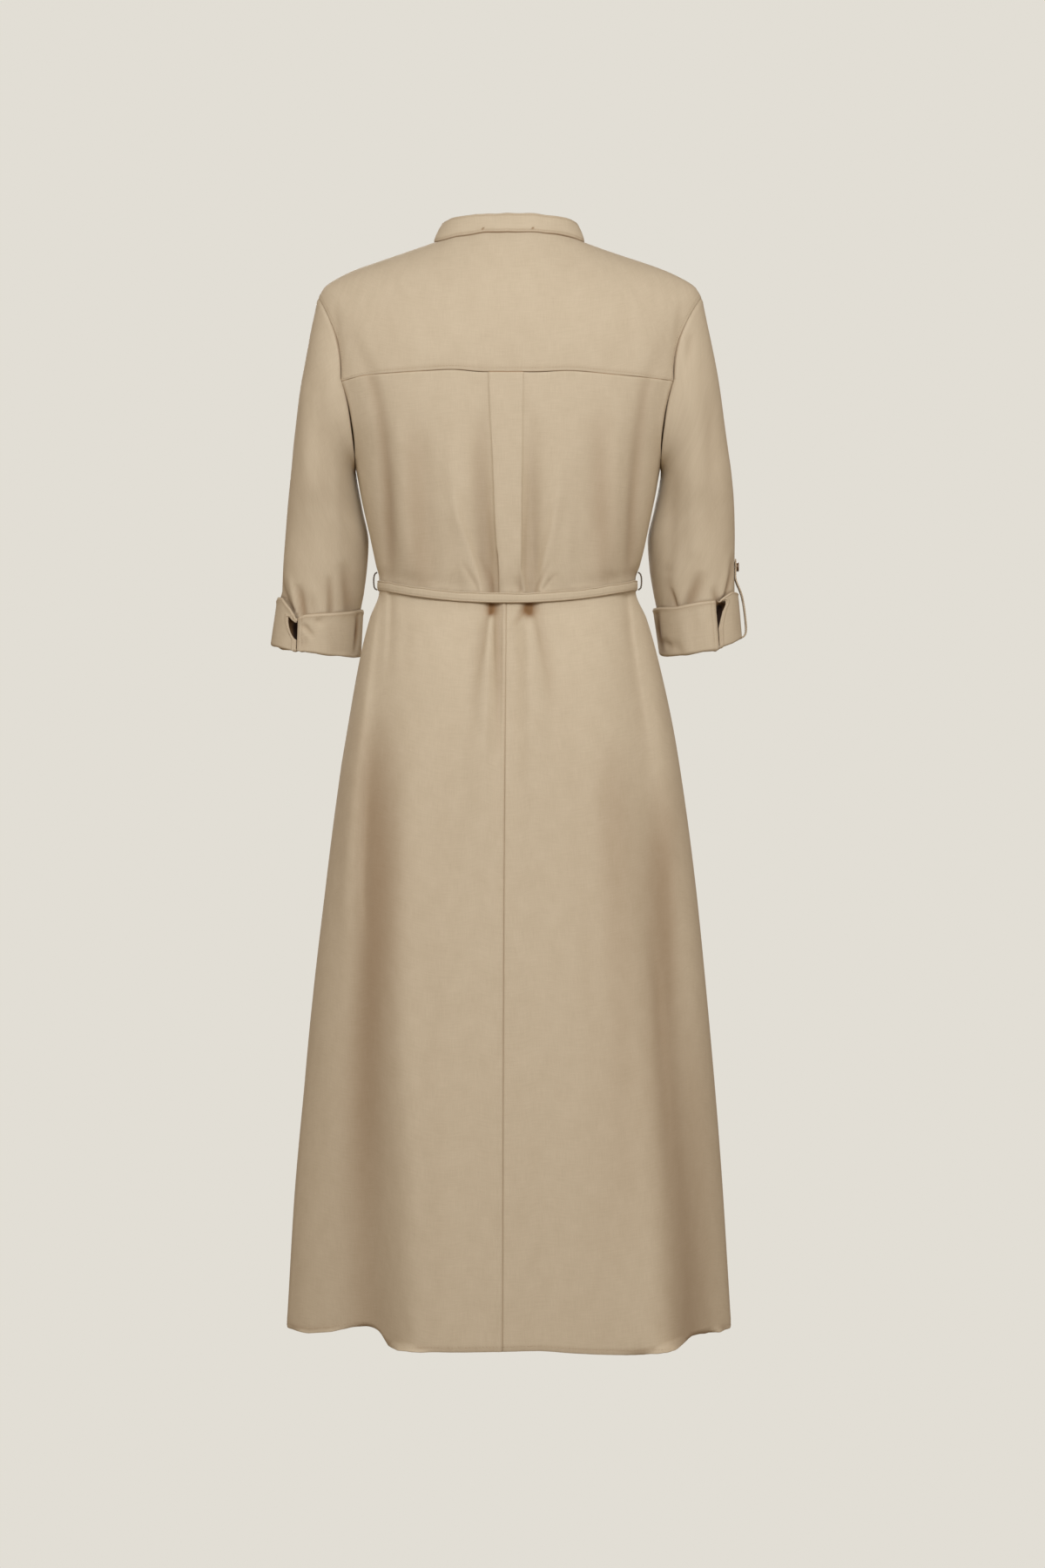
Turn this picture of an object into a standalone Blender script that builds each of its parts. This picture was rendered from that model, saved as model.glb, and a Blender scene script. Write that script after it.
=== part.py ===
"""Belted midi shirt dress in plain-woven cloth, held open as it is worn.

The garment's front faces -Y, the wearer's left is +X and up is +Z. The origin is the middle
of the neck opening at the height of the neck points. A cloth piece is an open surface lofted
through sections, thickened inwards by a Solidify modifier. Sizes are in metres.
"""
import math

import bmesh
import bpy
from mathutils import Vector

# ---------------------------------------------------------------- driving sizes
CLOTH = 0.0012                   # wall of a cloth panel
SEAM = 0.0003                    # gap left at a seam and under a piece that lies on another
HALF_SEAM = SEAM / 2

YOKE_Z = -0.148                  # level of the yoke's back seam
UNDERARM_Z = -0.235
WAIST_Z = -0.367                 # waist seam at the side seams
MID_SKIRT_Z = -0.75
HEM_Z = -1.1705
WAIST_DIP_BACK = 0.017           # how far the waist seam drops at the middle of the back
WAIST_DIP_FRONT = 0.007
HEM_SIDE_RISE = 0.0070           # the flared sides hang a little short of the middle

TIP_LEFT = 0.2034                # shoulder points, where sleeve and yoke meet
TIP_RIGHT = 0.2082
RIDGE_Y = -0.003                 # line along the top of the shoulders
EDGE_X_BACK = 0.1767             # armhole edge at the yoke seam's level
EDGE_X_FRONT = 0.1660

NECK_HALF_WIDTH = 0.0815
NECK_SHIFT = -0.0012             # the neck sits a little to the wearer's right
NECK_BACK = 0.050
NECK_FRONT = 0.088
SHOULDER_SEAM_DEG = -13.0        # arch angle of the seam in front of the shoulder ridge

COLLAR_HEIGHT = 0.0225
COLLAR_GAP = 0.0008              # between the neck edge and the band
COLLAR_LEAN = 0.0085             # how far the top edge of the band leans in
COLLAR_CURL = 1.4                # how much of that lean is in the band's upper part
COLLAR_LAP_DEG = 9.0             # how far the right end laps over the left at the front
COLLAR_LAP_EASE_DEG = (140.0, 30.0)    # where the right end starts to lift, and over what turn

PLACKET_HALF = 0.014
PLACKET_CLOTH = 0.0010
PLACKET_BELOW_COLLAR = 0.12      # share of the first row that the placket leaves to the collar

BELT_HEIGHT = 0.0112
BELT_CLOTH = 0.0012
BELT_OFF = 0.0012                # clearance between the waist and the belt
BELT_PRESS = 0.95                # share of each fold that the belt takes away at the waist
BELT_REACH = 0.026               # and how far above and below it that reaches
KNOT_SIZE = (0.026, 0.012, 0.020)
TAIL_LENGTHS = {"left": 0.330, "right": 0.307}
TAIL_PLACES = (0.0062, 0.024)    # distance of an end from the middle, at the knot and lower down
TAIL_OFF_AT_KNOT = 0.0104        # distance of an end from the skirt's section under the knot
TAIL_OFF = 0.0052                # and further down
LOOP_THREAD_RADIUS = 0.0006
LOOP_REACH = 0.0042
LOOP_ENDS = (0.0145, 0.0095)     # height of its ends above and below the waist seam

CUFF_SLIT_DEG = 56.0             # how far round to the back from the cuff's outer line the slit is
CUFF_SLIT_CLOSED_DEG = 2.0       # half the slit's width at the folded edge
CUFF_SLIT_OPEN_DEG = 20.0        # and what it opens by at the top
TAB_WIDTH = 0.020
TAB_CLOTH = 0.0014
TAB_BUTTON_Z = -0.345
TAB_POINT = 0.009                # from the tab's button to its pointed end
TAB_REACH_INSIDE = 0.022         # how far the tab goes up inside the sleeve again
TAB_BULGE = {"left": 0.0008, "right": 0.0042}     # how far the tab stands off the cuff
TAB_TURN_DEG = {"left": 34.0, "right": 0.0}       # how far round to the front each tab sits

BUTTON_RADIUS = 0.0058
BUTTON_THICK = 0.0024
SLEEVE_BUTTON_RADIUS = 0.0050

# Plan sections of the body. left and right are half widths, back and front are depths, and
# square is the power that rounds the corners: 1 is an ellipse, less is boxier.
SECTION_COLUMNS = ("z", "left", "right", "back", "front", "square")
SECTIONS = (
    (-0.148, 0.1930, 0.1930, 0.1010, 0.1120, 0.80),
    (-0.190, 0.1790, 0.1790, 0.1040, 0.1230, 0.82),
    (-0.235, 0.1640, 0.1645, 0.1050, 0.1290, 0.84),
    (-0.275, 0.1560, 0.1570, 0.1035, 0.1260, 0.86),
    (-0.318, 0.1468, 0.1480, 0.1000, 0.1180, 0.88),
    (-0.345, 0.1408, 0.1412, 0.0975, 0.1110, 0.89),
    (-0.360, 0.1374, 0.1368, 0.0955, 0.1060, 0.90),
    (-0.374, 0.1376, 0.1372, 0.0955, 0.1060, 0.90),
    (-0.402, 0.1477, 0.1490, 0.1040, 0.1110, 0.89),
    (-0.450, 0.1595, 0.1625, 0.1180, 0.1200, 0.88),
    (-0.542, 0.1748, 0.1812, 0.1320, 0.1310, 0.87),
    (-0.683, 0.1945, 0.2000, 0.1430, 0.1430, 0.86),
    (-0.851, 0.2132, 0.2168, 0.1540, 0.1560, 0.85),
    (-1.019, 0.2281, 0.2309, 0.1630, 0.1680, 0.85),
    (-1.168, 0.2368, 0.2393, 0.1700, 0.1780, 0.85),
)

# Height of the shoulder ridge over the distance from the middle.
RIDGE_COLUMNS = ("x", "z")
RIDGE = (
    (0.0000, 0.0285),
    (0.0200, 0.0270),
    (0.0500, 0.0150),
    (0.0820, 0.0000),
    (0.0986, -0.0056),
    (0.1380, -0.0187),
    (0.1636, -0.0280),
    (0.1830, -0.0374),
    (0.1970, -0.0468),
    (0.2034, -0.0580),
)

# Folds of the bodice: where each runs at the yoke seam's level and at the waist, and how far
# it stands in (+) or out (-) there.
BODICE_COLUMNS = ("x_yoke", "x_waist", "in_yoke", "in_waist")
BACK_BODICE_FOLDS = (
    (-0.1420, -0.1290, 0.0000, 0.0050),
    (-0.1180, -0.1080, 0.0000, -0.0030),
    (-0.0900, -0.0800, 0.0000, 0.0030),
    (-0.0560, -0.0480, 0.0000, -0.0040),
    (-0.0270, -0.0255, 0.0010, 0.0085),
    (-0.0172, -0.0165, 0.0006, 0.0030),
    (-0.0162, -0.0140, -0.0012, -0.0030),
    (0.0015, -0.0010, -0.0012, -0.0030),
    (0.0196, 0.0095, -0.0012, -0.0030),
    (0.0206, 0.0118, 0.0006, 0.0030),
    (0.0310, 0.0240, 0.0010, 0.0085),
    (0.0600, 0.0520, 0.0000, -0.0040),
    (0.0900, 0.0790, 0.0000, 0.0030),
    (0.1160, 0.1050, 0.0000, -0.0030),
    (0.1420, 0.1280, 0.0000, 0.0070),
)
FRONT_BODICE_FOLDS = (
    (-0.1250, -0.1180, 0.0000, 0.0050),
    (-0.0950, -0.0900, 0.0000, -0.0050),
    (-0.0650, -0.0600, 0.0000, 0.0050),
    (-0.0380, -0.0340, 0.0000, -0.0020),
    (-PLACKET_HALF, -PLACKET_HALF, 0.0000, 0.0000),
    (0.0000, 0.0000, 0.0000, 0.0000),
    (PLACKET_HALF, PLACKET_HALF, 0.0000, 0.0000),
    (0.0380, 0.0360, 0.0000, -0.0020),
    (0.0650, 0.0640, 0.0000, 0.0050),
    (0.0950, 0.0900, 0.0000, -0.0050),
    (0.1250, 0.1160, 0.0000, 0.0050),
)

# Folds of the skirt, at the waist, halfway down and at the hem.
SKIRT_COLUMNS = ("x_waist", "x_mid", "x_hem", "in_waist", "in_mid", "in_hem")
BACK_SKIRT_FOLDS = (
    (-0.1350, -0.1900, -0.2270, 0.0000, 0.0100, 0.0270),
    (-0.1300, -0.1790, -0.2100, 0.0040, 0.0300, 0.0560),
    (-0.1260, -0.1690, -0.1950, 0.0040, 0.0370, 0.0600),
    (-0.1200, -0.1600, -0.1855, 0.0000, 0.0200, 0.0200),
    (-0.1080, -0.1460, -0.1740, -0.0030, 0.0010, -0.0180),
    (-0.0800, -0.1130, -0.1380, -0.0020, -0.0030, -0.0110),
    (-0.0400, -0.0700, -0.0850, 0.0040, -0.0010, -0.0030),
    (-0.0232, -0.0330, -0.0420, -0.0060, 0.0000, 0.0000),
    (-0.0080, -0.0120, -0.0160, 0.0060, 0.0005, 0.0010),
    (0.0000, 0.0000, 0.0000, 0.0050, 0.0015, 0.0010),
    (0.0070, 0.0120, 0.0160, 0.0040, 0.0005, 0.0010),
    (0.0170, 0.0300, 0.0400, -0.0060, 0.0000, 0.0000),
    (0.0300, 0.0620, 0.0700, 0.0050, -0.0010, -0.0020),
    (0.0760, 0.0950, 0.0960, -0.0020, -0.0030, 0.0000),
    (0.1060, 0.1240, 0.1150, -0.0040, -0.0020, 0.0200),
    (0.1200, 0.1370, 0.1250, -0.0020, 0.0160, 0.0600),
    (0.1270, 0.1470, 0.1360, 0.0030, 0.0410, 0.0980),
    (0.1310, 0.1590, 0.1560, 0.0050, 0.0340, 0.0900),
    (0.1340, 0.1740, 0.1900, 0.0030, 0.0180, 0.0550),
    (0.1360, 0.1870, 0.2240, 0.0000, 0.0080, 0.0270),
)
FRONT_SKIRT_FOLDS = (
    (-0.1300, -0.1780, -0.2100, 0.0000, 0.0080, 0.0250),
    (-0.1180, -0.1540, -0.1750, 0.0040, 0.0220, 0.0420),
    (-0.1000, -0.1300, -0.1450, 0.0000, 0.0020, 0.0040),
    (-0.0740, -0.1000, -0.1180, -0.0040, -0.0060, -0.0100),
    (-0.0500, -0.0700, -0.0850, 0.0050, 0.0100, 0.0180),
    (-0.0300, -0.0400, -0.0460, -0.0010, -0.0010, -0.0010),
    (-PLACKET_HALF, -PLACKET_HALF, -PLACKET_HALF, 0.0000, 0.0000, 0.0000),
    (0.0000, 0.0000, 0.0000, 0.0000, 0.0000, 0.0000),
    (PLACKET_HALF, PLACKET_HALF, PLACKET_HALF, 0.0000, 0.0000, 0.0000),
    (0.0300, 0.0420, 0.0480, -0.0010, -0.0010, -0.0010),
    (0.0540, 0.0760, 0.0900, 0.0050, 0.0120, 0.0200),
    (0.0780, 0.1060, 0.1250, -0.0040, -0.0080, -0.0120),
    (0.1000, 0.1320, 0.1500, 0.0010, 0.0040, 0.0080),
    (0.1180, 0.1540, 0.1760, 0.0040, 0.0220, 0.0460),
    (0.1300, 0.1760, 0.2080, 0.0000, 0.0080, 0.0240),
)

# Rings of the sleeves: distance of the outer and inner edge from the dress's middle, the
# middle of the depth and half of the depth.
SLEEVE_COLUMNS = ("z", "outer", "inner", "mid_y", "half_y")
SLEEVES = {
    "left": (
        (-0.252, 0.2350, 0.1632, -0.022, 0.0590),
        (-0.285, 0.2382, 0.1568, -0.031, 0.0570),
        (-0.318, 0.2408, 0.1505, -0.036, 0.0550),
        (-0.345, 0.2425, 0.1520, -0.038, 0.0535),
        (-0.372, 0.2440, 0.1552, -0.040, 0.0520),
        (-0.395, 0.2452, 0.1595, -0.041, 0.0510),
        (-0.438, 0.2512, 0.1612, -0.042, 0.0512),
    ),
    "right": (
        (-0.252, 0.2417, 0.1645, -0.022, 0.0590),
        (-0.285, 0.2442, 0.1580, -0.031, 0.0570),
        (-0.318, 0.2453, 0.1515, -0.036, 0.0550),
        (-0.345, 0.2453, 0.1528, -0.038, 0.0535),
        (-0.372, 0.2453, 0.1565, -0.040, 0.0520),
        (-0.395, 0.2462, 0.1612, -0.041, 0.0510),
        (-0.438, 0.2515, 0.1668, -0.042, 0.0512),
    ),
}
RING_POWER = 0.92                # rounds a sleeve's and a cuff's ring: 1 is an ellipse
SLEEVE_HEAD_PULL = 0.085         # how strongly the sleeve head leaves the armhole before it drops
SLEEVE_HEAD_SPREAD = 0.55        # how far the sleeve head leans outwards over the armhole's side
SLEEVE_TOP_SPREAD = 0.22         # and over its top
SLEEVE_HEAD_SWING = 0.16         # how far it leans to the back and the front
SLEEVE_FALL_SPREAD = 0.10        # outward lean left where the sleeve starts to hang
SLEEVE_BOTTOM_RISE = 0.0032      # the sleeve ends this far above the cuff's folded edge

# Turned-up cuffs: height and distance from the dress's middle of the top and the folded edge.
CUFF_COLUMNS = ("z_inner", "z_outer", "x_inner", "x_outer")
CUFFS = {
    "left": {"top": (-0.3930, -0.3800, 0.1561, 0.2500), "fold": (-0.4465, -0.4290, 0.1590, 0.2568)},
    "right": {"top": (-0.3925, -0.3740, 0.1572, 0.2488), "fold": (-0.4475, -0.4230, 0.1640, 0.2540)},
}
CUFF_HALF_Y = (0.0572, 0.0550)   # half depth at the top and at the folded edge
CUFF_ROUNDED = 0.93              # below this share the cuff curls in under the sleeve
CUFF_SAG = 1.9                   # power that lets the folded edge sag between its two heights

# Heights of the placket's buttons; the belt's knot sits between the fourth and the fifth.
FRONT_BUTTON_Z = (-0.082, -0.150, -0.218, -0.286, -0.450, -0.535, -0.620, -0.705, -0.790)

SIDES = {"left": 1, "right": -1}

# Rows and columns of the meshes.
WIDE_GAP = 0.021                 # a gap between folds that is wider gets a column more
YOKE_ARM_STEPS = 7
YOKE_BACK_STEPS = 18
YOKE_ROWS = 6
YOKE_CORNER_DEG = 52.0           # neck angle that answers the yoke's armhole corner
FRONT_NECK_SHARE = 0.40          # the front's columns within this share run up to the neck
ARM_ROWS = 4
FRONT_ARM_ROWS = 5
WAIST_ROWS = 8
WAIST_CROWDING = 1.5
BACK_SIDE_STEPS = 3
FRONT_SIDE_STEPS = 4
SKIRT_SIDE_STEPS = 3
SKIRT_ROWS = 13
SKIRT_CROWDING = 1.7
SLEEVE_HEAD_ROWS = 6
SLEEVE_CROWDING = 1.2
SLEEVE_ROWS = 7
CUFF_ROWS = 3
CUFF_STEPS = 22
COLLAR_STEPS = 40
BELT_STEPS = 52
TAIL_STEPS = 14
BUTTON_SIDES = 12
HALVINGS = 30                    # rounds of a search by halving

CLOTH_FINISH = {"color": (0.60, 0.50, 0.36, 1.0), "roughness": 0.75}
BUTTON_FINISH = {"color": (0.33, 0.24, 0.15, 1.0), "roughness": 0.35}


# ---------------------------------------------------------------- small tools
def column(table, names, wanted):
    """One named column of a table."""
    place = names.index(wanted)
    return [row[place] for row in table]


def mix(a, b, share):
    """The value that lies share of the way from a to b."""
    return a + (b - a) * share


def ease(t):
    """Smooth step from 0 to 1."""
    t = min(max(t, 0.0), 1.0)
    return t * t * (3 - 2 * t)


def curve_value(xs, ys, x):
    """Smooth curve through the points (xs, ys), level at turning points, read at x."""
    if xs[0] > xs[-1]:
        xs, ys = xs[::-1], ys[::-1]
    x = min(max(x, xs[0]), xs[-1])
    steps = [(ys[i + 1] - ys[i]) / (xs[i + 1] - xs[i]) for i in range(len(xs) - 1)]
    slopes = [steps[0]]
    for before, after in zip(steps, steps[1:]):
        slopes.append(2 * before * after / (before + after) if before * after > 0 else 0.0)
    slopes.append(steps[-1])
    i = max(k for k in range(len(xs) - 1) if xs[k] <= x)
    width = xs[i + 1] - xs[i]
    t = (x - xs[i]) / width
    low = (1 + 2 * t) * (1 - t) ** 2 * ys[i] + t * (1 - t) ** 2 * width * slopes[i]
    high = t * t * (3 - 2 * t) * ys[i + 1] + t * t * (t - 1) * width * slopes[i + 1]
    return low + high


def power(value, exponent):
    """Power that keeps the sign."""
    return math.copysign(abs(value) ** exponent, value)


# ---------------------------------------------------------------- the body's surface
def section(z):
    """The named sizes of the body's plan section at one height."""
    heights = column(SECTIONS, SECTION_COLUMNS, "z")
    return {
        name: curve_value(heights, column(SECTIONS, SECTION_COLUMNS, name), z)
        for name in SECTION_COLUMNS[1:]
    }


def angle_of(x, sizes):
    """Section angle, from 0 at the middle to a quarter turn at the side, of a distance x."""
    width = sizes["left"] if x >= 0 else sizes["right"]
    return math.copysign(math.asin(min(abs(x) / width, 1.0) ** (1 / sizes["square"])), x)


def section_point(face, angle, push, sizes):
    """Plan point of the section. face is 1 at the back and -1 at the front."""
    width = sizes["left"] if angle >= 0 else sizes["right"]
    depth = sizes["back"] if face > 0 else sizes["front"]
    x = width * power(math.sin(angle), sizes["square"])
    y = face * (depth * abs(math.cos(angle)) ** sizes["square"] - push)
    return x, y


def waist_height(face, angle):
    """Height of the waist seam, which drops towards the middle of back and front."""
    dip = WAIST_DIP_BACK if face > 0 else WAIST_DIP_FRONT
    return WAIST_Z - dip * math.cos(angle) ** 2


def hem_height(angle):
    """Height of the hem."""
    return HEM_Z + HEM_SIDE_RISE * math.sin(angle) ** 2


def bodice_knots(folds, z):
    """(angle, push) of every bodice fold at one height of the sections."""
    share = (YOKE_Z - z) / (YOKE_Z - WAIST_Z)
    sizes = section(z)
    knots = []
    for x_yoke, x_waist, in_yoke, in_waist in folds:
        push = mix(in_yoke, in_waist, ease(share)) * held_in(z)
        knots.append((angle_of(mix(x_yoke, x_waist, share), sizes), push))
    return knots


def skirt_knots(folds, z):
    """(angle, push) of every skirt fold at one height of the sections."""
    heights = (WAIST_Z, MID_SKIRT_Z, HEM_Z)
    sizes = section(z)
    knots = []
    for row in folds:
        x = curve_value(heights, row[:3], z)
        push = curve_value(heights, row[3:], z) * held_in(z)
        knots.append((angle_of(x, sizes), push))
    return knots


def held_in(z):
    """The belt presses folds nearly flat at the waist; this share of a fold is left."""
    return 1 - BELT_PRESS * math.exp(-((z - WAIST_Z) / BELT_REACH) ** 2)


def between_knots(knots, steps):
    """Adds rounded in-between columns to a row of (angle, push) knots."""
    padded = [knots[0], *knots, knots[-1]]
    row = [knots[0]]
    for i in range(1, len(padded) - 2):
        before, here, there, after = padded[i - 1 : i + 3]
        for step in range(1, steps[i - 1] + 1):
            t = step / steps[i - 1]
            angle = mix(here[0], there[0], t)
            bend = here[1] * 2 + (there[1] - before[1]) * t
            bend += (2 * before[1] - 5 * here[1] + 4 * there[1] - after[1]) * t * t
            bend += (3 * here[1] - before[1] - 3 * there[1] + after[1]) * t ** 3
            row.append((angle, bend / 2))
    return row


def wide_gaps_halved(folds):
    """Two columns for each gap between folds that is wide at its foot, one for a narrow one."""
    places = [fold[len(fold) // 2 - 1] for fold in folds]
    return [2 if there - here > WIDE_GAP else 1 for here, there in zip(places, places[1:])]


# ---------------------------------------------------------------- shoulders
def edge_x(face):
    """Distance of the armhole from the middle at the yoke seam's level."""
    return EDGE_X_BACK if face > 0 else EDGE_X_FRONT


def tip_x(share):
    """Distance of the shoulder point on the side that a share lies on."""
    return TIP_LEFT if share >= 0 else TIP_RIGHT


def arch_point(face, share, turn):
    """Point of the arch over the shoulders.

    share runs from -1 to 1 between the armholes. turn is 0 on the ridge and a quarter turn
    at the yoke seam's level.
    """
    sizes = section(YOKE_Z)
    x_low = share * edge_x(face)
    _, y_low = section_point(face, angle_of(x_low, sizes), 0.0, sizes)
    x_top = share * tip_x(share)
    z_top = curve_value(
        column(RIDGE, RIDGE_COLUMNS, "x"), column(RIDGE, RIDGE_COLUMNS, "z"), abs(share) * TIP_LEFT
    )
    x = mix(x_top, x_low, math.sin(turn) ** 2)
    y = RIDGE_Y + (y_low - RIDGE_Y) * math.sin(turn)
    z = z_top - (z_top - YOKE_Z) * (1 - math.cos(turn))
    return Vector((x, y, z))


def neck_place(around):
    """Where the neck edge crosses the arch: face, share and turn, for an angle from the back."""
    x = NECK_HALF_WIDTH * math.sin(around) + NECK_SHIFT
    reach = NECK_BACK if math.cos(around) > 0 else NECK_FRONT
    y = reach * math.cos(around)
    face = 1 if y >= RIDGE_Y else -1
    share = x / tip_x(x)
    turn = 0.0
    for _ in range(HALVINGS):
        sizes = section(YOKE_Z)
        _, y_low = section_point(face, angle_of(share * edge_x(face), sizes), 0.0, sizes)
        turn = math.asin(min(max((y - RIDGE_Y) / (y_low - RIDGE_Y), 0.0), 1.0))
        share = x / mix(tip_x(x), edge_x(face), math.sin(turn) ** 2)
    return face, share, turn


def neck_point(around):
    """Point of the neck edge at an angle from the middle of the back."""
    return arch_point(*neck_place(around))


def shoulder_point(share, signed_turn):
    """Arch point with one turn for both faces: positive at the back, negative in front."""
    face = 1 if signed_turn >= 0 else -1
    return arch_point(face, share, abs(signed_turn))


def neck_angle_at_seam(side):
    """Neck angle, from the middle of the back, where a side's shoulder seam starts."""
    wanted = math.radians(SHOULDER_SEAM_DEG)
    low, high = math.radians(90), math.radians(150)
    for _ in range(HALVINGS):
        middle = (low + high) / 2
        face, _, turn = neck_place(side * middle)
        if face * turn > wanted:
            low = middle
        else:
            high = middle
    return low


SEAM_TURN = math.radians(SHOULDER_SEAM_DEG)
SEAM_TURN_GAP = math.radians(0.36)
NECK_SEAM_ANGLES = {side: neck_angle_at_seam(side) for side in SIDES.values()}


def spaced(start, end, steps, lean=1.0):
    """Values from start to end; lean over 1 crowds them near the start."""
    return [mix(start, end, (k / steps) ** lean) for k in range(steps + 1)]


def waist_shares():
    """Shares of the way from the underarm to the waist, crowded near the waist."""
    return [1 - share for share in spaced(0.0, 1.0, WAIST_ROWS, WAIST_CROWDING)[::-1]][1:]


def yoke_arm_turns():
    """Turns of the yoke's armhole edge, from the shoulder seam to the yoke seam, both included."""
    return spaced(SEAM_TURN, math.pi / 2, YOKE_ARM_STEPS)


def front_arm_turns():
    """Turns of the front's armhole edge above the yoke seam's level."""
    return spaced(SEAM_TURN - SEAM_TURN_GAP, -math.pi / 2, FRONT_ARM_ROWS)


def arm_heights():
    """Section heights between the yoke seam's level and the underarm."""
    return spaced(YOKE_Z, UNDERARM_Z, ARM_ROWS)


def armhole_angle(face, z):
    """Section angle at which a panel stops at the armhole."""
    start = angle_of(edge_x(face), section(YOKE_Z))
    t = min((YOKE_Z - z) / (YOKE_Z - UNDERARM_Z), 1.0)
    return mix(start, math.pi / 2, 1 - math.sqrt(1 - t * t))


def body_point(face, angle, push, z, height):
    """World point of the body: section sizes of z, set at the given height."""
    x, y = section_point(face, angle, push, section(z))
    return Vector((x, y, height))


# ---------------------------------------------------------------- meshes
def collection_for(name):
    """A new collection under the scene's."""
    made = bpy.data.collections.new(name)
    bpy.context.scene.collection.children.link(made)
    return made


def finish_of(name, finish):
    """Principled material with the finish's colour and roughness."""
    material = bpy.data.materials.new(name)
    material.use_nodes = True
    shader = material.node_tree.nodes["Principled BSDF"]
    shader.inputs["Base Color"].default_value = finish["color"]
    shader.inputs["Roughness"].default_value = finish["roughness"]
    shader.inputs["Metallic"].default_value = 0.0
    return material


def grid_mesh(name, rows, ring=False):
    """Open surface through rows of points, closed round when ring is set."""
    mesh = bpy.data.meshes.new(name)
    wide = len(rows[0])
    points = [tuple(point) for row in rows for point in row]
    faces = []
    for r in range(len(rows) - 1):
        for c in range(wide if ring else wide - 1):
            d = (c + 1) % wide
            faces.append((r * wide + c, r * wide + d, (r + 1) * wide + d, (r + 1) * wide + c))
    mesh.from_pydata(points, [], faces)
    return mesh


def add_object(name, mesh, material, group):
    """Object of its own, shaded smooth, with its finish."""
    mesh.materials.append(material)
    mesh.shade_smooth()
    made = bpy.data.objects.new(name, mesh)
    group.objects.link(made)
    return made


def cloth(name, rows, group, finish, ring=False, wall=CLOTH):
    """Cloth piece: the rows are its outer side, and the wall goes inwards."""
    made = add_object(name, grid_mesh(name, rows, ring), finish_of(name, finish), group)
    solid = made.modifiers.new("wall", "SOLIDIFY")
    solid.thickness = wall
    solid.offset = -1.0
    solid.use_rim = True
    return made


def moved_out(rows, distance):
    """The rows moved along their own surface's outward normals."""
    result = []
    for r, row in enumerate(rows):
        line = []
        for c, point in enumerate(row):
            across = row[min(c + 1, len(row) - 1)] - row[max(c - 1, 0)]
            down = rows[min(r + 1, len(rows) - 1)][c] - rows[max(r - 1, 0)][c]
            line.append(point + across.cross(down).normalized() * distance)
        result.append(line)
    return result


# ---------------------------------------------------------------- cloth pieces
def yoke_rows():
    """Yoke from the neck edge out to the armholes and the yoke seam."""
    corner = math.radians(YOKE_CORNER_DEG)
    arm = yoke_arm_turns()
    outer = [(1.0, turn) for turn in arm]
    outer += [(share, math.pi / 2) for share in spaced(1.0, -1.0, YOKE_BACK_STEPS)[1:]]
    outer += [(-1.0, turn) for turn in arm[::-1][1:]]
    inner_angles = spaced(NECK_SEAM_ANGLES[1], corner, YOKE_ARM_STEPS)
    inner_angles += spaced(corner, -corner, YOKE_BACK_STEPS)[1:]
    inner_angles += spaced(-corner, -NECK_SEAM_ANGLES[-1], YOKE_ARM_STEPS)[1:]
    inner = []
    for around in inner_angles:
        face, share, turn = neck_place(around)
        inner.append((share, face * turn))
    rows = []
    for t in spaced(0.0, 1.0, YOKE_ROWS):
        row = []
        for (share_in, turn_in), (share_out, turn_out) in zip(inner, outer):
            point = shoulder_point(mix(share_in, share_out, t), mix(turn_in, turn_out, t))
            if t == 1.0 and turn_out == math.pi / 2:
                point.z += HALF_SEAM
            row.append(point)
        rows.append(row)
    return [row[::-1] for row in rows]


def run_out(knot, edge, steps):
    """Columns from the outermost fold to the panel's side edge, where the fold has died away."""
    angle, push = knot
    return [(mix(angle, edge, k / steps), push * ease(1 - k / steps)) for k in range(1, steps + 1)]


def back_bodice_rows():
    """Back bodice from the yoke seam to the waist, with the box pleat and its folds."""
    steps = wide_gaps_halved(BACK_BODICE_FOLDS)
    rows = []

    def whole_row(z, height_of, edge):
        row = between_knots(bodice_knots(BACK_BODICE_FOLDS, z), steps)
        row = run_out(row[0], -edge, BACK_SIDE_STEPS)[::-1] + row
        row += run_out(row[-1], edge, BACK_SIDE_STEPS)
        return [body_point(1, angle, push, z, height_of(angle)) for angle, push in row]

    for z in arm_heights():
        gap = HALF_SEAM if z == YOKE_Z else 0.0
        rows.append(whole_row(z, lambda angle: z - gap, armhole_angle(1, z)))
    for t in waist_shares():
        z = mix(UNDERARM_Z, WAIST_Z, t)
        rows.append(
            whole_row(
                z,
                lambda angle: mix(UNDERARM_Z, waist_height(1, angle) + HALF_SEAM, t),
                math.pi / 2,
            )
        )
    for row in rows[ARM_ROWS:]:
        row[0].y += HALF_SEAM
        row[-1].y += HALF_SEAM
    return rows


def front_knots(side, z, knots_at, folds):
    """The half of the front's knots on one side, from the middle out."""
    half = [knot for knot, fold in zip(knots_at(folds, z), folds) if fold[0] * side >= 0]
    return half if side > 0 else half[::-1]


def half_row(knots, steps, edge, side_steps):
    """Knots with in-between columns and the run out to the panel's side edge."""
    row = between_knots(knots, steps)
    return row + run_out(row[-1], edge, side_steps)


def front_steps(folds, side):
    """In-between columns for one half of the front."""
    half = [fold for fold in folds if fold[0] * side >= 0]
    half = half if side > 0 else [tuple(-value for value in fold) for fold in half[::-1]]
    return wide_gaps_halved(half)


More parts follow.
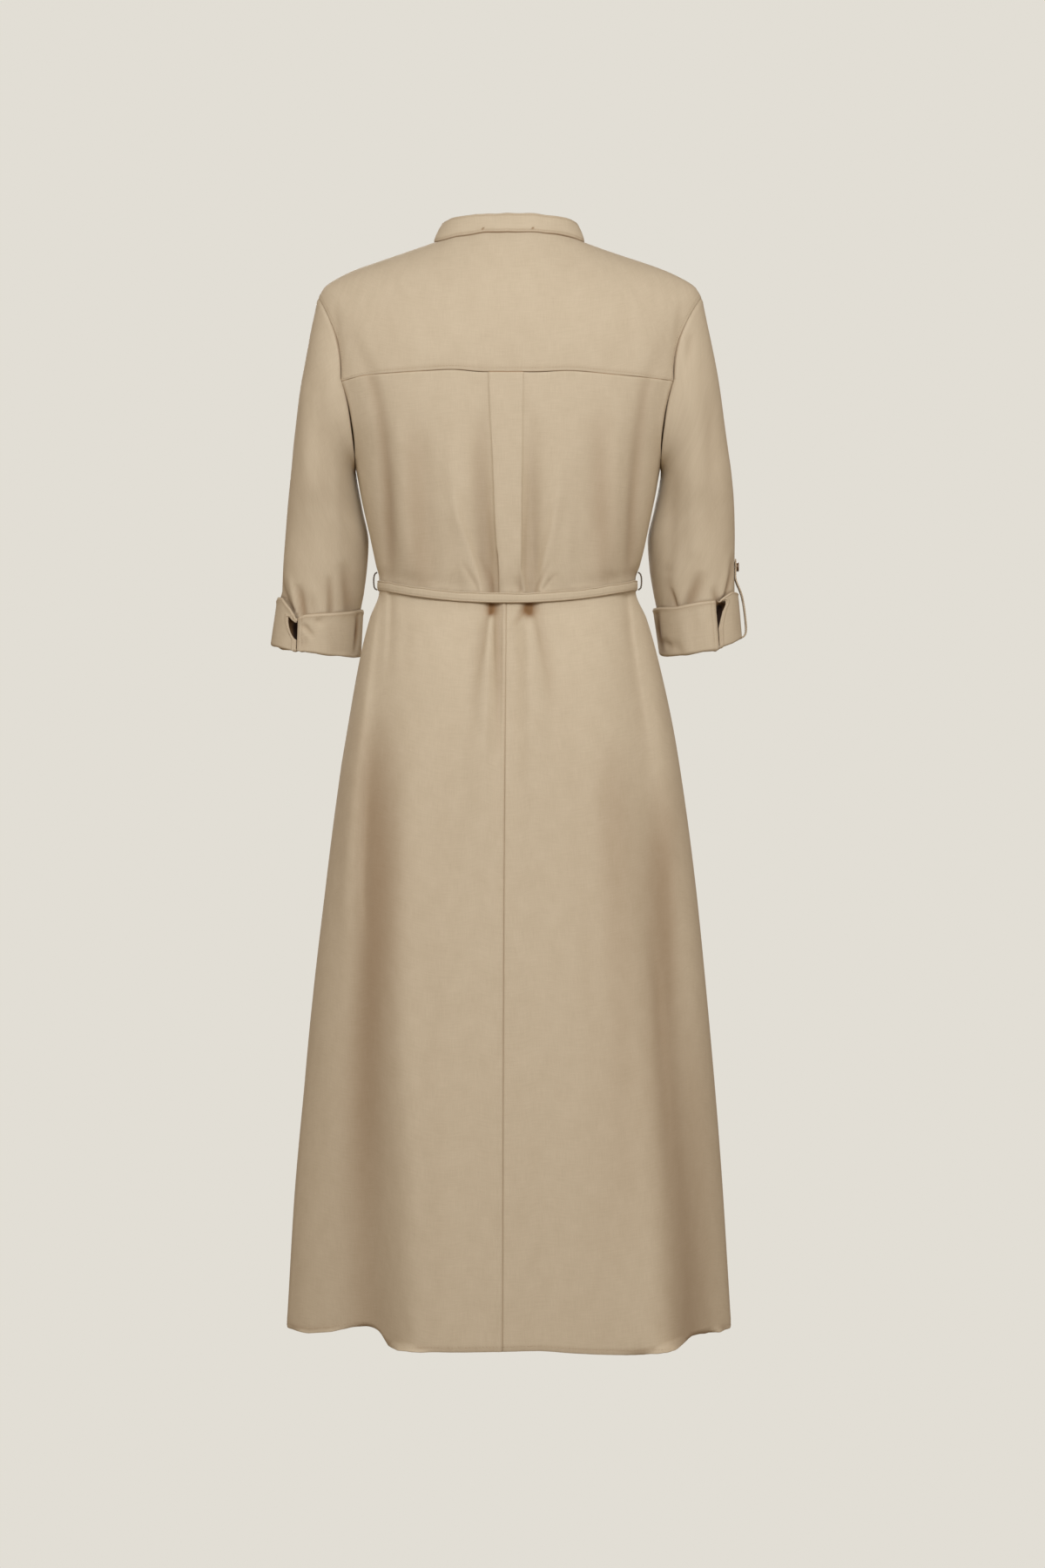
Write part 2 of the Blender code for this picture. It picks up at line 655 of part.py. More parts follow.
def front_bodice_rows(side):
    """Front bodice on one side: arch under the shoulder seam, then the body to the waist."""
    steps = front_steps(FRONT_BODICE_FOLDS, side)

    def angles_at(z, edge):
        knots = front_knots(side, z, bodice_knots, FRONT_BODICE_FOLDS)
        return half_row(knots, steps, side * edge, FRONT_SIDE_STEPS)

    low = angles_at(YOKE_Z, armhole_angle(-1, YOKE_Z))
    sizes = section(YOKE_Z)
    low_shares = [section_point(-1, angle, 0.0, sizes)[0] / EDGE_X_FRONT for angle, _ in low]
    neck_count = 1 + sum(abs(share) <= FRONT_NECK_SHARE for share in low_shares)
    front_angle = math.asin(PLACKET_HALF / NECK_HALF_WIDTH)
    neck_angles = [math.pi, math.pi - front_angle]
    neck_angles += spaced(math.pi - front_angle, NECK_SEAM_ANGLES[side], neck_count - 1)[1:]
    top = []
    for around in neck_angles:
        _, share, turn = neck_place(side * around)
        top.append((share, -turn))
    top[-1] = (top[-1][0], SEAM_TURN - SEAM_TURN_GAP)
    rest = len(low_shares) - len(top)
    top += [(share, SEAM_TURN - SEAM_TURN_GAP) for share in spaced(top[-1][0], side, rest)[1:]]
    rows = []
    for t in spaced(0.0, 1.0, FRONT_ARM_ROWS):
        row = []
        for (share_top, turn_top), share_low in zip(top, low_shares):
            turn = mix(turn_top, -math.pi / 2, t)
            row.append(shoulder_point(mix(share_top, share_low, t), turn))
        rows.append(row)
    for z in arm_heights()[1:]:
        columns = angles_at(z, armhole_angle(-1, z))
        rows.append([body_point(-1, angle, push, z, z) for angle, push in columns])
    for t in waist_shares():
        z = mix(UNDERARM_Z, WAIST_Z, t)
        rows.append([
            body_point(-1, angle, push, z, mix(UNDERARM_Z, waist_height(-1, angle) + HALF_SEAM, t))
            for angle, push in angles_at(z, math.pi / 2)
        ])
    for row in rows:
        row[0].x += side * HALF_SEAM
    for row in rows[FRONT_ARM_ROWS + ARM_ROWS:]:
        row[-1].y -= HALF_SEAM
    return rows


def skirt_rows(face, side, folds):
    """Skirt panel of one side, from its middle edge to the side seam."""
    steps = front_steps(folds, side)
    rows = []
    for t in spaced(0.0, 1.0, SKIRT_ROWS, SKIRT_CROWDING):
        z = mix(WAIST_Z, HEM_Z, t)
        knots = front_knots(side, z, skirt_knots, folds)
        row = []
        for angle, push in half_row(knots, steps, side * math.pi / 2, SKIRT_SIDE_STEPS):
            height = mix(waist_height(face, angle) - HALF_SEAM, hem_height(angle), t)
            row.append(body_point(face, angle, push, z, height))
        row[0].x += side * HALF_SEAM
        row[-1].y += face * HALF_SEAM
        rows.append(row)
    return rows


def facing_out(rows, face, side):
    """Rows turned so that their surface faces out of the dress."""
    return rows if face * side > 0 else [row[::-1] for row in rows]


# ---------------------------------------------------------------- sleeves
def armhole_loop(side):
    """Points of the armhole from the underarm up the back, over the top and down the front."""
    loop = []
    for z in arm_heights()[::-1]:
        loop.append(body_point(1, side * armhole_angle(1, z), 0.0, z, z))
    loop += [shoulder_point(side, turn) for turn in yoke_arm_turns()[::-1][1:]]
    loop += [shoulder_point(side, turn) for turn in front_arm_turns()[1:]]
    for z in arm_heights()[1:-1]:
        loop.append(body_point(-1, side * armhole_angle(-1, z), 0.0, z, z))
    return loop


def sleeve_sizes(side_name, z):
    """Named sizes of a sleeve's ring at one height."""
    table = SLEEVES[side_name]
    heights = column(table, SLEEVE_COLUMNS, "z")
    return {
        name: curve_value(heights, column(table, SLEEVE_COLUMNS, name), z)
        for name in SLEEVE_COLUMNS[1:]
    }


def sleeve_point(side_name, around, z):
    """Point of a sleeve's ring. around is 0 at the inner edge and grows round by the back."""
    side = SIDES[side_name]
    sizes = sleeve_sizes(side_name, z)
    middle = (sizes["outer"] + sizes["inner"]) / 2
    half = (sizes["outer"] - sizes["inner"]) / 2
    x = side * (middle - half * math.cos(around))
    y = sizes["mid_y"] + sizes["half_y"] * power(math.sin(around), RING_POWER)
    return Vector((x, y, z))


def loop_angles(loop):
    """Angle round the sleeve for each armhole point, by its length round the loop."""
    lengths = [0.0]
    for here, there in zip(loop, loop[1:] + loop[:1]):
        lengths.append(lengths[-1] + (there - here).length)
    return [2 * math.pi * length / lengths[-1] for length in lengths[:-1]]


def cuff_edge(side_name, edge, around):
    """Height of the cuff's top or folded edge, which is higher on the outer side."""
    z_inner, z_outer = CUFFS[side_name][edge][:2]
    outward = (1 - math.cos(around)) / 2
    return mix(z_inner, z_outer, outward if edge == "top" else outward ** CUFF_SAG)


def sleeve_bottom(side_name, around):
    """Height of the sleeve's lower end, just inside the cuff's folded edge."""
    return cuff_edge(side_name, "fold", around) + SLEEVE_BOTTOM_RISE


def sleeve_rows(side_name):
    """Sleeve from the armhole, over its head and down to the cuff's folded edge."""
    side = SIDES[side_name]
    loop = armhole_loop(side)
    angles = loop_angles(loop)
    head_z = SLEEVES[side_name][0][0]
    first = [sleeve_point(side_name, around, head_z) for around in angles]
    rows = []
    for t in spaced(0.0, 1.0, SLEEVE_HEAD_ROWS, SLEEVE_CROWDING)[:-1]:
        row = []
        for start, end, around in zip(loop, first, angles):
            drop = (start - end).length
            outward = (1 - math.cos(around)) / 2
            across = SLEEVE_HEAD_SPREAD * math.sin(around) ** 2 + SLEEVE_TOP_SPREAD * outward
            lead = Vector((side * across, SLEEVE_HEAD_SWING * math.sin(around), -1.0)).normalized()
            fall = Vector((side * SLEEVE_FALL_SPREAD * outward, 0.0, -1.0)).normalized()
            pull = min(drop * 1.1, SLEEVE_HEAD_PULL + drop * 0.4)
            point = start * ((1 + 2 * t) * (1 - t) ** 2) + lead * (pull * t * (1 - t) ** 2)
            point += end * (t * t * (3 - 2 * t)) - fall * (drop * t * t * (1 - t))
            if t == 0.0:
                point += lead * (2 * SEAM)
                point.x += side * SEAM
            row.append(point)
        rows.append(row)
    rows.append(first)
    bottoms = [sleeve_bottom(side_name, around) for around in angles]
    for t in spaced(0.0, 1.0, SLEEVE_ROWS)[1:]:
        rows.append([
            sleeve_point(side_name, around, mix(head_z, bottom, t))
            for around, bottom in zip(angles, bottoms)
        ])
    return rows


def cuff_point(side_name, around, share):
    """Point of the turned-up cuff: share is 0 at its top edge and 1 at its folded edge."""
    side = SIDES[side_name]
    top, fold = (CUFFS[side_name][edge] for edge in ("top", "fold"))
    inner, outer = (
        mix(top[place], fold[place], share)
        for place in (CUFF_COLUMNS.index("x_inner"), CUFF_COLUMNS.index("x_outer"))
    )
    z = mix(cuff_edge(side_name, "top", around), cuff_edge(side_name, "fold", around), share)
    x = side * ((outer + inner) / 2 - (outer - inner) / 2 * math.cos(around))
    mid_y = sleeve_sizes(side_name, z)["mid_y"]
    y = mid_y + mix(*CUFF_HALF_Y, share) * power(math.sin(around), RING_POWER)
    return Vector((x, y, z))


def cuff_fold_point(side_name, around):
    """Point under the sleeve's lower edge, from where the cuff turns up."""
    return sleeve_point(side_name, around, cuff_edge(side_name, "fold", around))


def cuff_rows(side_name):
    """Cuff open in a V at its outer back, from one end of the slit round to the other."""
    slit = math.pi - math.radians(CUFF_SLIT_DEG)
    closed = math.radians(CUFF_SLIT_CLOSED_DEG)
    open_at_top = math.radians(CUFF_SLIT_OPEN_DEG)
    back_end = slit - closed
    rows = []
    for share in spaced(0.0, CUFF_ROUNDED, CUFF_ROWS):
        front_end = slit + closed + open_at_top * (1 - ease(share * 1.3))
        turns = spaced(front_end - 2 * math.pi, back_end, CUFF_STEPS)
        rows.append([cuff_point(side_name, around, share) for around in turns])
    turns = spaced(slit + closed - 2 * math.pi, back_end, CUFF_STEPS)
    rows.append([cuff_fold_point(side_name, around) for around in turns])
    return rows


# ---------------------------------------------------------------- small pieces
def strip_along(path, across, half_width):
    """Rows of a strip: each path point with its two edges along across."""
    return [[point - across * half_width, point, point + across * half_width] for point in path]


def smooth_path(points, steps):
    """Rounded path through the points, steps samples for each span."""
    padded = [points[0], *points, points[-1]]
    path = [points[0]]
    for i in range(1, len(padded) - 2):
        before, here, there, after = padded[i - 1 : i + 3]
        for step in range(1, steps + 1):
            t = step / steps
            value = here * 2 + (there - before) * t
            value += (2 * before - 5 * here + 4 * there - after) * t * t
            value += (3 * here - before - 3 * there + after) * t ** 3
            path.append(value / 2)
    return path


def tab_outward(side_name):
    """Direction that the roll tab faces, square to the sleeve's ring."""
    around = math.pi + math.radians(TAB_TURN_DEG[side_name])
    sizes = sleeve_sizes(side_name, TAB_BUTTON_Z)
    half_x = (sizes["outer"] - sizes["inner"]) / 2
    across = -SIDES[side_name] * math.cos(around) * sizes["half_y"]
    return Vector((across, math.sin(around) * half_x, 0.0)).normalized()


def tab_path(side_name):
    """Middle line of the roll tab: from its button down the sleeve, over and under the cuff."""
    around = math.pi + math.radians(TAB_TURN_DEG[side_name])
    outward = tab_outward(side_name)
    over = TAB_CLOTH + 2 * SEAM
    bulge = TAB_BULGE[side_name]
    fold = cuff_point(side_name, around, 1.0)

    def on_sleeve(z):
        return sleeve_point(side_name, around, z) + outward * over

    def on_cuff(share, off):
        return cuff_point(side_name, around, share) + outward * (over + off)

    def under_fold(inwards, below):
        return fold - outward * inwards - Vector((0, 0, below))

    inside = sleeve_point(side_name, around, fold.z + TAB_REACH_INSIDE) - outward * 4 * over
    return smooth_path([
        on_sleeve(TAB_BUTTON_Z + TAB_POINT),
        on_sleeve(TAB_BUTTON_Z),
        on_sleeve(TAB_BUTTON_Z - TAB_POINT * 1.5),
        on_cuff(0.04, bulge * 0.7),
        on_cuff(0.5, bulge),
        on_cuff(0.95, bulge * 0.6 + SEAM),
        under_fold(0.0030, 0.0052),
        under_fold(0.0115, 0.0014),
        inside,
    ], 2)


def make_tab(side_name, group):
    """Roll tab with a pointed end, and its button."""
    path = tab_path(side_name)
    outward = tab_outward(side_name)
    rows = strip_along(path, Vector((outward.y, -outward.x, 0)), TAB_WIDTH / 2)
    for edge in (rows[0][0], rows[0][2]):
        edge.z -= TAB_POINT / 2
    cloth(f"sleeve_tab_{side_name}", rows, group, CLOTH_FINISH, wall=TAB_CLOTH)
    make_button(f"tab_button_{side_name}", path[2] + outward * SEAM, outward,
                SLEEVE_BUTTON_RADIUS, group)


def collar_point(around, share):
    """Point of the collar's outer side: share is 0 at its seam and 1 at its top edge."""
    base = neck_point(around)
    flat = Vector((base.x, base.y, 0.0)).normalized()
    lapped = ease((-around - math.radians(COLLAR_LAP_EASE_DEG[0]))
                  / math.radians(COLLAR_LAP_EASE_DEG[1]))
    out = (2 * SEAM + CLOTH) * lapped - COLLAR_LEAN * share ** COLLAR_CURL
    return base + flat * out + Vector((0, 0, COLLAR_GAP + COLLAR_HEIGHT * share))


def collar_rows():
    """Band collar round the neck, its right end lapped over its left end at the front."""
    lap = math.radians(COLLAR_LAP_DEG)
    turns = spaced(-math.pi - lap, math.pi - math.radians(1), COLLAR_STEPS)
    return [[collar_point(around, share) for around in turns] for share in (1.0, 0.5, 0.0)]


def make_collar_button(group):
    """Button through the collar's lapped ends."""
    around = -math.pi
    middle = collar_point(around, 0.5)
    up = collar_point(around, 0.8) - collar_point(around, 0.2)
    outward = Vector((0, -up.z, up.y)).normalized()
    make_button("collar_button", middle + outward * SEAM * 3, outward, BUTTON_RADIUS, group)


def placket_rows():
    """Placket over the meeting edges of the fronts, from the neck down to the hem."""
    left = front_bodice_rows(1)[:-1] + skirt_rows(-1, 1, FRONT_SKIRT_FOLDS)[1:]
    right = front_bodice_rows(-1)[:-1] + skirt_rows(-1, -1, FRONT_SKIRT_FOLDS)[1:]
    rows = []
    for left_row, right_row in zip(left, right):
        middle = (left_row[0] + right_row[0]) / 2
        rows.append([left_row[1], middle, right_row[1]])
    rows[0] = [high.lerp(low, PLACKET_BELOW_COLLAR) for high, low in zip(rows[0], rows[1])]
    return moved_out(rows, SEAM + PLACKET_CLOTH)


def belt_line(around):
    """Point of the waist seam, for an angle that grows from the back round by the left."""
    face = 1 if math.cos(around) >= 0 else -1
    angle = math.asin(math.sin(around))
    x, y = section_point(face, angle, 0.0, section(WAIST_Z))
    return Vector((x, y, waist_height(face, angle)))


def belt_rows():
    """Belt round the waist, lifted over the placket at the front."""
    rows = []
    for height in (BELT_HEIGHT / 2, -BELT_HEIGHT / 2):
        row = []
        for k in range(BELT_STEPS):
            around = 2 * math.pi * k / BELT_STEPS
            here = belt_line(around)
            ahead = belt_line(around + 0.01) - belt_line(around - 0.01)
            outward = Vector((-ahead.y, ahead.x, 0)).normalized()
            near_front = ease(1.35 - abs(here.x) / (PLACKET_HALF * 1.6)) * (here.y < 0)
            lift = BELT_OFF + BELT_CLOTH + (SEAM + PLACKET_CLOTH) * near_front
            row.append(here + outward * lift + Vector((0, 0, height)))
        rows.append(row)
    return rows


def make_knot(group):
    """Knot of the belt at the middle of the front."""
    waist = belt_line(math.pi)
    mesh = bpy.data.meshes.new("belt_knot")
    shape = bmesh.new()
    bmesh.ops.create_uvsphere(shape, u_segments=14, v_segments=8, radius=0.5)
    lift = BELT_OFF + BELT_CLOTH + 2 * SEAM + PLACKET_CLOTH
    middle = Vector((0, waist.y - lift - KNOT_SIZE[1] / 2, waist.z))
    for vert in shape.verts:
        vert.co = Vector((
            middle.x + power(vert.co.x * 2, 0.8) * KNOT_SIZE[0] / 2,
            middle.y + vert.co.y * KNOT_SIZE[1],
            middle.z + power(vert.co.z * 2, 0.8) * KNOT_SIZE[2] / 2,
        ))
    shape.to_mesh(mesh)
    shape.free()
    return add_object("belt_knot", mesh, finish_of("belt_knot", CLOTH_FINISH), group)


def tail_rows(side_name):
    """Hanging end of the belt, from under the knot down along the skirt's front."""
    side = SIDES[side_name]
    start_z = WAIST_Z - WAIST_DIP_FRONT - KNOT_SIZE[2] / 2 - SEAM
    rows = []
    for t in spaced(0.0, 1.0, TAIL_STEPS):
        z = start_z - TAIL_LENGTHS[side_name] * t
        x_middle = side * mix(*TAIL_PLACES, ease(t * 1.4))
        clear = mix(TAIL_OFF_AT_KNOT, TAIL_OFF, ease(t * 3))
        row = []
        for offset in (BELT_HEIGHT / 2, 0.0, -BELT_HEIGHT / 2):
            x = x_middle + offset
            sizes = section(z)
            _, y = section_point(-1, angle_of(x, sizes), 0.0, sizes)
            row.append(Vector((x, y - clear, z)))
        rows.append(row)
    return rows


def make_loop(side_name, group):
    """Thread loop that holds the belt at a side seam: a bevelled curve over the belt."""
    side = SIDES[side_name]
    waist = belt_line(side * math.pi / 2)
    high = waist.z + LOOP_ENDS[0]
    low = waist.z - LOOP_ENDS[1]
    wall_x = section(high)[side_name] + 2 * SEAM + LOOP_THREAD_RADIUS
    curve = bpy.data.curves.new(f"belt_loop_{side_name}", "CURVE")
    curve.dimensions = "3D"
    curve.bevel_depth = LOOP_THREAD_RADIUS
    curve.bevel_resolution = 1
    curve.use_fill_caps = True
    route = smooth_path([
        Vector((side * wall_x, 0.0, high)),
        Vector((side * (wall_x + LOOP_REACH * 0.7), 0.0, high - 0.004)),
        Vector((side * (wall_x + LOOP_REACH), 0.0, (high + low) / 2)),
        Vector((side * (wall_x + LOOP_REACH * 0.8), 0.0, low + 0.004)),
        Vector((side * (wall_x + 0.0006), 0.0, low)),
    ], 3)
    spline = curve.splines.new("POLY")
    spline.points.add(len(route) - 1)
    for point, place in zip(spline.points, route):
        point.co = (*place, 1.0)
    curve.materials.append(finish_of(f"belt_loop_{side_name}", CLOTH_FINISH))
    made = bpy.data.objects.new(f"belt_loop_{side_name}", curve)
    group.objects.link(made)
    return made


def make_button(name, middle, outward, radius, group):
    """Flat round button with a softened rim."""
    mesh = bpy.data.meshes.new(name)
    shape = bmesh.new()
    bmesh.ops.create_cone(shape, cap_ends=True, segments=BUTTON_SIDES, radius1=radius, radius2=radius,
                          depth=BUTTON_THICK)
    rim = [edge for edge in shape.edges if all(vert.co.z > 0 for vert in edge.verts)]
    bmesh.ops.bevel(shape, geom=rim, offset=BUTTON_THICK * 0.35, segments=1, affect="EDGES")
    shape.to_mesh(mesh)
    shape.free()
    made = add_object(name, mesh, finish_of(name, BUTTON_FINISH), group)
    made.location = middle + outward * (BUTTON_THICK / 2)
    made.rotation_euler = outward.to_track_quat("Z", "Y").to_euler()
    return made


def front_button_places():
    """Middle and outward direction of each placket button."""
    rows = placket_rows()
    heights = [row[1].z for row in rows]
    places = []
    for wanted in FRONT_BUTTON_Z:
        i = next(k for k in range(len(rows) - 1) if heights[k + 1] <= wanted)
        share = (heights[i] - wanted) / (heights[i] - heights[i + 1])
        middle = rows[i][1].lerp(rows[i + 1][1], share)
        down = rows[i + 1][1] - rows[i][1]
        outward = Vector((0, down.z, -down.y)).normalized()
        outward = outward if outward.y < 0 else -outward
        places.append((middle + outward * SEAM * 3, outward))
    return places


# ---------------------------------------------------------------- the dress
def clear_scene():
    """Removes every object of the scene."""
    for old in list(bpy.data.objects):
        bpy.data.objects.remove(old)


def build_dress():
    """Makes every piece of the dress."""
    clear_scene()
    group = collection_for("shirt_dress")
    cloth("collar", collar_rows(), group, CLOTH_FINISH)
    make_collar_button(group)
    cloth("yoke", yoke_rows(), group, CLOTH_FINISH)
    cloth("back_bodice", back_bodice_rows(), group, CLOTH_FINISH)
    for side_name, side in SIDES.items():
        cloth(f"front_bodice_{side_name}", facing_out(front_bodice_rows(side), -1, side),
              group, CLOTH_FINISH)
        cloth(f"back_skirt_{side_name}",
              facing_out(skirt_rows(1, side, BACK_SKIRT_FOLDS), 1, side), group, CLOTH_FINISH)
        cloth(f"front_skirt_{side_name}",
              facing_out(skirt_rows(-1, side, FRONT_SKIRT_FOLDS), -1, side), group, CLOTH_FINISH)
        cloth(f"sleeve_{side_name}", facing_out(sleeve_rows(side_name), 1, side), group,
              CLOTH_FINISH, ring=True)
        cloth(f"cuff_{side_name}", facing_out(cuff_rows(side_name), 1, side), group, CLOTH_FINISH)
        make_tab(side_name, group)
        cloth(f"belt_end_{side_name}", tail_rows(side_name), group, CLOTH_FINISH, wall=BELT_CLOTH)
        make_loop(side_name, group)
    cloth("placket", placket_rows(), group, CLOTH_FINISH, wall=PLACKET_CLOTH)
    cloth("belt", belt_rows(), group, CLOTH_FINISH, ring=True, wall=BELT_CLOTH)
    make_knot(group)
    for number, (middle, outward) in enumerate(front_button_places(), 1):
        make_button(f"front_button_{number:02d}", middle, outward, BUTTON_RADIUS, group)


build_dress()
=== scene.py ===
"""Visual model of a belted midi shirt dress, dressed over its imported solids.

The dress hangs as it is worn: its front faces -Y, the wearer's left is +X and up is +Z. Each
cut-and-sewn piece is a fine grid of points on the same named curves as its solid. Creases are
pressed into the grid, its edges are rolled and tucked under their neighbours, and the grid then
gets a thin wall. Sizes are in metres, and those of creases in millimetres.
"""

import logging
import math
from dataclasses import dataclass, field
from enum import Enum
from functools import cache

import bmesh
import bpy
import numpy as np
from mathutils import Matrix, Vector


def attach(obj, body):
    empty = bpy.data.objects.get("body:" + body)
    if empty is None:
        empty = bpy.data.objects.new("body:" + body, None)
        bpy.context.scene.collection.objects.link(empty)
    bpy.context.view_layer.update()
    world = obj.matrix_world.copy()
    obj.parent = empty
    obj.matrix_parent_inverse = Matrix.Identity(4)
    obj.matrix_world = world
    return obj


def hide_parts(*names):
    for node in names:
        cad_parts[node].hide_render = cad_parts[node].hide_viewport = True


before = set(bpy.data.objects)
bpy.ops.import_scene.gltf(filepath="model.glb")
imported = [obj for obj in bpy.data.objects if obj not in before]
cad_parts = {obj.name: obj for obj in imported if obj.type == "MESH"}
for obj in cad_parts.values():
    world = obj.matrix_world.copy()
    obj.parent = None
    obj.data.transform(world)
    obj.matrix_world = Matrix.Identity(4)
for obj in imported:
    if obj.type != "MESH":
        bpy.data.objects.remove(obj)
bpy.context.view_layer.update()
LOG = logging.getLogger("shirt_dress")
Array = np.ndarray
Values = float | np.ndarray
Place = tuple[float, float, float]
Table = tuple[tuple[float, ...], ...]
MM = 0.001

# ---------------------------------------------------------------- driving sizes of the solids
CLOTH = 0.0012
SEAM = 0.0003
HALF_SEAM = SEAM / 2
YOKE_Z = -0.148
UNDERARM_Z = -0.235
WAIST_Z = -0.367
MID_SKIRT_Z = -0.75
HEM_Z = -1.1705
WAIST_DIP_BACK = 0.017
WAIST_DIP_FRONT = 0.007
HEM_SIDE_RISE = 0.007
TIP_LEFT = 0.2034
TIP_RIGHT = 0.2082
RIDGE_Y = -0.003
EDGE_X_BACK = 0.1767
EDGE_X_FRONT = 0.166
NECK_HALF_WIDTH = 0.0815
NECK_SHIFT = -0.0012
NECK_BACK = 0.05
NECK_FRONT = 0.088
SHOULDER_SEAM_DEG = -13.0
COLLAR_HEIGHT = 0.0225
COLLAR_GAP = 0.0008
COLLAR_LEAN = 0.0085
COLLAR_CURL = 1.4
COLLAR_LAP_DEG = 9.0
COLLAR_LAP_EASE_DEG = (140.0, 30.0)
PLACKET_HALF = 0.014
PLACKET_CLOTH = 0.001
PLACKET_BELOW_COLLAR = 0.12
BELT_HEIGHT = 0.0112
BELT_CLOTH = 0.0012
BELT_OFF = 0.0012
BELT_PRESS = 0.95
BELT_REACH = 0.026
KNOT_SIZE = (0.026, 0.012, 0.02)
TAIL_LENGTHS = {"left": 0.33, "right": 0.307}
TAIL_PLACES = (0.0062, 0.024)
TAIL_OFF_AT_KNOT = 0.0104
TAIL_OFF = 0.0052
LOOP_THREAD_RADIUS = 0.0008
LOOP_REACH = 0.0042
LOOP_ENDS = (0.0145, 0.0095)
CUFF_SLIT_DEG = {"left": 62.0, "right": 63.5}
CUFF_SLIT_CLOSED_DEG = 0.5
TAB_WIDTH = 0.02
TAB_CLOTH = 0.0014
TAB_BUTTON_Z = -0.345
TAB_POINT = 0.009
TAB_REACH_INSIDE = 0.022
TAB_BULGE = {"left": 0.0008, "right": 0.0042}
TAB_TURN_DEG = {"left": 34.0, "right": 0.0}
BUTTON_RADIUS = 0.0058
BUTTON_THICK = 0.0024
BUTTON_SIDES = 36
BUTTON_DISH = 0.66
HOLE_PLACE = 0.20
HOLE_RADIUS = 0.085
DOME_SIDES = 10
SLEEVE_BUTTON_RADIUS = 0.005
RING_POWER = 0.92
SLEEVE_HEAD_PULL = 0.085
SLEEVE_PULL_SHARES = (1.1, 0.4)
SLEEVE_HEAD_SPREAD = 0.55
SLEEVE_TOP_SPREAD = 0.22
SLEEVE_HEAD_SWING = 0.16
SLEEVE_FALL_SPREAD = 0.1
SLEEVE_BOTTOM_RISE = 0.0032
CUFF_HALF_Y = (0.0572, 0.055)
CUFF_ROUNDED = 0.93
CUFF_SAG = 1.9
YOKE_CORNER_DEG = 52.0
FRONT_NECK_SHARE = 0.4
SIDES = {"left": 1, "right": -1}

# Plan sections: z, half width left and right, depth back and front, power of the rounding.
SECTIONS = np.array((
    (-0.148, 0.193, 0.193, 0.101, 0.112, 0.8), (-0.19, 0.179, 0.179, 0.104, 0.123, 0.82),
    (-0.235, 0.164, 0.1645, 0.105, 0.129, 0.84), (-0.275, 0.156, 0.157, 0.1035, 0.126, 0.86),
    (-0.318, 0.1468, 0.148, 0.1, 0.118, 0.88), (-0.345, 0.1408, 0.1412, 0.0975, 0.111, 0.89),
    (-0.36, 0.1374, 0.1368, 0.0955, 0.106, 0.9), (-0.374, 0.1376, 0.1372, 0.0955, 0.106, 0.9),
    (-0.402, 0.1477, 0.149, 0.104, 0.111, 0.89), (-0.45, 0.1595, 0.1625, 0.118, 0.12, 0.88),
    (-0.542, 0.1748, 0.1812, 0.132, 0.131, 0.87), (-0.683, 0.1945, 0.2, 0.143, 0.143, 0.86),
    (-0.851, 0.2132, 0.2168, 0.154, 0.156, 0.85), (-1.019, 0.2281, 0.2309, 0.163, 0.168, 0.85),
    (-1.168, 0.2368, 0.2393, 0.17, 0.178, 0.85),
))
# Shoulder ridge: distance from the middle, height.
RIDGE = np.array((
    (0, 0.0285), (0.02, 0.027), (0.05, 0.015), (0.082, 0), (0.0986, -0.0056), (0.138, -0.0187),
    (0.1636, -0.028), (0.183, -0.0374), (0.197, -0.0468), (0.2034, -0.058),
))
# Bodice folds: x at the yoke seam and at the waist, depth in (+) or out (-) at both.
BACK_BODICE_FOLDS = np.array((
    (-0.142, -0.129, 0, 0.005), (-0.118, -0.108, 0, -0.003), (-0.09, -0.08, 0, 0.003),
    (-0.056, -0.048, 0, -0.004), (-0.027, -0.0255, 0.001, 0.0085), (-0.0172, -0.0165, 0.0006, 0.003),
    (-0.0162, -0.014, -0.0012, -0.003), (0.0015, -0.001, -0.0012, -0.003),
    (0.0196, 0.0095, -0.0012, -0.003), (0.0206, 0.0118, 0.0006, 0.003), (0.031, 0.024, 0.001, 0.0085),
    (0.06, 0.052, 0, -0.004), (0.09, 0.079, 0, 0.003), (0.116, 0.105, 0, -0.003),
    (0.142, 0.128, 0, 0.007),
))
FRONT_BODICE_FOLDS = np.array((
    (-0.125, -0.118, 0, 0.005), (-0.095, -0.09, 0, -0.005), (-0.065, -0.06, 0, 0.005),
    (-0.038, -0.034, 0, -0.002), (-PLACKET_HALF, -PLACKET_HALF, 0, 0), (0, 0, 0, 0),
    (PLACKET_HALF, PLACKET_HALF, 0, 0), (0.038, 0.036, 0, -0.002), (0.065, 0.064, 0, 0.005),
    (0.095, 0.09, 0, -0.005), (0.125, 0.116, 0, 0.005),
))
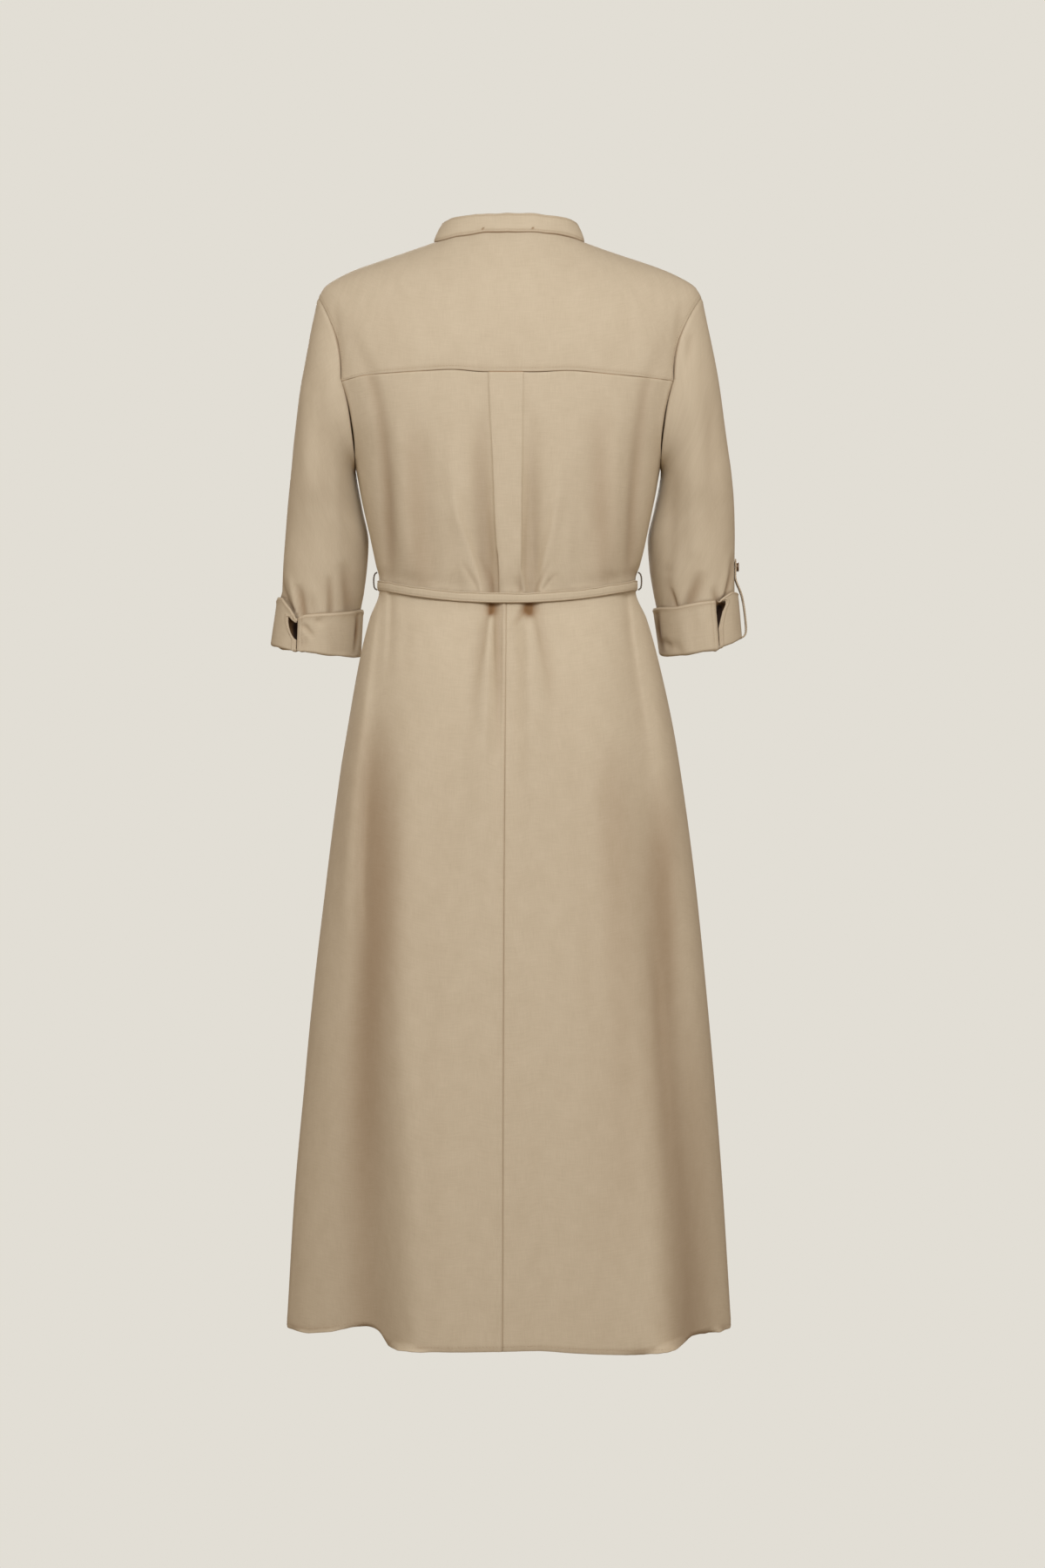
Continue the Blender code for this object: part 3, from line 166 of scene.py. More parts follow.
# Skirt folds: x at the waist, halfway and at the hem, then the depths there.
BACK_SKIRT_FOLDS = np.array((
    (-0.135, -0.19, -0.227, 0, 0.01, 0.027), (-0.13, -0.179, -0.21, 0.004, 0.03, 0.056),
    (-0.126, -0.169, -0.195, 0.004, 0.037, 0.06), (-0.12, -0.16, -0.1855, 0, 0.02, 0.02),
    (-0.108, -0.146, -0.174, -0.003, 0.001, -0.018), (-0.08, -0.113, -0.138, -0.002, -0.003, -0.011),
    (-0.04, -0.07, -0.085, 0.004, -0.001, -0.003), (-0.0232, -0.033, -0.042, -0.006, 0, 0),
    (-0.008, -0.012, -0.016, 0.006, 0.0005, 0.001), (0, 0, 0, 0.005, 0.0015, 0.001),
    (0.007, 0.012, 0.016, 0.004, 0.0005, 0.001), (0.017, 0.03, 0.04, -0.006, 0, 0),
    (0.03, 0.062, 0.07, 0.005, -0.001, -0.002), (0.076, 0.095, 0.096, -0.002, -0.003, 0),
    (0.106, 0.124, 0.115, -0.004, -0.002, 0.02), (0.12, 0.137, 0.125, -0.002, 0.016, 0.06),
    (0.127, 0.147, 0.136, 0.003, 0.041, 0.098), (0.131, 0.159, 0.156, 0.005, 0.034, 0.09),
    (0.134, 0.174, 0.19, 0.003, 0.018, 0.055), (0.136, 0.187, 0.224, 0, 0.008, 0.027),
))
FRONT_SKIRT_FOLDS = np.array((
    (-0.13, -0.178, -0.21, 0, 0.008, 0.025), (-0.118, -0.154, -0.175, 0.004, 0.022, 0.042),
    (-0.1, -0.13, -0.145, 0, 0.002, 0.004), (-0.074, -0.1, -0.118, -0.004, -0.006, -0.01),
    (-0.05, -0.07, -0.085, 0.005, 0.01, 0.018), (-0.03, -0.04, -0.046, -0.001, -0.001, -0.001),
    (-PLACKET_HALF, -PLACKET_HALF, -PLACKET_HALF, 0, 0, 0), (0, 0, 0, 0, 0, 0),
    (PLACKET_HALF, PLACKET_HALF, PLACKET_HALF, 0, 0, 0), (0.03, 0.042, 0.048, -0.001, -0.001, -0.001),
    (0.054, 0.076, 0.09, 0.005, 0.012, 0.02), (0.078, 0.106, 0.125, -0.004, -0.008, -0.012),
    (0.1, 0.132, 0.15, 0.001, 0.004, 0.008), (0.118, 0.154, 0.176, 0.004, 0.022, 0.046),
    (0.13, 0.176, 0.208, 0, 0.008, 0.024),
))
# Sleeve rings: z, distance of the outer and the inner edge, middle and half of the depth.
SLEEVES = {
    "left": np.array((
        (-0.252, 0.235, 0.1632, -0.022, 0.059), (-0.285, 0.2382, 0.1568, -0.031, 0.057),
        (-0.318, 0.2408, 0.1505, -0.036, 0.055), (-0.345, 0.2425, 0.152, -0.038, 0.0535),
        (-0.372, 0.244, 0.1552, -0.04, 0.052), (-0.395, 0.2452, 0.1595, -0.041, 0.051),
        (-0.438, 0.2512, 0.1612, -0.042, 0.0512),
    )),
    "right": np.array((
        (-0.252, 0.2417, 0.1645, -0.022, 0.059), (-0.285, 0.2442, 0.158, -0.031, 0.057),
        (-0.318, 0.2453, 0.1515, -0.036, 0.055), (-0.345, 0.2453, 0.1528, -0.038, 0.0535),
        (-0.372, 0.2453, 0.1565, -0.04, 0.052), (-0.395, 0.2462, 0.1612, -0.041, 0.051),
        (-0.438, 0.2515, 0.1668, -0.042, 0.0512),
    )),
}
# Turned-up cuffs: height and distance of the inner and outer side, at the top and at the fold.
CUFFS = {
    "left": {"top": (-0.393, -0.38, 0.1561, 0.25), "fold": (-0.4465, -0.429, 0.159, 0.2568)},
    "right": {"top": (-0.3925, -0.374, 0.1572, 0.2488), "fold": (-0.4475, -0.423, 0.164, 0.254)},
}
FRONT_BUTTON_Z = (-0.082, -0.15, -0.218, -0.286, -0.45, -0.535, -0.62, -0.705, -0.79)

# ---------------------------------------------------------------- sizes of the fine cloth
WALL = 0.0006                    # wall of a visible cloth panel
CELL = 0.0029                    # usual side of a grid cell
TUCK_REACH = 0.0045              # how far an edge runs on under its neighbour
TUCK_DROP = 0.0013               # and how deep it lies there
DEEP_CREASE = 0.010              # depth of a crease that has the whole shade
CREASE_SHADE = 0.30              # and that shade
CREASE_STEPS = 5                 # samples between two places of a crease
CREASE_REACH = 2.6               # widths beyond which a crease is left out
SWELL_WAVES = 9
ROUNDS = 30                      # rounds of a search for a place
STITCH_PITCH = 0.0031
RIM_PLACES = (0.0004, 0.0009, 0.0016)
# Lifts in millimetres of the neck edge, the collar's top and the yoke seam: (x, lift).
NECK_LIFT = (
    (-84, 0.5), (-80, 1.4), (-73, 3.6), (-63, 5.2), (-52, 5.8), (-38, 4.5), (-18, 2.8), (0, 2.9),
    (18, 2.6), (34, 2.6), (54, 3.2), (67, 1.8), (76, 0.8), (84, 0.3),
)
COLLAR_TOP_LIFT = (
    (-84, -1.5), (-80, 0.3), (-75, 2.2), (-70, 3.3), (-60, 3.7), (-50, 3.4), (-38, 3), (-18, 1), (0, 1.4),
    (18, 0.3), (30, 1), (42, 2.8), (54, 3.1), (64, 3.2), (70, 2.8), (76, 1), (82, -1),
)
YOKE_SEAM_WAVE = (
    (-180, -4.2), (-150, -2.4), (-110, 0), (-65, 3), (-25, 1.6), (20, 1.6), (60, 4.2), (85, 3.2),
    (120, 1.8), (150, 0.4), (175, -4),
)
BACKDROP_COLOUR = (0.76, 0.73, 0.665)


def mix(a: Values, b: Values, share: Values) -> Values:
    """Return the value that lies share of the way from a to b."""
    return a + (b - a) * share


def ease(t: Values) -> Values:
    """Return the smooth step from 0 to 1 for a number or an array."""
    t = np.clip(t, 0.0, 1.0)
    return t * t * (3 - 2 * t)


def bell(t: Values) -> Values:
    """Return the bell curve, 1 at 0 and fading on both sides."""
    return np.exp(-(t ** 2))


def power(value: Values, exponent: float) -> Values:
    """Return the power that keeps the sign."""
    return np.copysign(np.abs(value) ** exponent, value)


def unit(vectors: Array) -> Array:
    """Return the vectors with a length of 1."""
    return vectors / np.maximum(np.linalg.norm(vectors, axis=-1, keepdims=True), 1e-12)


def run_along(path: Array) -> Array:
    """Return how far along a path each of its points lies."""
    return np.concatenate(([0.0], np.cumsum(np.linalg.norm(np.diff(path, axis=0), axis=1))))


def curve_value(xs: Array, ys: Array, x: Values) -> Values:
    """Read the smooth curve through (xs, ys), which is level at turning points.

    Args:
        xs: Rising or falling places of the points.
        ys: Values there.
        x: Place or places to read.

    Returns:
        The values at x, in x's shape.
    """
    xs, ys = np.asarray(xs, float), np.asarray(ys, float)
    if xs[0] > xs[-1]:
        xs, ys = xs[::-1], ys[::-1]
    x = np.clip(x, xs[0], xs[-1])
    widths = np.diff(xs)
    steps = np.diff(ys) / widths
    product = steps[:-1] * steps[1:]
    total = np.where(product > 0, steps[:-1] + steps[1:], 1.0)
    slopes = np.concatenate(([steps[0]], np.where(product > 0, 2 * product / total, 0.0), [steps[-1]]))
    i = np.clip(np.searchsorted(xs, x, side="right") - 1, 0, len(xs) - 2)
    t = (x - xs[i]) / widths[i]
    low = (1 + 2 * t) * (1 - t) ** 2 * ys[i] + t * (1 - t) ** 2 * widths[i] * slopes[i]
    high = t * t * (3 - 2 * t) * ys[i + 1] + t * t * (t - 1) * widths[i] * slopes[i + 1]
    return low + high


def rounded(before: Values, here: Values, there: Values, after: Values, t: float) -> Values:
    """Return the rounded value between here and there, with their neighbours' slopes."""
    bend = here * 2 + (there - before) * t
    bend = bend + (2 * before - 5 * here + 4 * there - after) * t * t
    return (bend + (3 * here - before - 3 * there + after) * t ** 3) / 2


def smooth_path(points: list | Array, steps: int) -> Array:
    """Return a rounded path through the points, with steps samples for each span."""
    points = np.asarray(points, float)
    padded = np.vstack((points[:1], points, points[-1:]))
    path = [points[0]]
    for i in range(1, len(padded) - 2):
        for k in range(1, steps + 1):
            path.append(rounded(*padded[i - 1 : i + 3], k / steps))
    return np.array(path)


def spaced(start: float, end: float, steps: int, lean: float = 1.0) -> Array:
    """Return values from start to end; a lean over 1 crowds them near the start."""
    return mix(start, end, np.linspace(0, 1, steps + 1) ** lean)


# ---------------------------------------------------------------- the body's surface
@dataclass
class Section:
    """Plan section of the body at one height or at an array of heights."""

    left: Values
    right: Values
    back: Values
    front: Values
    square: Values

    @classmethod
    def at(cls, z: Values) -> "Section":
        """Return the section at height z."""
        return cls(*(curve_value(SECTIONS[:, 0], SECTIONS[:, k], z) for k in range(1, 6)))

    def angle_of(self, x: Values) -> Values:
        """Return the section angle, a quarter turn at the side, of a distance x."""
        width = np.where(np.asarray(x) >= 0, self.left, self.right)
        return np.copysign(np.arcsin(np.minimum(np.abs(x) / width, 1.0) ** (1 / self.square)), x)

    def point(self, face: int, angle: Values, push: Values) -> tuple[Values, Values]:
        """Return plan x and y for a face (1 back, -1 front), an angle and a fold depth."""
        width = np.where(np.asarray(angle) >= 0, self.left, self.right)
        depth = self.back if face > 0 else self.front
        x = width * np.copysign(np.abs(np.sin(angle)) ** self.square, angle)
        y = face * (depth * np.abs(np.cos(angle)) ** self.square - push)
        return x, y


def stack(x: Values, y: Values, z: Values) -> Array:
    """Return an array of points from three arrays of coordinates."""
    return np.stack(np.broadcast_arrays(x, y, z), axis=-1)


def waist_height(face: int, angle: Values) -> Values:
    """Return the waist seam's height, which drops towards the middle."""
    return WAIST_Z - (WAIST_DIP_BACK if face > 0 else WAIST_DIP_FRONT) * np.cos(angle) ** 2


def hem_height(angle: Values) -> Values:
    """Return the hem's height."""
    return HEM_Z + HEM_SIDE_RISE * np.sin(angle) ** 2


def held_in(z: Values) -> Values:
    """Return the share of a fold that the belt leaves at height z."""
    return 1 - BELT_PRESS * bell((z - WAIST_Z) / BELT_REACH)


def bodice_knots(folds: Array, z: Array) -> tuple[Array, Array]:
    """Return angles and depths of the bodice's folds, a row for each height."""
    z = z[:, None]
    share = (YOKE_Z - z) / (YOKE_Z - WAIST_Z)
    pushes = mix(folds[:, 2], folds[:, 3], ease(share)) * held_in(z)
    return Section.at(z).angle_of(mix(folds[:, 0], folds[:, 1], share)), pushes


def skirt_knots(folds: Array, z: Array) -> tuple[Array, Array]:
    """Return angles and depths of the skirt's folds, a row for each height."""
    heights = (WAIST_Z, MID_SKIRT_Z, HEM_Z)
    x = np.stack([curve_value(heights, fold[:3], z) for fold in folds], axis=1)
    pushes = np.stack([curve_value(heights, fold[3:], z) for fold in folds], axis=1)
    return Section.at(z[:, None]).angle_of(x), pushes * held_in(z)[:, None]


def columns_between(angles: Array, pushes: Array, counts: list[int]) -> tuple[Array, Array]:
    """Fill a row of folds with fine rounded columns.

    Args:
        angles: Fold angles, a row for each height.
        pushes: Fold depths, in the same shape.
        counts: Columns for each gap between two folds.

    Returns:
        Angles and depths of the fine columns.
    """
    padded = np.concatenate((pushes[:, :1], pushes, pushes[:, -1:]), axis=1)
    fine_angles, fine_pushes = [angles[:, 0]], [pushes[:, 0]]
    for i, count in enumerate(counts):
        for k in range(1, count + 1):
            t = k / count
            fine_angles.append(mix(angles[:, i], angles[:, i + 1], t))
            fine_pushes.append(rounded(*(padded[:, i + j] for j in range(4)), t))
    return np.stack(fine_angles, axis=1), np.stack(fine_pushes, axis=1)


def run_out(angles: Array, pushes: Array, edge: Array, steps: int) -> tuple[Array, Array]:
    """Add columns from the last fold to the panel's side edge, where the fold dies away."""
    t = np.arange(1, steps + 1) / steps
    more = mix(angles[:, -1:], edge[:, None], t)
    fading = pushes[:, -1:] * ease(1 - t)
    return np.concatenate((angles, more), axis=1), np.concatenate((pushes, fading), axis=1)


def side_folds(folds: Array, side: int) -> Array:
    """Return the folds of one side, from the middle out."""
    half = folds[folds[:, 0] * side >= 0]
    return half if side > 0 else half[::-1]


def gap_counts(places: Array, cell: float, fine_to: float = 0.0) -> list[int]:
    """Return the columns for each gap between folds, twice as many nearer the middle than fine_to."""
    middles = np.abs(places[1:] + places[:-1]) / 2
    cells = np.where(middles < fine_to, cell / 2, cell)
    return [max(2, round(abs(gap) / size)) for gap, size in zip(np.diff(places), cells)]


# ---------------------------------------------------------------- shoulders
def edge_x(face: int) -> float:
    """Return the armhole's distance from the middle at the yoke seam's level."""
    return EDGE_X_BACK if face > 0 else EDGE_X_FRONT


def shoulder_points(share: Values, signed_turn: Values) -> Array:
    """Return points of the arch over the shoulders.

    Args:
        share: -1 to 1 between the armholes.
        signed_turn: Arch angle, 0 on the ridge, positive at the back and negative in front.

    Returns:
        The points, in the arguments' common shape.
    """
    share, turn = np.broadcast_arrays(np.asarray(share, float), np.asarray(signed_turn, float))
    sizes = Section.at(YOKE_Z)
    sine = np.sin(np.abs(turn))
    at_back = turn >= 0
    x_low = share * np.where(at_back, EDGE_X_BACK, EDGE_X_FRONT)
    angle = sizes.angle_of(x_low)
    y_low = np.where(at_back, sizes.point(1, angle, 0.0)[1], sizes.point(-1, angle, 0.0)[1])
    x_top = share * np.where(share >= 0, TIP_LEFT, TIP_RIGHT)
    z_top = curve_value(RIDGE[:, 0], RIDGE[:, 1], np.abs(share) * TIP_LEFT)
    x = mix(x_top, x_low, sine ** 2)
    y = RIDGE_Y + (y_low - RIDGE_Y) * sine
    return stack(x, y, z_top - (z_top - YOKE_Z) * (1 - np.cos(turn)))


def neck_place(around: float) -> tuple[float, float]:
    """Return the share and signed turn where the neck edge crosses the arch.

    Args:
        around: Angle from the middle of the back.

    Returns:
        Share and signed turn.
    """
    x = NECK_HALF_WIDTH * math.sin(around) + NECK_SHIFT
    y = (NECK_BACK if math.cos(around) > 0 else NECK_FRONT) * math.cos(around)
    face = 1 if y >= RIDGE_Y else -1
    tip = TIP_LEFT if x >= 0 else TIP_RIGHT
    sizes = Section.at(YOKE_Z)
    share, turn = x / tip, 0.0
    for _ in range(ROUNDS):
        y_low = float(sizes.point(face, sizes.angle_of(share * edge_x(face)), 0.0)[1])
        turn = math.asin(min(max((y - RIDGE_Y) / (y_low - RIDGE_Y), 0.0), 1.0))
        share = x / mix(tip, edge_x(face), math.sin(turn) ** 2)
    return share, face * turn


def neck_points(angles: Array) -> Array:
    """Return points of the neck edge at angles from the middle of the back."""
    places = np.array([neck_place(float(around)) for around in np.ravel(angles)])
    return shoulder_points(places[:, 0], places[:, 1])


def neck_angle_at_seam(side: int) -> float:
    """Return the neck angle where a side's shoulder seam starts."""
    low, high = math.radians(90), math.radians(150)
    for _ in range(ROUNDS):
        middle = (low + high) / 2
        low, high = (middle, high) if neck_place(side * middle)[1] > SEAM_TURN else (low, middle)
    return low


SEAM_TURN = math.radians(SHOULDER_SEAM_DEG)
FRONT_SEAM_TURN = SEAM_TURN - math.radians(0.36)
NECK_SEAM_ANGLES = {side: neck_angle_at_seam(side) for side in SIDES.values()}


def armhole_angle(face: int, z: Values) -> Values:
    """Return the section angle at which a panel stops at the armhole."""
    start = float(Section.at(YOKE_Z).angle_of(edge_x(face)))
    t = np.minimum((YOKE_Z - z) / (YOKE_Z - UNDERARM_Z), 1.0)
    return mix(start, math.pi / 2, 1 - np.sqrt(1 - t * t))


def body_points(face: int, angle: Values, push: Values, z: Values, height: Values) -> Array:
    """Return points of the body: the section at z, set at the given height."""
    x, y = Section.at(z).point(face, angle, push)
    return stack(x, y, height)


# ---------------------------------------------------------------- cloth grids and creases
class Edge(Enum):
    """Edge of a cloth grid: its first and last row, its first and last column."""

    TOP = "top"
    BOTTOM = "bottom"
    START = "start"
    END = "end"


class Side(Enum):
    """Which side of a tube a crease lies on."""

    ANY = 0
    BACK = 1
    FRONT = -1


@dataclass(frozen=True)
class Crease:
    """Soft trough (+) or ridge (-) along a path over the cloth.

    path holds (x, z, depth) in millimetres, mostly from the top down. widths are the reach
    towards -x and +x of such a path. tone paints shade into its deepest part.
    """

    path: Table
    widths: tuple[float, float]
    side: Side = Side.ANY
    tone: float = 0.0

    def depths(self, across: Array, heights: Array) -> Array:
        """Return the depth in metres at every (across, height) place of a grid."""
        line = smooth_path(np.array(self.path) * MM, CREASE_STEPS)
        low, high = self.widths[0] * MM, self.widths[1] * MM
        reach = CREASE_REACH * max(low, high)
        near = ((across > line[:, 0].min() - reach) & (across < line[:, 0].max() + reach)
                & (heights > line[:, 1].min() - reach) & (heights < line[:, 1].max() + reach))
        result = np.zeros(across.shape)
        if not near.any():
            return result
        x, z = across[near], heights[near]
        best = np.full(x.shape, np.inf)
        offset, depth = np.zeros(x.shape), np.zeros(x.shape)
        for here, there in zip(line[:-1], line[1:]):
            run = there[:2] - here[:2]
            length = float(run @ run) + 1e-12
            t = np.clip(((x - here[0]) * run[0] + (z - here[1]) * run[1]) / length, 0, 1)
            dx, dz = x - here[0] - t * run[0], z - here[1] - t * run[1]
            apart = dx * dx + dz * dz
            closer = apart < best
            best = np.where(closer, apart, best)
            offset = np.where(closer, run[0] * dz - run[1] * dx, offset)
            depth = np.where(closer, mix(here[2], there[2], t), depth)
        width = np.where(offset < 0, low, high)
        result[near] = depth * np.exp(-best / width ** 2)
        return result


def creases(*rows: tuple[float, ...], side: Side = Side.ANY) -> tuple[Crease, ...]:
    """Return creases from rows of their two widths and tone, then x, z and depth of every place."""
    return tuple(Crease(tuple(zip(row[3::3], row[4::3], row[5::3])), row[:2], side, row[2]) for row in rows)


def on_side(wanted: tuple[Crease, ...], side: int) -> tuple[Crease, ...]:
    """Return the creases that start on one side of the dress."""
    return tuple(crease for crease in wanted if crease.path[0][0] * side > 0)


def swells(across: Array, heights: Array, size: float, height: float, seed: int) -> Array:
    """Return a gentle unevenness, the sum of slanting waves with seeded directions.

    Args:
        across: Horizontal places of a grid.
        heights: Heights of a grid.
        size: Usual distance between two swells.
        height: Their usual height.
        seed: Seed of the waves.
    """
    draw = np.random.default_rng(seed)
    total = np.zeros(across.shape)
    for _ in range(SWELL_WAVES):
        slant = draw.uniform(-1.1, 1.1)
        rate = 2 * math.pi / (size * draw.uniform(0.7, 1.6))
        wave = np.sin((across * math.cos(slant) + heights * math.sin(slant) * 0.6) * rate
                      + draw.uniform(0, 6.3))
        total += wave * draw.uniform(0.4, 1.0)
    return total * height / 3


@dataclass
class ClothGrid:
    """Grid of points of a cloth piece, its outer side outwards, with the shade painted into its colour at
    every point: in seam gaps, creases and hollows.
    """

    points: Array
    ring: bool = False
    shade: Array = field(default_factory=lambda: np.zeros(0))
    hidden: dict[Edge, int] = field(default_factory=dict)

    def __post_init__(self) -> None:
        """Give every point its shade."""
        if self.shade.size == 0:
            self.shade = np.zeros(self.points.shape[:2])

    def steps(self) -> tuple[Array, Array]:
        """Return the directions across and down the grid at every point."""
        if self.ring:
            across = np.roll(self.points, -1, axis=1) - np.roll(self.points, 1, axis=1)
        else:
            across = np.gradient(self.points, axis=1)
        return across, np.gradient(self.points, axis=0)

    def normals(self) -> Array:
        """Return the outward normal at every point."""
        return unit(np.cross(*self.steps()))

    def facing_from(self, *middle: float) -> "ClothGrid":
        """Turn the columns round if the cloth doesn't face away from this middle point."""
        if np.sum(self.normals() * (self.points - middle)) < 0:
            self.points = self.points[:, ::-1].copy()
            self.shade = self.shade[:, ::-1].copy()
        return self

    def press(self, depth: Array) -> None:
        """Push every point in by its own depth."""
        self.points = self.points - self.normals() * depth[..., None]

    def darken(self, shade: Array) -> None:
        """Raise the shade of the points that are lighter than this."""
        self.shade = np.maximum(self.shade, shade)

    def swell(self, size: float, height: float, seed: int, share: Values = 1.0) -> None:
        """Give the cloth a gentle unevenness, or a share of it."""
        self.press(swells(self.points[..., 0], self.points[..., 2], size, height, seed) * share)

    def crease(self, creases: tuple[Crease, ...], middle_y: float = 0.0, blur: float = 0.012) -> None:
        """Press in all the creases; deep ones also get a little shade.

        Args:
            creases: The creases.
            middle_y: Where a tube's back turns into its front.
            blur: How softly a crease ends there.
        """
        x, y, z = (self.points[..., k] for k in range(3))
        total, tone = np.zeros(x.shape), np.zeros(x.shape)
        back = ease((y - middle_y) / blur + 0.5)
        for crease in creases:
            share = {Side.ANY: 1.0, Side.BACK: back, Side.FRONT: 1 - back}[crease.side]
            depth = crease.depths(x, z) * share
            total += depth
            if crease.tone:
                tone += crease.tone * np.clip(depth / max(MM * place[2] for place in crease.path), 0, 1)
        self.press(total)
        self.darken(np.clip(total / DEEP_CREASE, 0, 1) * CREASE_SHADE + tone)

    def soften(self, mask: Array, times: int, axis: int = 1) -> None:
        """Smooth the points along their rows or columns, as strongly as a mask says."""
        for _ in range(times):
            ahead, behind = np.roll(self.points, -1, axis), np.roll(self.points, 1, axis)
            even = (self.points * 2 + ahead + behind) / 4
            even[[0, -1]] = self.points[[0, -1]]
            if not self.ring:
                even[:, [0, -1]] = self.points[:, [0, -1]]
            self.points = mix(self.points, even, mask[..., None])

    def distances(self, edge: Edge) -> Array:
        """Return each point's distance along its row or column from an edge."""
        axis = 0 if edge in (Edge.TOP, Edge.BOTTOM) else 1
        lengths = np.linalg.norm(np.diff(self.points, axis=axis), axis=2)
        pad = [(0, 0), (0, 0)]
        pad[axis] = (1, 0)
        run = np.pad(np.cumsum(lengths, axis=axis), pad)
        if edge in (Edge.BOTTOM, Edge.END):
            run = np.take(run, [-1], axis=axis) - run
        return run

    def refine(self, edge: Edge, places: tuple[float, ...] = RIM_PLACES) -> None:
        """Add rows or columns close to an edge, so that a narrow rim keeps its shape."""
        axis = 0 if edge in (Edge.TOP, Edge.BOTTOM) else 1
        first = edge in (Edge.TOP, Edge.START)
        rim_at, next_at = (0, 1) if first else (-1, -2)
        rim, near = (np.take(self.points, place, axis=axis) for place in (rim_at, next_at))
        rim_shade, near_shade = (np.take(self.shade, place, axis=axis) for place in (rim_at, next_at))
        gap = np.maximum(np.linalg.norm(near - rim, axis=1), 1e-6)
        wanted = [place for place in places if place < 0.8 * float(np.median(gap))]
        shares = [np.minimum(place / gap, (k + 1) / (len(wanted) + 1)) for k, place in enumerate(wanted)]
        shares = shares if first else shares[::-1]
        if not shares:
            return
        at = 1 if first else self.points.shape[axis] - 1
        added = np.stack([mix(rim, near, share[:, None]) for share in shares], axis=axis)
        dark = np.stack([mix(rim_shade, near_shade, share) for share in shares], axis=axis)
        for name, rows in (("points", added), ("shade", dark)):
            before, after = np.split(getattr(self, name), [at], axis=axis)
            setattr(self, name, np.concatenate((before, rows, after), axis=axis))

    def roll(self, edge: Edge, depth: float = 0.0006, width: float = 0.0025,
             ridge: float = 0.0, shade: float = 0.8, rim: float = 0.0006) -> None:
        """Round an edge inwards, with a light ridge behind it and shade at its very rim.

        Args:
            edge: The edge to round.
            depth: How far the rim is pressed in.
            width: How far the rounding reaches.
            ridge: Height of the ridge of seam allowance behind it.
            shade: Shade of the rim.
            rim: How far that shade reaches.
        """
        self.refine(edge)
        away = self.distances(edge)
        self.press(depth * bell(away / width)
                   - ridge * bell((away - 2.2 * width) / (1.3 * width)))
        self.darken(shade * bell(away / rim))

    def groove(self, edge: Edge, inset: float, depth: float = 0.00025, shade: float = 0.25,
               width: float = 0.0009) -> None:
        """Press a narrow line of stitching in at a distance from an edge, with painted shade along it."""
        line = bell((self.distances(edge) - inset) / width)
        self.press(depth * line)
        self.darken(shade * line)

    def tuck(self, edge: Edge, reach: float = TUCK_REACH, drop: float = TUCK_DROP,
             steps: int = 3, shade: float = 0.7) -> None:
        """Let the cloth run on under its neighbour beyond an edge.

        Args:
            edge: The edge to lengthen.
            reach: How far the cloth runs on.
            drop: How deep it lies there.
            steps: Rows or columns that are added.
            shade: Shade of the hidden part.
        """
        axis = 0 if edge in (Edge.TOP, Edge.BOTTOM) else 1
        first = edge in (Edge.TOP, Edge.START)
        rim = np.take(self.points, 0 if first else -1, axis=axis)
        inner = np.take(self.points, 2 if first else -3, axis=axis)
        normal = np.take(self.normals(), 0 if first else -1, axis=axis)
        away = unit(rim - inner)
        added = [rim + away * reach * k / steps - normal * drop * ease((k + 0.6) / steps)
                 for k in range(1, steps + 1)]
        dark = [np.full(rim.shape[0], shade)] * steps
        self.hidden[edge] = steps
        for name, rows in (("points", added), ("shade", dark)):
            parts = [getattr(self, name), np.stack(rows, axis=axis)]
            if first:
                parts = [np.flip(parts[1], axis=axis), parts[0]]
            setattr(self, name, np.concatenate(parts, axis=axis))

    def inset_line(self, edge: Edge, inset: float) -> tuple[Array, Array]:
        """Return points and normals of a line that runs at a distance from an edge."""
        away = self.distances(edge)
        normal = self.normals()
        across_rows = edge in (Edge.TOP, Edge.BOTTOM)
        points, outs = [], []
        for k in range(self.points.shape[1 if across_rows else 0]):
            run = away[:, k] if across_rows else away[k]
            line = self.points[:, k] if across_rows else self.points[k]
            out = normal[:, k] if across_rows else normal[k]
            order = np.argsort(run)
            points.append([np.interp(inset, run[order], line[order, j]) for j in range(3)])
            outs.append([np.interp(inset, run[order], out[order, j]) for j in range(3)])
        if self.ring and across_rows:
            points.append(points[0])
            outs.append(outs[0])
        return np.array(points), np.array(outs)

    def cut(self) -> tuple[tuple[float, float], float]:
        """Return the flat width and length of the cloth that shows, and its area, in metres."""
        rows, columns = self.points.shape[:2]
        grid = self.points[self.hidden.get(Edge.TOP, 0):rows - self.hidden.get(Edge.BOTTOM, 0),
                           self.hidden.get(Edge.START, 0):columns - self.hidden.get(Edge.END, 0)]
        if self.ring:
            grid = np.concatenate((grid, grid[:, :1]), axis=1)
        across = np.linalg.norm(np.diff(grid, axis=1), axis=2).sum(axis=1)
        down = np.linalg.norm(np.diff(grid, axis=0), axis=2).sum(axis=0)
        one, two = grid[1:, 1:] - grid[:-1, :-1], grid[1:, :-1] - grid[:-1, 1:]
        area = float(np.linalg.norm(np.cross(one, two), axis=2).sum() / 2)
        return (float(across.max()), float(down.max())), area


# ---------------------------------------------------------------- finishes
def socket(tree: bpy.types.NodeTree, name: str, way: str, kind: str,
           value: float | None = None) -> bpy.types.NodeTreeInterfaceSocket:
    """Add a named socket to a group's interface."""
    made = tree.interface.new_socket(name=name, in_out=way, socket_type=kind)
    if value is not None:
        made.default_value = value
    return made


def join(tree: bpy.types.NodeTree, *pairs) -> None:
    """Link pairs of output and input sockets."""
    for output, entry in pairs:
        tree.links.new(output, entry)


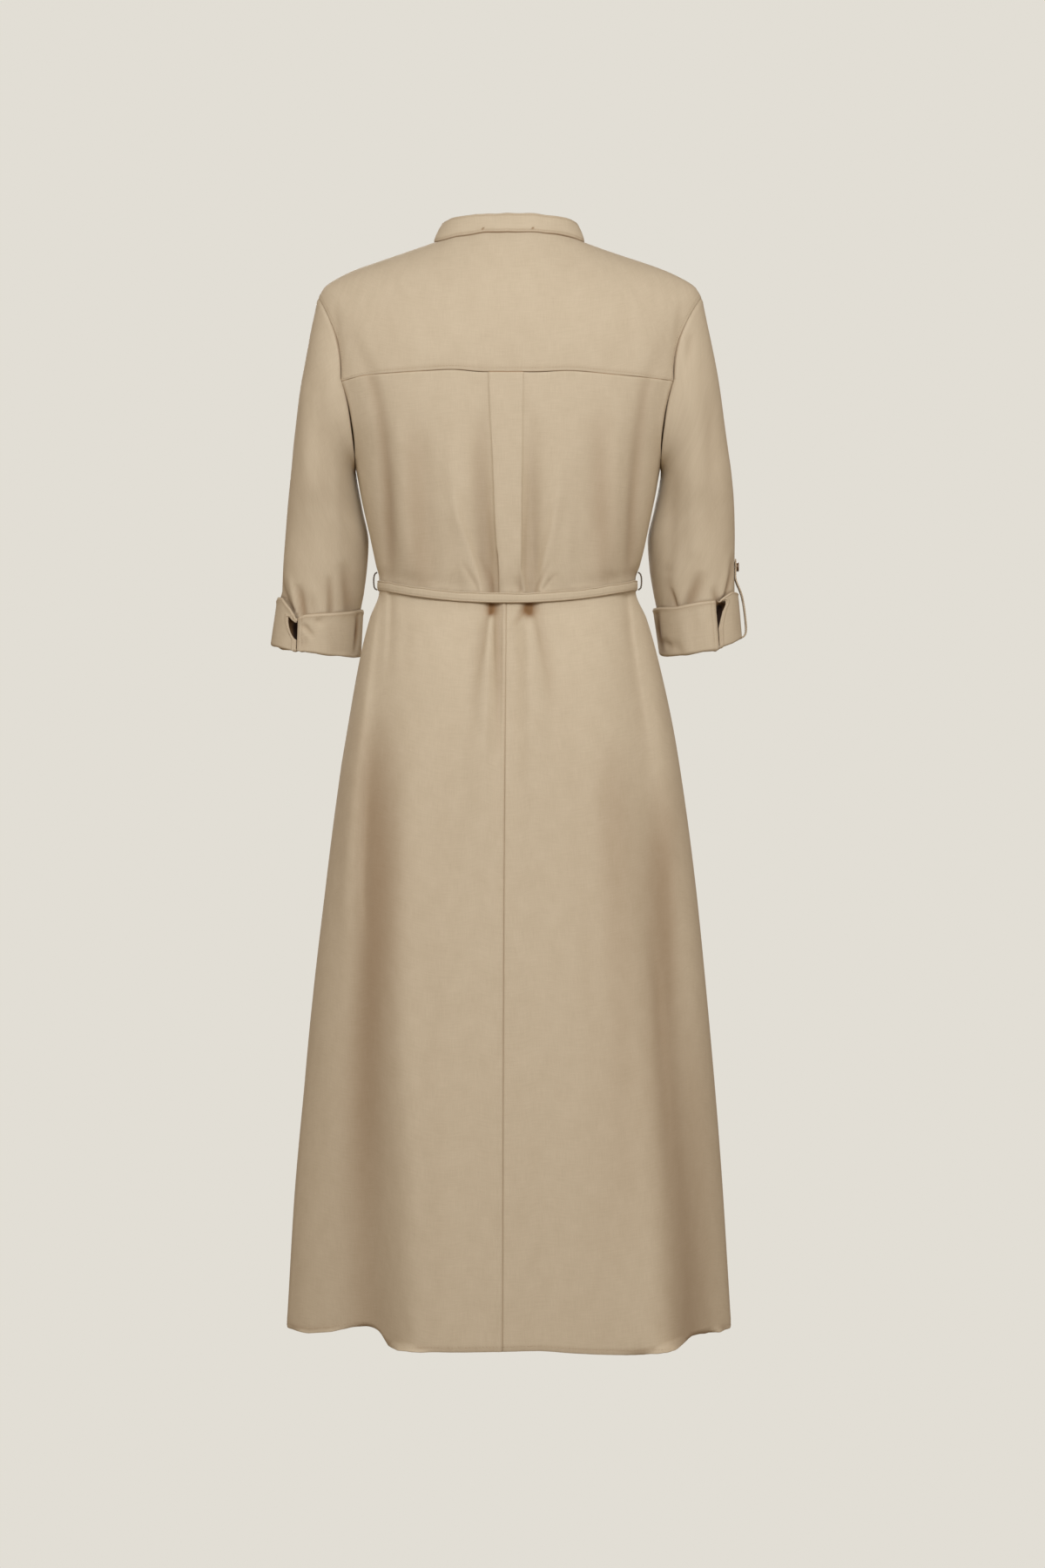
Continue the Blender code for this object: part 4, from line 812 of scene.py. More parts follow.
def maths(tree: bpy.types.NodeTree, operation: str, *values, clamp: bool = False) -> bpy.types.NodeSocket:
    """Add a Math node and return its output; values are numbers or output sockets."""
    node = tree.nodes.new("ShaderNodeMath")
    node.operation = operation
    node.use_clamp = clamp
    for place, value in enumerate(values):
        if isinstance(value, bpy.types.NodeSocket):
            tree.links.new(value, node.inputs[place])
        else:
            node.inputs[place].default_value = value
    return node.outputs[0]


def add_node(tree: bpy.types.NodeTree, kind: str, **values) -> bpy.types.Node:
    """Add a node with these values at its named inputs."""
    node = tree.nodes.new(kind)
    for name, value in values.items():
        node.inputs[name].default_value = value
    return node


def noise(tree: bpy.types.NodeTree, place, scale: float, detail: float) -> bpy.types.NodeSocket:
    """Add a noise texture and return its value."""
    node = add_node(tree, "ShaderNodeTexNoise", Scale=scale, Detail=detail)
    join(tree, (place, node.inputs["Vector"]))
    return node.outputs["Fac"]


def stretched(tree: bpy.types.NodeTree, place, scale: Place) -> bpy.types.NodeSocket:
    """Add a Mapping node that stretches a pattern and return its vector."""
    node = add_node(tree, "ShaderNodeMapping", Scale=scale)
    join(tree, (place, node.inputs["Vector"]))
    return node.outputs["Vector"]


def blend(tree: bpy.types.NodeTree, share, low, high: Place) -> bpy.types.NodeSocket:
    """Add a colour mix, from a low colour or output socket to a high colour, and return its colour."""
    node = tree.nodes.new("ShaderNodeMix")
    node.data_type = "RGBA"
    node.inputs["B"].default_value = (*high, 1)
    join(tree, (share, node.inputs["Factor"]))
    if isinstance(low, tuple):
        node.inputs["A"].default_value = (*low, 1)
    else:
        join(tree, (low, node.inputs["A"]))
    return node.outputs["Result"]


def bump(tree: bpy.types.NodeTree, height, strength: float, distance: float) -> bpy.types.NodeSocket:
    """Add a Bump node and return its normal."""
    node = add_node(tree, "ShaderNodeBump", Strength=strength, Distance=distance)
    join(tree, (height, node.inputs["Height"]))
    return node.outputs["Normal"]


def woven_group() -> bpy.types.NodeTree:
    """Return the group that weaves cloth: thread streaks, slubs, mottle and their height."""
    tree = bpy.data.node_groups.new("plain weave", "ShaderNodeTree")
    socket(tree, "Place", "INPUT", "NodeSocketVector")
    socket(tree, "Thread Pitch", "INPUT", "NodeSocketFloat", 0.0006)
    socket(tree, "Mottle", "INPUT", "NodeSocketFloat", 0.5)
    socket(tree, "Tone", "OUTPUT", "NodeSocketFloat")
    socket(tree, "Height", "OUTPUT", "NodeSocketFloat")
    source = tree.nodes.new("NodeGroupInput")
    sink = tree.nodes.new("NodeGroupOutput")
    place = source.outputs["Place"]
    warp = noise(tree, stretched(tree, place, (1500, 60, 1)), 1.0, 2.0)
    weft = noise(tree, stretched(tree, place, (70, 1400, 1)), 1.0, 2.0)
    slub = noise(tree, stretched(tree, place, (45, 420, 1)), 1.0, 3.0)
    mottle = noise(tree, stretched(tree, place, (60, 38, 1)), 1.0, 3.0)
    threads = maths(tree, "ADD", maths(tree, "MULTIPLY", warp, 0.42), maths(tree, "MULTIPLY", weft, 0.38))
    threads = maths(tree, "ADD", threads, maths(tree, "MULTIPLY", slub, 0.2))
    cloudy = maths(tree, "MULTIPLY", maths(tree, "SUBTRACT", mottle, 0.5), source.outputs["Mottle"])
    join(tree, (maths(tree, "ADD", threads, cloudy, clamp=True), sink.inputs["Tone"]))
    split = tree.nodes.new("ShaderNodeSeparateXYZ")
    join(tree, (place, split.inputs["Vector"]))
    turns = maths(tree, "DIVIDE", 2 * math.pi, source.outputs["Thread Pitch"])
    over = maths(tree, "SINE", maths(tree, "MULTIPLY", split.outputs["X"], turns))
    under = maths(tree, "SINE", maths(tree, "MULTIPLY", split.outputs["Y"], turns))
    weave = maths(tree, "MULTIPLY", over, under)
    weave = maths(tree, "MULTIPLY", weave, 0.25)
    rough = maths(tree, "ADD", weave, maths(tree, "MULTIPLY", threads, 0.9))
    join(tree, (rough, sink.inputs["Height"]))
    return tree


@dataclass(frozen=True)
class Finish:
    """Look of a material in two tones, made once."""

    name: str
    slot: str
    light: Place
    dark: Place

    def material(self) -> bpy.types.Material:
        """Return the finish's material, made once."""
        made = bpy.data.materials.get(self.name)
        if made is None:
            made = bpy.data.materials.new(self.name)
            made.use_nodes = True
            self.dress(made.node_tree, made.node_tree.nodes["Principled BSDF"].inputs)
        return made

    def dress(self, tree: bpy.types.NodeTree, shader: bpy.types.NodeInputs) -> None:
        """Add the nodes behind the shader's inputs."""
        raise NotImplementedError


@dataclass(frozen=True)
class ClothFinish(Finish):
    """Woven cloth: the colours of its painted shade in seam gaps and creases and of its deepest painted
    shade, how rough it is and how it shines.
    """

    # Colours of the painted shade: brown for seam gaps, creases and hollows, near black for the deepest
    # shade.
    seam: Place = (0.25, 0.14, 0.062)
    deep: Place = (0.03, 0.014, 0.007)
    roughness: float = 0.74
    sheen: float = 0.05
    relief: float = 0.22
    mottle: float = 0.35

    def dress(self, tree: bpy.types.NodeTree, shader: bpy.types.NodeInputs) -> None:
        """Weave the cloth and paint shade into its colour by the grid's shade: brown in seam gaps and
        creases, near black where it passes 1.
        """
        weave = tree.nodes.new("ShaderNodeGroup")
        weave.node_tree = bpy.data.node_groups.get("plain weave") or woven_group()
        weave.inputs["Mottle"].default_value = self.mottle
        place = tree.nodes.new("ShaderNodeUVMap")
        place.uv_map = "cloth"
        join(tree, (place.outputs["UV"], weave.inputs["Place"]))
        attribute = tree.nodes.new("ShaderNodeAttribute")
        attribute.attribute_name = "painted_shade"
        tone, shade = weave.outputs["Tone"], attribute.outputs["Fac"]
        contrast = maths(tree, "MULTIPLY_ADD", tone, 2.4, -0.7, clamp=True)
        colour = blend(tree, contrast, self.dark, self.light)
        # Painted shade: the shade attribute blends the colour towards brown up to 1, and towards near black
        # beyond 1.
        colour = blend(tree, maths(tree, "MULTIPLY", shade, 1.0, clamp=True), colour, self.seam)
        colour = blend(tree, maths(tree, "SUBTRACT", shade, 1.0, clamp=True), colour, self.deep)
        rough = maths(tree, "MULTIPLY_ADD", tone, -0.12, self.roughness + 0.06)
        normal = bump(tree, weave.outputs["Height"], self.relief, 0.0004)
        join(tree, (colour, shader["Base Color"]), (rough, shader["Roughness"]), (normal, shader["Normal"]))
        shader["Sheen Weight"].default_value = self.sheen
        shader["Sheen Roughness"].default_value = 0.45
        shader["Specular IOR Level"].default_value = 0.18


@dataclass(frozen=True)
class ThreadFinish(Finish):
    """Sewing thread: a twisted, slightly shiny line."""

    def dress(self, tree: bpy.types.NodeTree, shader: bpy.types.NodeInputs) -> None:
        """Twist the thread."""
        place = tree.nodes.new("ShaderNodeTexCoord")
        twist = noise(tree, place.outputs["Object"], 900.0, 2.0)
        contrast = maths(tree, "MULTIPLY_ADD", twist, 2.0, -0.5, clamp=True)
        colour = blend(tree, contrast, self.dark, self.light)
        rough, normal = maths(tree, "MULTIPLY_ADD", twist, 0.2, 0.5), bump(tree, twist, 0.3, 0.0003)
        join(tree, (colour, shader["Base Color"]), (rough, shader["Roughness"]), (normal, shader["Normal"]))


@dataclass(frozen=True)
class HornFinish(Finish):
    """Polished brown horn-like resin with darker streaks."""

    def dress(self, tree: bpy.types.NodeTree, shader: bpy.types.NodeInputs) -> None:
        """Streak and polish the resin."""
        place = tree.nodes.new("ShaderNodeTexCoord").outputs["Object"]
        streak = noise(tree, stretched(tree, place, (220, 220, 520)), 1.0, 4.0)
        fine = noise(tree, place, 1800.0, 2.0)
        contrast = maths(tree, "MULTIPLY_ADD", streak, 2.6, -0.8, clamp=True)
        colour = blend(tree, contrast, self.dark, self.light)
        rough, normal = maths(tree, "MULTIPLY_ADD", fine, 0.16, 0.22), bump(tree, fine, 0.05, 0.0002)
        join(tree, (colour, shader["Base Color"]), (rough, shader["Roughness"]), (normal, shader["Normal"]))
        shader["Coat Weight"].default_value = 0.25
        shader["Coat Roughness"].default_value = 0.15


DRESS_CLOTH = ClothFinish("sand cloth", "dress_cloth", (0.64, 0.55, 0.41), (0.56, 0.471, 0.338))
BELT_CLOTH_FINISH = ClothFinish("belt cloth", "belt_cloth", (0.632, 0.542, 0.402), (0.552, 0.464, 0.331),
                                mottle=0.25)
SEWING = ThreadFinish("sewing thread", "dress_cloth", (0.575, 0.462, 0.325), (0.43, 0.33, 0.215))
SEWING_ON_BELT = ThreadFinish("belt thread", "belt_cloth", (0.56, 0.45, 0.315), (0.42, 0.325, 0.212))
LOOP_THREAD = ThreadFinish("loop thread", "loop_thread", (0.15, 0.115, 0.078), (0.08, 0.058, 0.036))
HORN = HornFinish("brown horn resin", "buttons", (0.24, 0.14, 0.07), (0.085, 0.045, 0.022))


# ---------------------------------------------------------------- making pieces
def plain_object(name: str, mesh: bpy.types.Mesh) -> bpy.types.Object:
    """Return a new object of the scene with this mesh."""
    made = bpy.data.objects.new(name, mesh)
    bpy.context.scene.collection.objects.link(made)
    return made


def settle(piece: bpy.types.Object, finish: Finish, *nodes: str) -> None:
    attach(piece, "root")
    if nodes:
        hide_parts(*nodes)
    triangles = sum(len(face.vertices) - 2 for face in piece.data.polygons)
    LOG.info("%s: %d triangles before its wall", piece.name, triangles)


def grid_faces(rows: int, columns: int, ring: bool) -> Array:
    """Return the quads of a grid, a ring's last column meeting its first."""
    r, c = np.meshgrid(np.arange(rows - 1), np.arange(columns if ring else columns - 1), indexing="ij")
    d = (c + 1) % columns
    quads = (r * columns + c, r * columns + d, (r + 1) * columns + d, (r + 1) * columns + c)
    return np.stack([quad.ravel() for quad in quads], axis=1)


def cloth_mesh(name: str, grid: ClothGrid) -> bpy.types.Mesh:
    """Return a mesh of a grid with its UV map in metres and its painted shade as an attribute."""
    rows, columns = grid.points.shape[:2]
    faces = grid_faces(rows, columns, grid.ring)
    mesh = bpy.data.meshes.new(name)
    mesh.from_pydata(grid.points.reshape(-1, 3).tolist(), [], faces.tolist())
    points = np.concatenate((grid.points, grid.points[:, :1]), axis=1) if grid.ring else grid.points
    across = np.cumsum(np.linalg.norm(np.diff(points, axis=1), axis=2), axis=1)
    across = np.pad(across, ((0, 0), (1, 0)))
    down = np.cumsum(np.linalg.norm(np.diff(points, axis=0), axis=2), axis=0)
    down = np.pad(down, ((1, 0), (0, 0)))
    if not grid.ring:
        across = across - across[:, columns // 2][:, None]
    r, c = np.meshgrid(np.arange(rows - 1), np.arange(points.shape[1] - 1), indexing="ij")
    corners = ((r, c), (r, c + 1), (r + 1, c + 1), (r + 1, c))
    uv = [np.stack((across[i, j].ravel(), down[i, j].ravel()), axis=1) for i, j in corners]
    layer = mesh.uv_layers.new(name="cloth")
    layer.data.foreach_set("uv", np.stack(uv, axis=1).ravel())
    shade = mesh.attributes.new("painted_shade", "FLOAT", "POINT")
    shade.data.foreach_set("value", grid.shade.ravel().astype(np.float32))
    mesh.shade_smooth()
    return mesh


def hang_cloth(name: str, grid: ClothGrid, *rests_on: str, node: str = "", wall: float = WALL,
               finish: ClothFinish = DRESS_CLOTH, held: str = "hung") -> None:
    """Args:
        name: Name of the piece, without _cloth.
        grid: Its outer side, which is as large as its cut.
        rests_on: What it is sewn to; not used.
        node: The solid it stands for, if its name differs.
        wall: Thickness of the cloth.
        finish: Its cloth.
    """
    mesh = cloth_mesh(name + "_cloth", grid)
    mesh.materials.append(finish.material())
    piece = plain_object(mesh.name, mesh)
    solid = piece.modifiers.new("wall", "SOLIDIFY")
    solid.thickness = wall
    solid.offset = -1.0
    solid.use_rim = True
    settle(piece, finish, node or name)
    (width, length), area = grid.cut()
    width, length = (math.ceil(size * 1000) / 1000 for size in (width, length))
    area = math.floor(min(area, width * length) * 1e5) / 1e5
    LOG.info("%s: cut %.3f by %.3f m, %.5f square metres", piece.name, width, length, area)


def tube_mesh(name: str, path: Array, radius: float, sides: int = 8, twist: float = 0.0,
              lobes: int = 0, lobe_height: float = 0.0) -> bpy.types.Mesh:
    """Return a closed tube along a path, twisted like a cord when it has lobes."""
    path = np.asarray(path, float)
    along = unit(np.gradient(path, axis=0))
    up = np.array((0.0, 1.0, 0.0)) if abs(along[0][1]) < 0.9 else np.array((1.0, 0.0, 0.0))
    points = []
    for place, direction, length in zip(path, along, run_along(path)):
        one = unit(np.cross(direction, up))
        two = np.cross(direction, one)
        up = -two if np.dot(-two, up) > 0 else two
        for k in range(sides):
            turn = 2 * math.pi * k / sides
            wide = radius * (1 + lobe_height * math.cos(lobes * turn + twist * length))
            points.append(place + wide * (math.cos(turn) * one + math.sin(turn) * two))
    faces = grid_faces(len(path), sides, True).tolist()
    faces += [list(range(sides))[::-1], [len(points) - sides + k for k in range(sides)]]
    mesh = bpy.data.meshes.new(name)
    mesh.from_pydata([tuple(point) for point in points], [], faces)
    mesh.shade_smooth()
    turn_faces_out(mesh)
    return mesh


def turn_faces_out(mesh: bpy.types.Mesh, *ends: range) -> None:
    """Close a mesh with a face over each ring of points at its ends, and turn its faces outwards."""
    shape = bmesh.new()
    shape.from_mesh(mesh)
    shape.verts.ensure_lookup_table()
    for end in ends:
        shape.faces.new([shape.verts[k] for k in end])
    bmesh.ops.recalc_face_normals(shape, faces=shape.faces)
    shape.to_mesh(mesh)
    shape.free()


# ---------------------------------------------------------------- stitching
@cache
def stitch_tree() -> tuple[bpy.types.NodeTree, dict[str, str]]:
    """Build the Geometry Nodes tree that sews a stitch on every point, once.

    Returns:
        The tree and the identifier of each named input.
    """
    tree = bpy.data.node_groups.new("row of stitches", "GeometryNodeTree")
    sockets = {
        name: socket(tree, name, "INPUT", kind, value).identifier
        for name, kind, value in (
            ("Geometry", "NodeSocketGeometry", None),
            ("Stitch Length", "NodeSocketFloat", 0.0022),
            ("Stitch Width", "NodeSocketFloat", 0.0005),
            ("Stitch Height", "NodeSocketFloat", 0.0004),
            ("Thread", "NodeSocketMaterial", None),
        )
    }
    socket(tree, "Geometry", "OUTPUT", "NodeSocketGeometry")
    source, sink = tree.nodes.new("NodeGroupInput"), tree.nodes.new("NodeGroupOutput")
    ball = add_node(tree, "GeometryNodeMeshUVSphere", Segments=6, Rings=4, Radius=0.5)
    size = tree.nodes.new("ShaderNodeCombineXYZ")
    join(tree, (source.outputs["Stitch Length"], size.inputs["X"]),
         (source.outputs["Stitch Width"], size.inputs["Y"]),
         (source.outputs["Stitch Height"], size.inputs["Z"]))
    shaped = tree.nodes.new("GeometryNodeTransform")
    turned = None
    for axis, attribute in (("X", "along"), ("Z", "out")):
        direction = add_node(tree, "GeometryNodeInputNamedAttribute", Name=attribute)
        direction.data_type = "FLOAT_VECTOR"
        align = tree.nodes.new("FunctionNodeAlignRotationToVector")
        align.axis = axis
        align.pivot_axis = "AUTO" if turned is None else "X"
        join(tree, (direction.outputs["Attribute"], align.inputs["Vector"]))
        if turned is not None:
            join(tree, (turned, align.inputs["Rotation"]))
        turned = align.outputs["Rotation"]
    sewn = tree.nodes.new("GeometryNodeInstanceOnPoints")
    real = tree.nodes.new("GeometryNodeRealizeInstances")
    dressed = tree.nodes.new("GeometryNodeSetMaterial")
    join(
        tree,
        (ball.outputs["Mesh"], shaped.inputs["Geometry"]),
        (size.outputs["Vector"], shaped.inputs["Scale"]),
        (source.outputs["Geometry"], sewn.inputs["Points"]),
        (shaped.outputs["Geometry"], sewn.inputs["Instance"]),
        (turned, sewn.inputs["Rotation"]),
        (sewn.outputs["Instances"], real.inputs["Geometry"]),
        (real.outputs["Geometry"], dressed.inputs["Geometry"]),
        (source.outputs["Thread"], dressed.inputs["Material"]),
        (dressed.outputs["Geometry"], sink.inputs["Geometry"]),
    )
    return tree, sockets


@dataclass
class Sewing:
    """Rows of stitches, collected for one sub-assembly and sewn in one go."""

    name: str
    pitch: float = STITCH_PITCH
    length: float = 0.0023
    width: float = 0.00055
    height: float = 0.00045
    places: list[Array] = field(default_factory=list)
    alongs: list[Array] = field(default_factory=list)
    outs: list[Array] = field(default_factory=list)

    def row(self, line: tuple[Array, Array], start: float = 0.0, end: float = 1.0) -> None:
        """Add a row of stitches along points with normals, over a share of their length."""
        points, normals = line
        run = run_along(points)
        wanted = np.arange(run[-1] * start + self.pitch / 2, run[-1] * end, self.pitch)
        if wanted.size < 2:
            return
        spot = np.stack([np.interp(wanted, run, points[:, k]) for k in range(3)], axis=1)
        out = unit(np.stack([np.interp(wanted, run, normals[:, k]) for k in range(3)], axis=1))
        self.places.append(spot + out * 0.00002)
        self.alongs.append(np.gradient(spot, axis=0))
        self.outs.append(out)

    def topstitch(self, grid: ClothGrid, edge: Edge, inset: float, *groove: float,
                  start: float = 0.0, end: float = 1.0) -> None:
        """Press a groove in at a distance from an edge and add a row of stitches along it."""
        grid.groove(edge, inset, *groove)
        self.row(grid.inset_line(edge, inset), start, end)

    def sew(self, finish: ThreadFinish) -> None:
        """Turn the collected rows into one plain mesh of stitches."""
        tree, sockets = stitch_tree()
        mesh = bpy.data.meshes.new(self.name)
        mesh.from_pydata(np.concatenate(self.places).tolist(), [], [])
        for name, values in (("along", self.alongs), ("out", self.outs)):
            layer = mesh.attributes.new(name, "FLOAT_VECTOR", "POINT")
            layer.data.foreach_set("vector", np.concatenate(values).ravel().astype(np.float32))
        points = plain_object(self.name + "_points", mesh)
        sewing = points.modifiers.new("stitches", "NODES")
        sewing.node_group = tree
        for name, value in (("Stitch Length", self.length), ("Stitch Width", self.width),
                            ("Stitch Height", self.height), ("Thread", finish.material())):
            sewing[sockets[name]] = value
        bpy.context.view_layer.update()
        seen = points.evaluated_get(bpy.context.evaluated_depsgraph_get())
        made = bpy.data.meshes.new_from_object(seen)
        points.modifiers.clear()
        bpy.data.objects.remove(points)
        made.name = self.name
        made.shade_smooth()
        settle(plain_object(self.name, made), finish)


# ---------------------------------------------------------------- bodice
@dataclass
class Bodice:
    """Yoke, back with its box pleat, and the two fronts."""

    yoke_rows: int = 40
    yoke_arm_columns: int = 34
    yoke_back_columns: int = 96
    arm_rows: int = 32
    waist_rows: int = 54
    front_arch_rows: int = 52
    side_columns: int = 22
    stitch_inset: float = 0.0042
    stitches: Sewing = field(default_factory=lambda: Sewing("bodice_stitches"))
    yoke_creases: tuple[Crease, ...] = creases(
        (4, 5, 0, 184, -62, 0, 183, -80, 1.6, 182, -100, 2.2, 177, -128, 1.2, 174, -146, 0),
        (8, 9, 0, 168, -88, 0, 163, -108, 1, 155, -128, 1.8, 147, -148, 2.2),
        (5, 4, 0, -186, -62, 0, -184, -84, 1.5, -181, -110, 1.9, -178, -130, 1.2, -176, -147, 0.4),
        (8, 8, 0, -172, -90, 0, -166, -112, 0.8, -158, -132, 1.4, -151, -148, 1.8),
        (14, 12, 0, 120, -60, 0, 126, -90, 0.8, 128, -120, 0.8, 122, -146, 0.4),
        (13, 13, 0, -118, -64, 0, -124, -92, 0.7, -122, -126, 0.7, -114, -147, 0.2),
        (16, 16, 0, 40, -40, 0, 60, -80, -0.7, 64, -130, -0.5),
    )
    # Their tones paint shade into the troughs beside the pleat, down the sides, in broad soft bands and in
    # the small creases by the belt.
    back_creases: tuple[Crease, ...] = creases(
        (8.5, 6, 0.26, 147, -148, 2, 141, -166, 2.4, 135, -200, 2.8, 131, -245, 3.6, 129, -290, 4,
         127, -335, 3.2, 126, -366, 1),
        (7, 8, 0, 118, -170, 0, 113, -230, -1.4, 110, -300, -1.8, 106, -350, -0.6),
        (7, 8, 0, 94, -186, 0, 88, -240, 1.2, 84, -300, 1.5, 80, -362, 1),
        (5, 6, 0, 62, -230, 0, 54, -290, -2.2, 42, -330, -3.2, 31, -362, -3.4, 26, -384, -2.6),
        (8, 9, 0.22, 27, -180, 0, 28, -240, 2.6, 24.5, -300, 3.6, 20, -345, 4.6, 15.6, -386, 5.6),
        (2, 2, 0.1, 13, -330, 0, 11.5, -352, 1, 10.5, -384, 1.6),
        (7, 8, 0, 60, -300, 0, 55, -340, 1.6, 50, -380, 2),
        (6, 7.5, 0.22, -151, -148, 1.6, -146, -166, 2, -141, -205, 2.4, -137, -250, 3.2, -134, -295, 3.6,
         -133, -338, 3.2, -131, -366, 1),
        (7, 7, 0, -116, -180, 0, -115, -230, -1.3, -114, -300, -1.8, -113, -352, -0.8),
        (7, 7, 0, -94, -205, 0, -92, -255, 1.1, -91, -310, 1.5, -89, -368, 1),
        (6, 6, 0, -70, -280, 0, -66, -320, -0.9, -62, -368, -0.9),
        (8, 6.5, 0.12, -27, -180, 0, -26, -250, 2.4, -24.5, -310, 3.4, -24, -350, 4.4, -24, -386, 5.2),
        (13, 12, 0.24, 102, -190, 0, 99, -240, 0.3, 96, -310, 0.4, 90, -378, 0.4),
        (12, 11, 0.26, -96, -170, 0, -98, -240, 0.3, -101, -300, 0.4, -103, -378, 0.3),
        (2, 2.5, 0.2, 31, -330, 0, 23, -352, 1.2, 17.4, -371, 2, 16, -382, 1.6),
        (2.4, 2.4, 0.14, 51, -342, 0, 41, -357, 1.2, 33, -370, 1.5, 30, -382, 1.2),
        (2, 2, 0.18, -12.5, -348, 0, -14, -362, 1.4, -15, -376, 1.8),
        (2.4, 2, 0.18, -47, -343, 0, -38, -359, 1.2, -31, -371, 1.8, -29, -382, 1.4),
        (2, 2, 0.1, -56, -356, 0, -45, -365, 1, -38, -375, 1.2),
        (2.4, 2.4, 0, -24, -300, 0, -24, -330, -1.2, -24.5, -352, -1, -24.5, -372, 0),
        (6, 5, 0, -58, -240, 0, -50, -300, -2.2, -40, -345, -3.2, -34, -384, -2.8),
        (3, 2.4, 0, -14, -352, 0, -16, -364, -1.8, -19, -378, -1.6),
        (3, 2.4, 0.1, -9, -358, 0, -11, -370, 1.4, -14, -380, 1.6),
        (12, 12, 0, 60, -172, 0, 50, -215, 0.6, 46, -260, 0),
        (12, 12, 0, -48, -170, 0, -44, -215, 0.6, -50, -262, 0),
    )
    front_creases: tuple[Crease, ...] = creases(
        (7, 6, 0, 142, -150, 1.2, 134, -190, 2.4, 128, -250, 3, 122, -310, 3.4, 118, -360, 1.6),
        (7, 7, 0, 104, -210, 0, 98, -270, -1.5, 92, -330, -1.6, 88, -366, -0.4),
        (6, 7, 0, 72, -200, 0, 68, -270, 1.6, 63, -320, 2, 60, -366, 0.8),
        (5, 5, 0, 40, -250, 0, 38, -300, -1, 35, -360, -1.2),
        (6, 7, 0, -146, -150, 1, -139, -195, 2.2, -130, -255, 2.8, -125, -312, 3.2, -121, -360, 1.4),
        (7, 7, 0, -101, -220, 0, -97, -275, -1.4, -93, -330, -1.7, -90, -366, -0.4),
        (7, 6, 0, -70, -215, 0, -66, -275, 1.4, -62, -326, 1.9, -59, -366, 0.8),
        (5, 5, 0, -42, -262, 0, -39, -310, -1.1, -34, -360, -1.1),
    )

    def yoke_grid(self) -> ClothGrid:
        """Return the yoke's grid, from the neck edge to the armholes and the yoke seam."""
        corner = math.radians(YOKE_CORNER_DEG)
        arm = spaced(SEAM_TURN, math.pi / 2, self.yoke_arm_columns)
        outer_share = np.concatenate((np.ones(len(arm)), spaced(1, -1, self.yoke_back_columns)[1:],
                                      -np.ones(len(arm) - 1)))
        outer_turn = np.concatenate((arm, np.full(self.yoke_back_columns, math.pi / 2), arm[::-1][1:]))
        around = np.concatenate((
            spaced(NECK_SEAM_ANGLES[1], corner, self.yoke_arm_columns),
            spaced(corner, -corner, self.yoke_back_columns)[1:],
            spaced(-corner, -NECK_SEAM_ANGLES[-1], self.yoke_arm_columns)[1:],
        ))
        inner = np.array([neck_place(float(angle)) for angle in around])
        t = np.linspace(0, 1, self.yoke_rows + 1)[:, None]
        grid = ClothGrid(shoulder_points(mix(inner[:, 0], outer_share, t), mix(inner[:, 1], outer_turn, t)))
        grid.points = grid.points[:, ::-1].copy()
        grid.facing_from(0, 0, -0.3)
        x, y, z = (grid.points[..., k] for k in range(3))
        behind = ease((y - RIDGE_Y) / 0.02)
        total = sum(crease.depths(x, z) for crease in self.yoke_creases) * behind
        total = total + swells(x, z + y, 0.06, 0.00035, 11)
        grid.press(total)
        grid.darken(np.clip(total / DEEP_CREASE, 0, 1) * CREASE_SHADE)
        behind = ease((y - RIDGE_Y) / 0.03)
        near_neck = bell(grid.distances(Edge.TOP) / 0.022)
        behind_neck = ease((grid.points[:1, :, 1] - RIDGE_Y) / 0.02 + 0.3)
        grid.points[..., 2] += yoke_seam_lift(grid.points) * behind
        grid.points[..., 2] += lifted(NECK_LIFT, grid.points[:1, :, 0]) * near_neck * behind_neck
        grid.roll(Edge.BOTTOM, 0.0004, 0.0011, ridge=0.0002, shade=0.85, rim=0.0005)
        # The painted shade at the rim stays along the yoke seam and mostly fades where the edge rises along
        # the armholes.
        at_armhole = ease((grid.points[-1, :, 2] - YOKE_Z) / 0.02 - 0.3)
        grid.shade[-4:] *= 1 - 0.85 * at_armhole
        grid.roll(Edge.TOP, 0.0004, 0.0016, shade=0.4)
        grid.groove(Edge.BOTTOM, self.stitch_inset, 0.0002, 0.14, 0.0007)
        return grid

    def below_yoke(self, face: int, side: int, folds: Array, counts: list[int]) -> tuple[Array, Array]:
        """Return a panel between the yoke seam's level and the waist.

        Args:
            face: 1 for the back, which has both sides, -1 for a front.
            side: 1 for the wearer's left, -1 for the right.
            folds: The panel's folds, from its inner edge.
            counts: Columns for each gap between them.

        Returns:
            Its points and the section angles of its top row.
        """
        arm_z = spaced(YOKE_Z, UNDERARM_Z, self.arm_rows)
        t = (1 - spaced(0.0, 1.0, self.waist_rows, 1.25)[::-1])[1:]
        z = np.concatenate((arm_z, mix(UNDERARM_Z, WAIST_Z, t)))
        angles, pushes = columns_between(*bodice_knots(folds, z), counts)
        edge = np.concatenate((armhole_angle(face, arm_z), np.full(self.waist_rows, math.pi / 2)))
        angles, pushes = run_out(angles, pushes, side * edge, self.side_columns)
        if face > 0:
            angles, pushes = run_out(angles[:, ::-1], pushes[:, ::-1], -edge, self.side_columns)
        t = np.concatenate((np.zeros(len(arm_z)), t))[:, None]
        z = z[:, None]
        height = np.where(t > 0, mix(UNDERARM_Z, waist_height(face, angles) + HALF_SEAM, t), z)
        return body_points(face, angles, pushes, z, height), angles[0]

    def back_grid(self) -> ClothGrid:
        """Return the back bodice's grid, from the yoke seam to the waist."""
        counts = gap_counts(BACK_BODICE_FOLDS[:, 0], CELL, 0.05)
        return ClothGrid(self.below_yoke(1, 1, BACK_BODICE_FOLDS, counts)[0]).facing_from(0, 0, -0.25)

